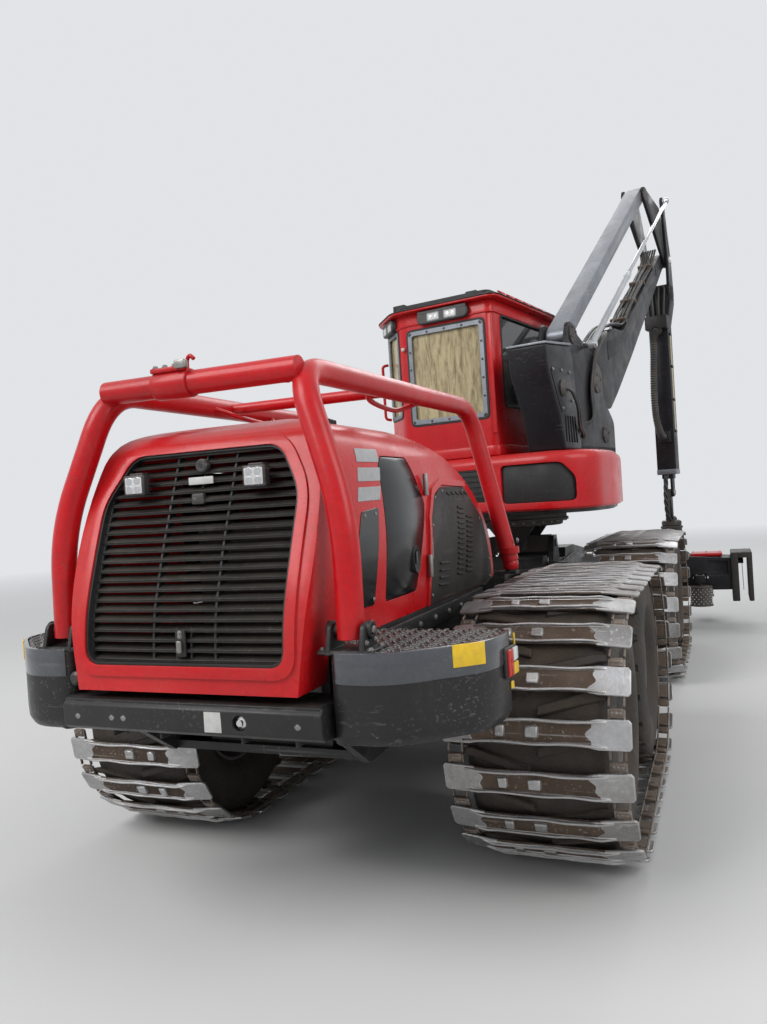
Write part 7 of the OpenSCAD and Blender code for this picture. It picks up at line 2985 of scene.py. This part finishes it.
        hoses = [Bench.sweep("hose",
                             smooth_path([(x, y - 0.16, 4.18), (x, y - 0.165, 4.28),
                                          (x * 1.1, y - 0.16, 4.42),
                                          (x * 1.15, y - 0.14, 4.55), (x, y - 0.11, 4.60)], 5), 0.015,
                             3)
                 for x in (-0.105, -0.04, 0.035, 0.10)]
        piece.add(Paint.HOSE, Bench.join("hoses", hoses))
        strap = Bench.block("strap", (0.125, y - 0.03, 2.62), (0.131, y + 0.035, 3.98), 0.002, 1)
        holders = [Bench.block("holder", (0.124, y - 0.045, z), (0.140, y + 0.05, z + 0.035), 0.004)
                   for z in (2.62, 3.05, 3.5, 3.94)]
        piece.add(Paint.TAN, strap)
        piece.add(Paint.PLASTIC, *holders)
        piece.add(Paint.BOLT,
                  Bench.bolts([(0.140, y + 0.002, z + 0.018) for z in (2.62, 3.05, 3.5, 3.94)], (1, 0, 0),
                              0.008, 0.006))
        end = Bench.block("collar", (-0.130, y - 0.106, 2.052), (0.130, y + 0.106, 2.12), 0.008, 3)
        Bench.boolean(end, Bench.block("cut", (-0.0753, y - 0.0753, 2.0), (0.0753, y + 0.0753, 2.2), 0.0))
        piece.add(Paint.SILVER, end)
        piece.close("stick")

    def build_extension(self) -> None:
        """Builds the extension, its lugs, the hanging link and the hoses to the rotator."""
        y = self.stick_y
        piece = Piece("extension_tube", "extension", Place.CRANE, "paint_black")
        tube = Bench.block("tube", (-0.0748, y - 0.0748, 1.991), (0.0748, y + 0.0748, 4.389), 0.010, 3)
        piece.add(Paint.CRANE, tube)
        for s in (-1, 1):
            lug = [(y - 0.07, 2.04), (y + 0.07, 2.04), (y + 0.060, 1.79), (y + 0.035, 1.752), (y, 1.74),
                   (y - 0.035, 1.752), (y - 0.060, 1.79)]
            piece.add(Paint.CRANE, Bench.side("lug", lug, s * 0.03, s * 0.06, 0.004))
            piece.add(Paint.BOLT, *self.boss((y, 1.80), 0.060, s, 0.045))
        piece.add(Paint.CHROME, Bench.rod("pin", (-0.074, y, 1.80), (0.074, y, 1.80), 0.0248, 0.003, 24))
        piece.close("extension")
        hang = Piece("tip_hanger", "hanger", Place.CRANE, "cast_black")
        bar = Bench.side("bar",
                         ((y - 0.045, 1.83), (y - 0.055, 1.79), (y - 0.050, 1.46), (y + 0.050, 1.46),
                          (y + 0.055, 1.79),
                          (y + 0.045, 1.83), (y, 1.853)), -0.0245, 0.0245, 0.0)
        Bench.boolean(bar, Bench.rod("cut", (-0.1, y, 1.80), (0.1, y, 1.80), 0.0252, 0.0, 24))
        Bench.bevel(bar, 0.006, 2, 40.0)
        neck = Bench.turned("neck",
                            [(0.0, 1.475), (0.045, 1.475), (0.065, 1.462), (0.075, 1.44), (0.075, 1.415),
                             (0.125, 1.408),
                             (0.130, 1.395), (0.130, 1.355), (0.125, 1.351), (0.0, 1.351)], (0, y, 0),
                            (0, 0, 1), 36)
        bolts = Bench.bolts([(0.105 * math.cos(a), y + 0.105 * math.sin(a), 1.409)
                             for a in (math.tau * k / 8 for k in range(8))],
                            (0, 0, 1), 0.011, 0.010)
        hang.add(Paint.CAST, bar, neck)
        hang.add(Paint.BOLT, bolts)
        for k in range(3):
            x = -0.035 + 0.035 * k
            hang.add(Paint.HOSE, Bench.sweep("hose",
                                             smooth_path([(x, y - 0.06, 1.44), (x, y - 0.085, 1.50),
                                                          (x, y - 0.09, 1.60), (x * 0.8, y - 0.08, 1.68),
                                                          (x * 0.6, y - 0.06, 1.73)], 5), 0.012, 3))
        hang.close("tip_link")

    def build_drop_hoses(self) -> None:
        """Builds the twisted hoses from the stick's foot to the rotator."""
        strands = []
        for k in range(3):
            line = []
            for i in range(49):
                t = i / 48
                out = 0.125 + 0.10 * math.sin(math.pi * t) ** 0.8 + 0.01 * t
                turn = 13.0 * t + math.tau * k / 3
                line.append((0.017 * math.cos(turn), self.stick_y - out + 0.017 * math.sin(turn),
                             2.04 - 0.62 * t))
            strands.append(Bench.sweep("strand", line, 0.0145, 3))
        self.lay("drop_hoses", strands, "extension", "hanger", (0, self.stick_y - 0.12, 1.95),
                 (0, self.stick_y - 0.12, 1.60))

    def build(self) -> None:
        """Builds the whole crane."""
        self.build_pillar()
        self.build_boom()
        self.build_root_hoses()
        self.build_link()
        self.build_cylinders()
        self.build_rocker()
        self.build_stick()
        self.build_extension()
        self.build_drop_hoses()


@dataclass
class HarvesterHead:
    """Harvester head: rotator, yoke, frame with its saw box, knives, feed rollers, arms and saw bar.

    Attributes:
        yoke_in: Inner face of the yoke's arms.
        yoke_out: Their outer face.
        tilt_z: Height of the tilt pin.
        half: Half width of the frame.
        knife_pin: Pin of a knife (outwards, height).
        arm_pin: Pin of a roller's arm (outwards, height).
        roller: Middle of a roller (along the stem, outwards).
    """

    yoke_in: float = 0.265
    yoke_out: float = 0.315
    tilt_z: float = 0.7
    half: float = 0.26
    knife_pin: Point = (0.2, 0.64)
    arm_pin: Point = (0.305, 0.65)
    roller: Point = (0.34, 0.47)

    def build_rotator(self) -> None:
        """Builds the rotator's motor with its flanges and ports."""
        piece = Piece("rotator_motor", "rotator", Place.HEAD, "cast_black")
        body = Bench.turned("body",
                            [(0.0, 1.2305), (0.142, 1.2305), (0.149, 1.238), (0.149, 1.262), (0.132, 1.27),
                             (0.132, 1.308),
                             (0.145, 1.316), (0.145, 1.336), (0.118, 1.349), (0.0, 1.349)], (0, 0, 0),
                            (0, 0, 1), 36)
        ports = [Bench.rod("port", (0.11 * math.cos(a), 0.11 * math.sin(a), 1.289),
                           (0.147 * math.cos(a), 0.147 * math.sin(a), 1.289), 0.016, 0.003, 16)
                 for a in (2.6, 3.1, 3.6, 4.1)]
        piece.add(Paint.CAST, body, *ports)
        ring = [(0.13 * math.cos(a), 0.13 * math.sin(a), 1.262)
                for a in (math.tau * k / 10 for k in range(10))]
        piece.add(Paint.BOLT, Bench.bolts(ring, (0, 0, 1), 0.010, 0.008))
        piece.close("rotator")

    def build_yoke(self) -> None:
        """Builds the tilting yoke: a plate with a red cover, a neck and two arms."""
        piece = Piece("head_yoke_arms", "rotator", Place.HEAD, "cast_black")
        plate = Bench.block("plate", (-0.13, -self.yoke_out, 1.12), (0.13, self.yoke_out, 1.172), 0.010, 3)
        neck = Bench.turned("neck",
                            [(0.0, 1.16), (0.138, 1.16), (0.138, 1.178), (0.112, 1.19), (0.112, 1.214),
                             (0.138, 1.222),
                             (0.138, 1.2295), (0.0, 1.2295)], (0, 0, 0), (0, 0, 1), 36)
        piece.add(Paint.CRANE, plate, neck)
        for s in (-1, 1):
            low = [(0.072 * math.cos(a), self.tilt_z + 0.075 * math.sin(a))
                   for a in (math.pi * (1 + k / 10) for k in range(11))]
            shape = [(-0.072, 0.72), *low[1:-1], (0.072, 0.68), (0.13, 0.90), (0.13, 1.14), (0.025, 1.14),
                     (0.025, 0.93)]
            arm = Bench.side("arm", [(p[0], p[1]) for p in shape], 0.0, 0.05, 0.0)
            arm.data.transform(Matrix(((0, 1, 0, 0), (s, 0, 0, s * self.yoke_in), (0, 0, 1, 0),
                                       (0, 0, 0, 1))))
            Bench.pick(arm)
            bpy.ops.object.mode_set(mode="EDIT")
            bpy.ops.mesh.select_all(action="SELECT")
            bpy.ops.mesh.normals_make_consistent(inside=False)
            bpy.ops.object.mode_set(mode="OBJECT")
            Bench.boolean(arm,
                          Bench.rod("cut", (0, s * 0.2, self.tilt_z), (0, s * 0.4, self.tilt_z), 0.0402, 0.0,
                                    28))
            Bench.bevel(arm, 0.006, 2, 40.0)
            piece.add(Paint.CRANE, arm)
            cover = Bench.plan("cover",
                               ((-0.125, s * 0.15), (0.125, s * 0.15), (0.125, s * 0.285), (0.10, s * 0.31),
                                (-0.10, s * 0.31),
                                (-0.125, s * 0.285)), 1.172, 1.196, 0.010, 3)
            piece.add(Paint.RED, cover)
            places = [(x, s * 0.205, 1.196) for x in (-0.09, 0.09)] + [(0.0, s * 0.29, 1.196)]
            piece.add(Paint.BOLT, Bench.bolts(places, (0, 0, 1), 0.010, 0.008))
        piece.close("head_yoke")

    def build_frame(self) -> None:
        """Builds the frame: a box with welded rims, tilt pin, motor, hose guard, saw box and brackets."""
        h = self.half
        outline = ((-0.29, 0.56), (-0.23, 0.48), (0.72, 0.48), (0.72, 0.90), (0.20, 0.93), (0.12, 0.98),
                   (-0.15, 0.98), (-0.29, 0.88))
        piece = Piece("head_frame_box", "head", Place.HEAD, "paint_black")
        body = Bench.rear("body", outline, -h, h, 0.0)
        Bench.boolean(body,
                      Bench.rear("cut", ((-0.20, 0.47), (0.70, 0.47), (0.70, 0.505), (-0.215, 0.505)), -0.17,
                                 0.17, 0.0))
        for s in (-1, 1):
            Bench.boolean(body,
                          Bench.rear("cut", ((0.45, 0.68), (0.68, 0.68), (0.68, 0.86), (0.45, 0.87)),
                                     s * (h - 0.03), s * (h + 0.05), 0.0))
            Bench.boolean(body,
                          Bench.rear("cut", ((-0.25, 0.72), (-0.12, 0.72), (-0.12, 0.90), (-0.25, 0.85)),
                                     s * (h - 0.03), s * (h + 0.05), 0.0))
        Bench.bevel(body, 0.008, 2, 35.0)
        piece.add(Paint.CRANE, body)
        for s in (-1, 1):
            pin = Bench.turned("pin",
                               [(0.0, h - 0.01), (0.060, h - 0.01), (0.060, h + 0.003), (0.0398, h + 0.003),
                                (0.0398, 0.3245), (0.034, 0.330),
                                (0.0, 0.330)], (0, 0, self.tilt_z), (0, s, 0), 28)
            piece.add(Paint.CHROME, pin)
        cover = Bench.block("cover", (0.22, -0.17, 0.915), (0.62, 0.17, 0.962), 0.018, 3)
        piece.add(Paint.RED, cover)
        piece.add(Paint.BOLT,
                  Bench.bolts([(x, y, 0.962) for x in (0.25, 0.42, 0.59) for y in (-0.14, 0.14)], (0, 0, 1),
                              0.010, 0.006))
        saw = [Bench.block("wall", (0.72, -0.30, 0.33), (0.81, 0.32, 0.97), 0.012, 3),
               Bench.block("wall", (0.92, -0.30, 0.33), (0.98, 0.32, 0.97), 0.012, 3),
               Bench.block("roof", (0.80, -0.30, 0.90), (0.93, 0.32, 0.97), 0.004)]
        for z in (0.45, 0.62, 0.79):
            saw.append(Bench.block("rib", (0.979, -0.28, z), (0.9805, 0.30, z + 0.03), 0.0005, 1))
        piece.add(Paint.GREY, *saw)
        motor = Bench.turned("motor",
                             [(0.0, 0.78), (0.042, 0.78), (0.0495, 0.786), (0.0495, 0.812), (0.044, 0.8195),
                              (0.0, 0.8195)], (0, 0.2, 0.82), (1, 0, 0), 24)
        piece.add(Paint.CAST, motor)
        for s in (-1, 1):
            y, z = s * self.knife_pin[0], self.knife_pin[1]
            piece.add(Paint.CHROME, Bench.rod("pin", (-0.413, y, z), (-0.28, y, z), 0.0298, 0.004, 24))
            for x in (0.2555, 0.4052):
                shape = [(s * (h - 0.01), 0.615), (s * (h - 0.01), 0.71), (s * 0.34, 0.685), (s * 0.34, 0.62)]
                bracket = Bench.plate("bracket", [(x, a, b) for a, b in shape], (0.0195, 0, 0), 0.003)
                piece.add(Paint.CRANE, bracket)
            y, z = s * self.arm_pin[0], self.arm_pin[1]
            piece.add(Paint.CHROME, Bench.rod("pin", (0.246, y, z), (0.439, y, z), 0.0198, 0.003, 20))
            hoses = [Bench.sweep("hose",
                                 smooth_path([(-0.10 + 0.04 * k, s * (0.10 + 0.02 * k), 0.975),
                                              (-0.05 + 0.05 * k, s * (0.13 + 0.03 * k), 0.995),
                                              (0.10 + 0.03 * k, s * (0.17 + 0.015 * k), 0.965),
                                              (0.20, s * (0.20 + 0.01 * k), 0.925)], 5),
                                 0.010, 3) for k in range(3)]
            for hose in hoses:
                for vertex in hose.data.vertices:
                    vertex.co.z = min(vertex.co.z, 0.9795)
            piece.add(Paint.HOSE, Bench.join("hoses", hoses))
        piece.close("head_frame")

    def build_knives(self) -> None:
        """Builds the two curved knives with their bright edges and hubs."""
        for side, s in SIDES.items():
            piece = Piece(f"knife_blade_{side}", f"knife_{side}", Place.HEAD, "worn_steel")
            outer, inner = [], []
            for k in range(25):
                a = math.radians(-86 + 156 * k / 24)
                outer.append((0.06 + 0.345 * math.cos(a), 0.40 + 0.345 * math.sin(a)))
                inner.append((0.04 + 0.271 * math.cos(a), 0.40 + 0.271 * math.sin(a)))
            shape = [p for p in outer if p[0] > 0.041] + [p for p in inner[::-1] if p[0] > 0.041]
            blade = Bench.plate("blade", [(-0.3805, s * y, z) for y, z in shape], (-0.089, 0, 0), 0.0)
            hub = Bench.rod("hub", (-0.3805, s * self.knife_pin[0], self.knife_pin[1]),
                            (-0.2905, s * self.knife_pin[0], self.knife_pin[1]), 0.0745, 0.0, 32)
            hub_cut = Bench.rod("cut", (-0.5, s * self.knife_pin[0], self.knife_pin[1]),
                                (-0.2, s * self.knife_pin[0], self.knife_pin[1]), 0.0302, 0.0, 28)
            blade.data.transform(Matrix.Translation((0.089, 0, 0)))
            Bench.boolean(blade, hub, "UNION")
            Bench.boolean(blade, hub_cut)
            Bench.bevel(blade, 0.006, 2, 40.0)
            piece.add(Paint.CAST, blade)
            edge = []
            for x in (-0.379, -0.304):
                for (y0, z0), (y1, z1) in zip(inner[3:21], inner[4:22]):
                    strip = ((y0, z0), (y1, z1), (y1 + 0.004, z1), (y0 + 0.004, z0))
                    edge.append(Bench.plate("edge", [(x, s * y, z) for y, z in strip], (0.012, 0, 0), 0.0))
            piece.add(Paint.CHROME, Bench.join("edge", edge))
            piece.close(f"knife_{side}")

    def build_arms(self) -> None:
        """Builds the arms of the feed rollers."""
        y0, z0 = self.arm_pin
        for side, s in SIDES.items():
            piece = Piece(f"feed_arm_{side}", f"roller_arm_{side}", Place.HEAD, "paint_black")
            reach = self.roller[1]
            shape = [(y0, z0 - 0.0335), (reach - 0.06, z0 - 0.045), (reach - 0.06, z0 - 0.05),
                     (reach + 0.06, z0 - 0.05), (reach + 0.06, z0 + 0.05), (reach - 0.04, z0 + 0.05),
                     (y0, z0 + 0.0335)]
            shape += [(y0 - 0.0335 * math.sin(math.pi * k / 8), z0 + 0.0335 * math.cos(math.pi * k / 8))
                      for k in range(1, 8)]
            arm = Bench.plate("arm", [(0.2805, s * a, b) for a, b in shape], (0.119, 0, 0), 0.0)
            Bench.boolean(arm, Bench.rod("cut", (0.2, s * y0, z0), (0.5, s * y0, z0), 0.0202, 0.0, 24))
            Bench.boolean(arm,
                          Bench.rod("cut", (0.34, s * reach, 0.55), (0.34, s * reach, 0.8), 0.0252, 0.0, 24))
            Bench.bevel(arm, 0.006, 2, 40.0)
            piece.add(Paint.CRANE, arm)
            piece.add(Paint.BOLT,
                      Bench.bolts([(x, s * (reach + b), z0 + 0.05) for x in (0.30, 0.38)
                                   for b in (-0.042, 0.042)], (0, 0, 1),
                                  0.008, 0.006))
            piece.close(f"roller_arm_{side}")

    def build_rollers(self) -> None:
        """Builds the spiked feed rollers."""
        x0, reach = self.roller
        for side, s in SIDES.items():
            piece = Piece(f"spiked_roller_{side}", f"roller_{side}", Place.HEAD, "worn_steel")
            drum = Bench.turned("drum",
                                [(0.0, 0.302), (0.120, 0.302), (0.131, 0.312), (0.131, 0.548), (0.120, 0.558),
                                 (0.0, 0.558)], (0, 0, 0), (0, 0, 1), 36)
            shaft = Bench.rod("shaft", (0, 0, 0.55), (0, 0, 0.699), 0.0248, 0.003, 24)
            rim = [Bench.turned("ring",
                                [(0.125, z), (0.1445, z + 0.002), (0.1445, z + 0.014), (0.125, z + 0.016)],
                                (0, 0, 0), (0, 0, 1), 36)
                   for z in (0.3015, 0.5425)]
            spike = Bench.rod("spike", (0.125, 0, 0), (0.1445, 0, 0), 0.013, 0.0, 4, 0.002)
            moves = []
            for row in range(7):
                for k in range(14):
                    turn = Matrix.Rotation(math.tau * (k + 0.5 * (row % 2)) / 14, 4, "Z")
                    moves.append(Matrix.Translation((0, 0, 0.335 + 0.0315 * row)) @ turn)
            spikes = Bench.copies(spike, moves)
            parts = [drum, shaft, *rim]
            for obj in (*parts, spikes):
                obj.data.transform(Matrix.Translation((x0, s * reach, 0)))
            piece.add(Paint.CAST, *parts)
            piece.add(Paint.SHOE, spikes)
            nuts = [(x0 + 0.07 * math.cos(a), s * reach + 0.07 * math.sin(a), 0.302)
                    for a in (math.tau * k / 8 for k in range(8))]
            piece.add(Paint.BOLT, Bench.bolts([(p[0], p[1], 0.311) for p in nuts], (0, 0, -1), 0.010, 0.010))
            piece.close(f"roller_{side}")

    def build_saw(self) -> None:
        """Builds the saw's bar with its chain's teeth and hub."""
        piece = Piece("saw_bar_chain", "saw_bar", Place.HEAD, "bright_steel")
        a, b = Vector((0.2, 0.82)), Vector((-0.25, 0.52))
        d = (b - a).normalized()
        n = Vector((-d.y, d.x))
        shape = []
        for middle, radius, way in ((a, 0.0545, -1), (b, 0.0395, 1)):
            for k in range(13):
                t = math.pi * k / 12
                shape.append(middle + n * radius * math.cos(t) * way * -1 + d * radius * math.sin(t) * way)
        bar = Bench.plate("bar", [(0.8565, p.x, p.y) for p in shape], (0.005, 0, 0), 0.001, 1)
        piece.add(Paint.CHROME, bar)
        teeth = []
        closed = shape + shape[:1]
        for p, q in zip(closed, closed[1:]):
            steps = max(1, int((q - p).length / 0.022))
            for k in range(steps):
                m = p.lerp(q, (k + 0.5) / steps)
                way = (q - p).normalized()
                out = Vector((way.y, -way.x))
                if (m + out * 0.01 - (a + b) / 2).length < (m - (a + b) / 2).length:
                    out = -out
                tooth = Bench.plate("tooth",
                                    [(0.856, *(m - way * 0.008)), (0.856, *(m + way * 0.008)),
                                     (0.856, *(m + way * 0.006 + out * 0.003)),
                                     (0.856, *(m - way * 0.006 + out * 0.0045))], (0.006, 0, 0), 0.0)
                teeth.append(tooth)
        piece.add(Paint.CAST, Bench.join("chain", teeth))
        hub = Bench.turned("hub",
                           [(0.0, 0.8205), (0.036, 0.8205), (0.0395, 0.824), (0.0395, 0.876), (0.036, 0.8795),
                            (0.0, 0.8795)], (0, 0.2, 0.82), (1, 0, 0), 24)
        piece.add(Paint.CAST, hub)
        piece.close("saw_bar")

    def build(self) -> None:
        """Builds the whole head."""
        self.build_rotator()
        self.build_yoke()
        self.build_frame()
        self.build_knives()
        self.build_arms()
        self.build_rollers()
        self.build_saw()

ASSEMBLIES: list = [Hood(), Grille(), Bumper(), GuardFrame(), FrameDetails(), Turntable(), Cab(), Platform(),
                    Crane(), HarvesterHead()]


# Finish of every node of the frame
NODE_PAINT: dict[Paint, tuple[str, ...]] = {
    Paint.BLACK: ("rear_frame", "bumper", "front_frame", "head_yoke"),
    Paint.CAST: ("rear_bogies", "front_bogies", "engine", "level_cradle", "slew_base", "rotator", "tip_link"),
    Paint.RIM: ("rear_rims", "front_rims"),
    Paint.RUBBER: ("rear_tyres", "front_tyres"),
    Paint.SHOE: ("rear_track_right", "rear_track_left", "front_track_right", "front_track_left"),
    Paint.RED: ("engine_hood", "platform", "cab_shell", "cab_door"),
    Paint.RED_GUARD: ("guard_frame",),
    Paint.PLASTIC: ("grille", "cab_roof"),
    Paint.GLOSS_BLACK: ("hatch_right", "hatch_left"),
    Paint.LAMP_CASE: ("rear_lamps", "cab_lamps"), Paint.GLASS: ("cab_glass",),
    Paint.DARK_GLASS: ("door_glass",), Paint.SEAT: ("seat",),
    Paint.CRANE: ("crane_pillar", "boom", "rocker", "stick", "extension", "lift_barrels", "head_frame",
                  "roller_arm_right", "roller_arm_left"),
    Paint.SILVER: ("link_arm",),
    Paint.CHROME: ("lift_rods", "fold_rods", "fold_barrels"), Paint.HOSE: ("stick_hose",),
    Paint.BOLT: ("knife_right", "knife_left", "roller_right", "roller_left", "saw_bar"), }


@dataclass
class Camera:
    """The photograph's camera.

    Attributes:
        place: Its position.
        yaw: Turn to the left of straight ahead.
        pitch: Angle up.
        roll: Angle about its own axis.
        lens: Focal length for a sensor of 36 mm on the longer side.
    """

    place: Point = (1.66899, -7.5838, 1.922)
    yaw: float = 22.643
    pitch: float = -0.70
    roll: float = -3.656
    lens: float = 28.652

    def build(self) -> bpy.types.Object:
        """Adds the camera and makes it the scene's.

        Returns:
            The camera.
        """
        y, p, r = (math.radians(a) for a in (self.yaw, self.pitch, self.roll))
        ahead = Vector((-math.sin(y) * math.cos(p), math.cos(y) * math.cos(p), math.sin(p)))
        right = ahead.cross(Vector((0, 0, 1))).normalized()
        up = right.cross(ahead)
        across, above = right * math.cos(r) + up * math.sin(r), up * math.cos(r) - right * math.sin(r)
        data = bpy.data.cameras.new("camera")
        data.lens = self.lens
        data.sensor_width = 36.0
        data.sensor_fit = "AUTO"
        data.clip_end = 400.0
        camera = bpy.data.objects.new("camera", data)
        camera.matrix_world = Matrix.Translation(self.place) @ Matrix((across, above,
                                                                       -ahead)).transposed().to_4x4()
        bpy.context.scene.collection.objects.link(camera)
        bpy.context.scene.camera = camera
        return camera


@dataclass
class Studio:
    """Pale floor, soft lamps and a pale surround.

    Attributes:
        floor: Half size of the floor.
        lamps: Each lamp's place, size and power.
        sky: Light of the surround on the object.
        seen: Light of the surround as the camera sees it.
        tint: Its colour.
    """

    floor: float = 60.0
    lamps: tuple = (((-7.0, -13.0, 12.0), 9.0, 1700.0), ((12.0, -5.0, 9.0), 8.0, 800.0),
                    ((0.0, 14.0, 12.0), 9.0, 800.0))
    sky: float = 0.54
    seen: float = 0.80
    tint: tuple = (0.95, 0.97, 1.0, 1.0)

    @staticmethod
    def in_view(n: Nodes) -> bpy.types.NodeSocket:
        """Gives 1 for rays that the camera, a shiny surface or glass sees, and 0 for light.

        Args:
            n: The nodes.

        Returns:
            The output socket.
        """
        ray = n.add("LightPath").outputs
        return n.math("MAXIMUM", ray["Is Camera Ray"],
                      n.math("MAXIMUM", ray["Is Glossy Ray"], ray["Is Transmission Ray"]))

    def build(self) -> None:
        """Adds the floor, which fades into the surround, the lamps and the world, and sets the plain view."""
        Bench.pick()
        bpy.ops.mesh.primitive_plane_add(size=2 * self.floor)
        floor = Bench.fetch("floor")
        material = bpy.data.materials.new("Pale floor")
        material.use_nodes = True
        n = Nodes(material.node_tree)
        shader = material.node_tree.nodes["Principled BSDF"]
        at = n.add("TexCoord").outputs["Object"]
        tone = n.blend(n.noise(at, 0.6, 4.0), (0.60, 0.60, 0.59), (0.64, 0.64, 0.63))
        material.node_tree.links.new(tone, shader.inputs["Base Color"])
        shader.inputs["Roughness"].default_value = 0.9
        shader.inputs["Specular IOR Level"].default_value = 0.2
        far = n.spread(n.add("VectorMath", {0: at}, operation="LENGTH").outputs["Value"], 9.0, 30.0)
        haze = n.add("Emission", {"Color": self.tint, "Strength": self.seen})
        mask = n.math("MULTIPLY", far, self.in_view(n))
        mixed = n.add("MixShader", {0: mask, 1: shader.outputs[0], 2: haze.outputs[0]})
        out = material.node_tree.nodes["Material Output"]
        material.node_tree.links.new(mixed.outputs[0], out.inputs["Surface"])
        floor.data.materials.append(material)
        for place, size, power in self.lamps:
            data = bpy.data.lights.new("lamp", "AREA")
            data.size = size
            data.energy = power
            lamp = bpy.data.objects.new("lamp", data)
            lamp.location = place
            lamp.rotation_euler = (Vector((0, -1, 1.5)) - Vector(place)).to_track_quat("-Z", "Y").to_euler()
            bpy.context.scene.collection.objects.link(lamp)
        world = bpy.data.worlds.new("surround")
        world.use_nodes = True
        bpy.context.scene.world = world
        n = Nodes(world.node_tree)
        strength = n.spread(self.in_view(n), 0.0, 1.0, (self.sky, self.seen))
        background = world.node_tree.nodes["Background"]
        background.inputs["Color"].default_value = self.tint
        world.node_tree.links.new(strength, background.inputs["Strength"])
        bpy.context.scene.view_settings.view_transform = "Standard"


def dress_nodes() -> None:
    """Gives every node of the frame its finish."""
    for paint, names in NODE_PAINT.items():
        for name in names:
            paint.dress(bpy.data.objects[name])


def main() -> None:
    """Builds the scene in order."""
    logging.basicConfig(level=logging.INFO, format="%(message)s")
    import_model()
    Camera().build()
    for assembly in (StickHose(), *TRACKS, *WHEELS, *ASSEMBLIES):
        assembly.build()
    dress_nodes()
    Studio().build()


if __name__ == "__main__":
    main()
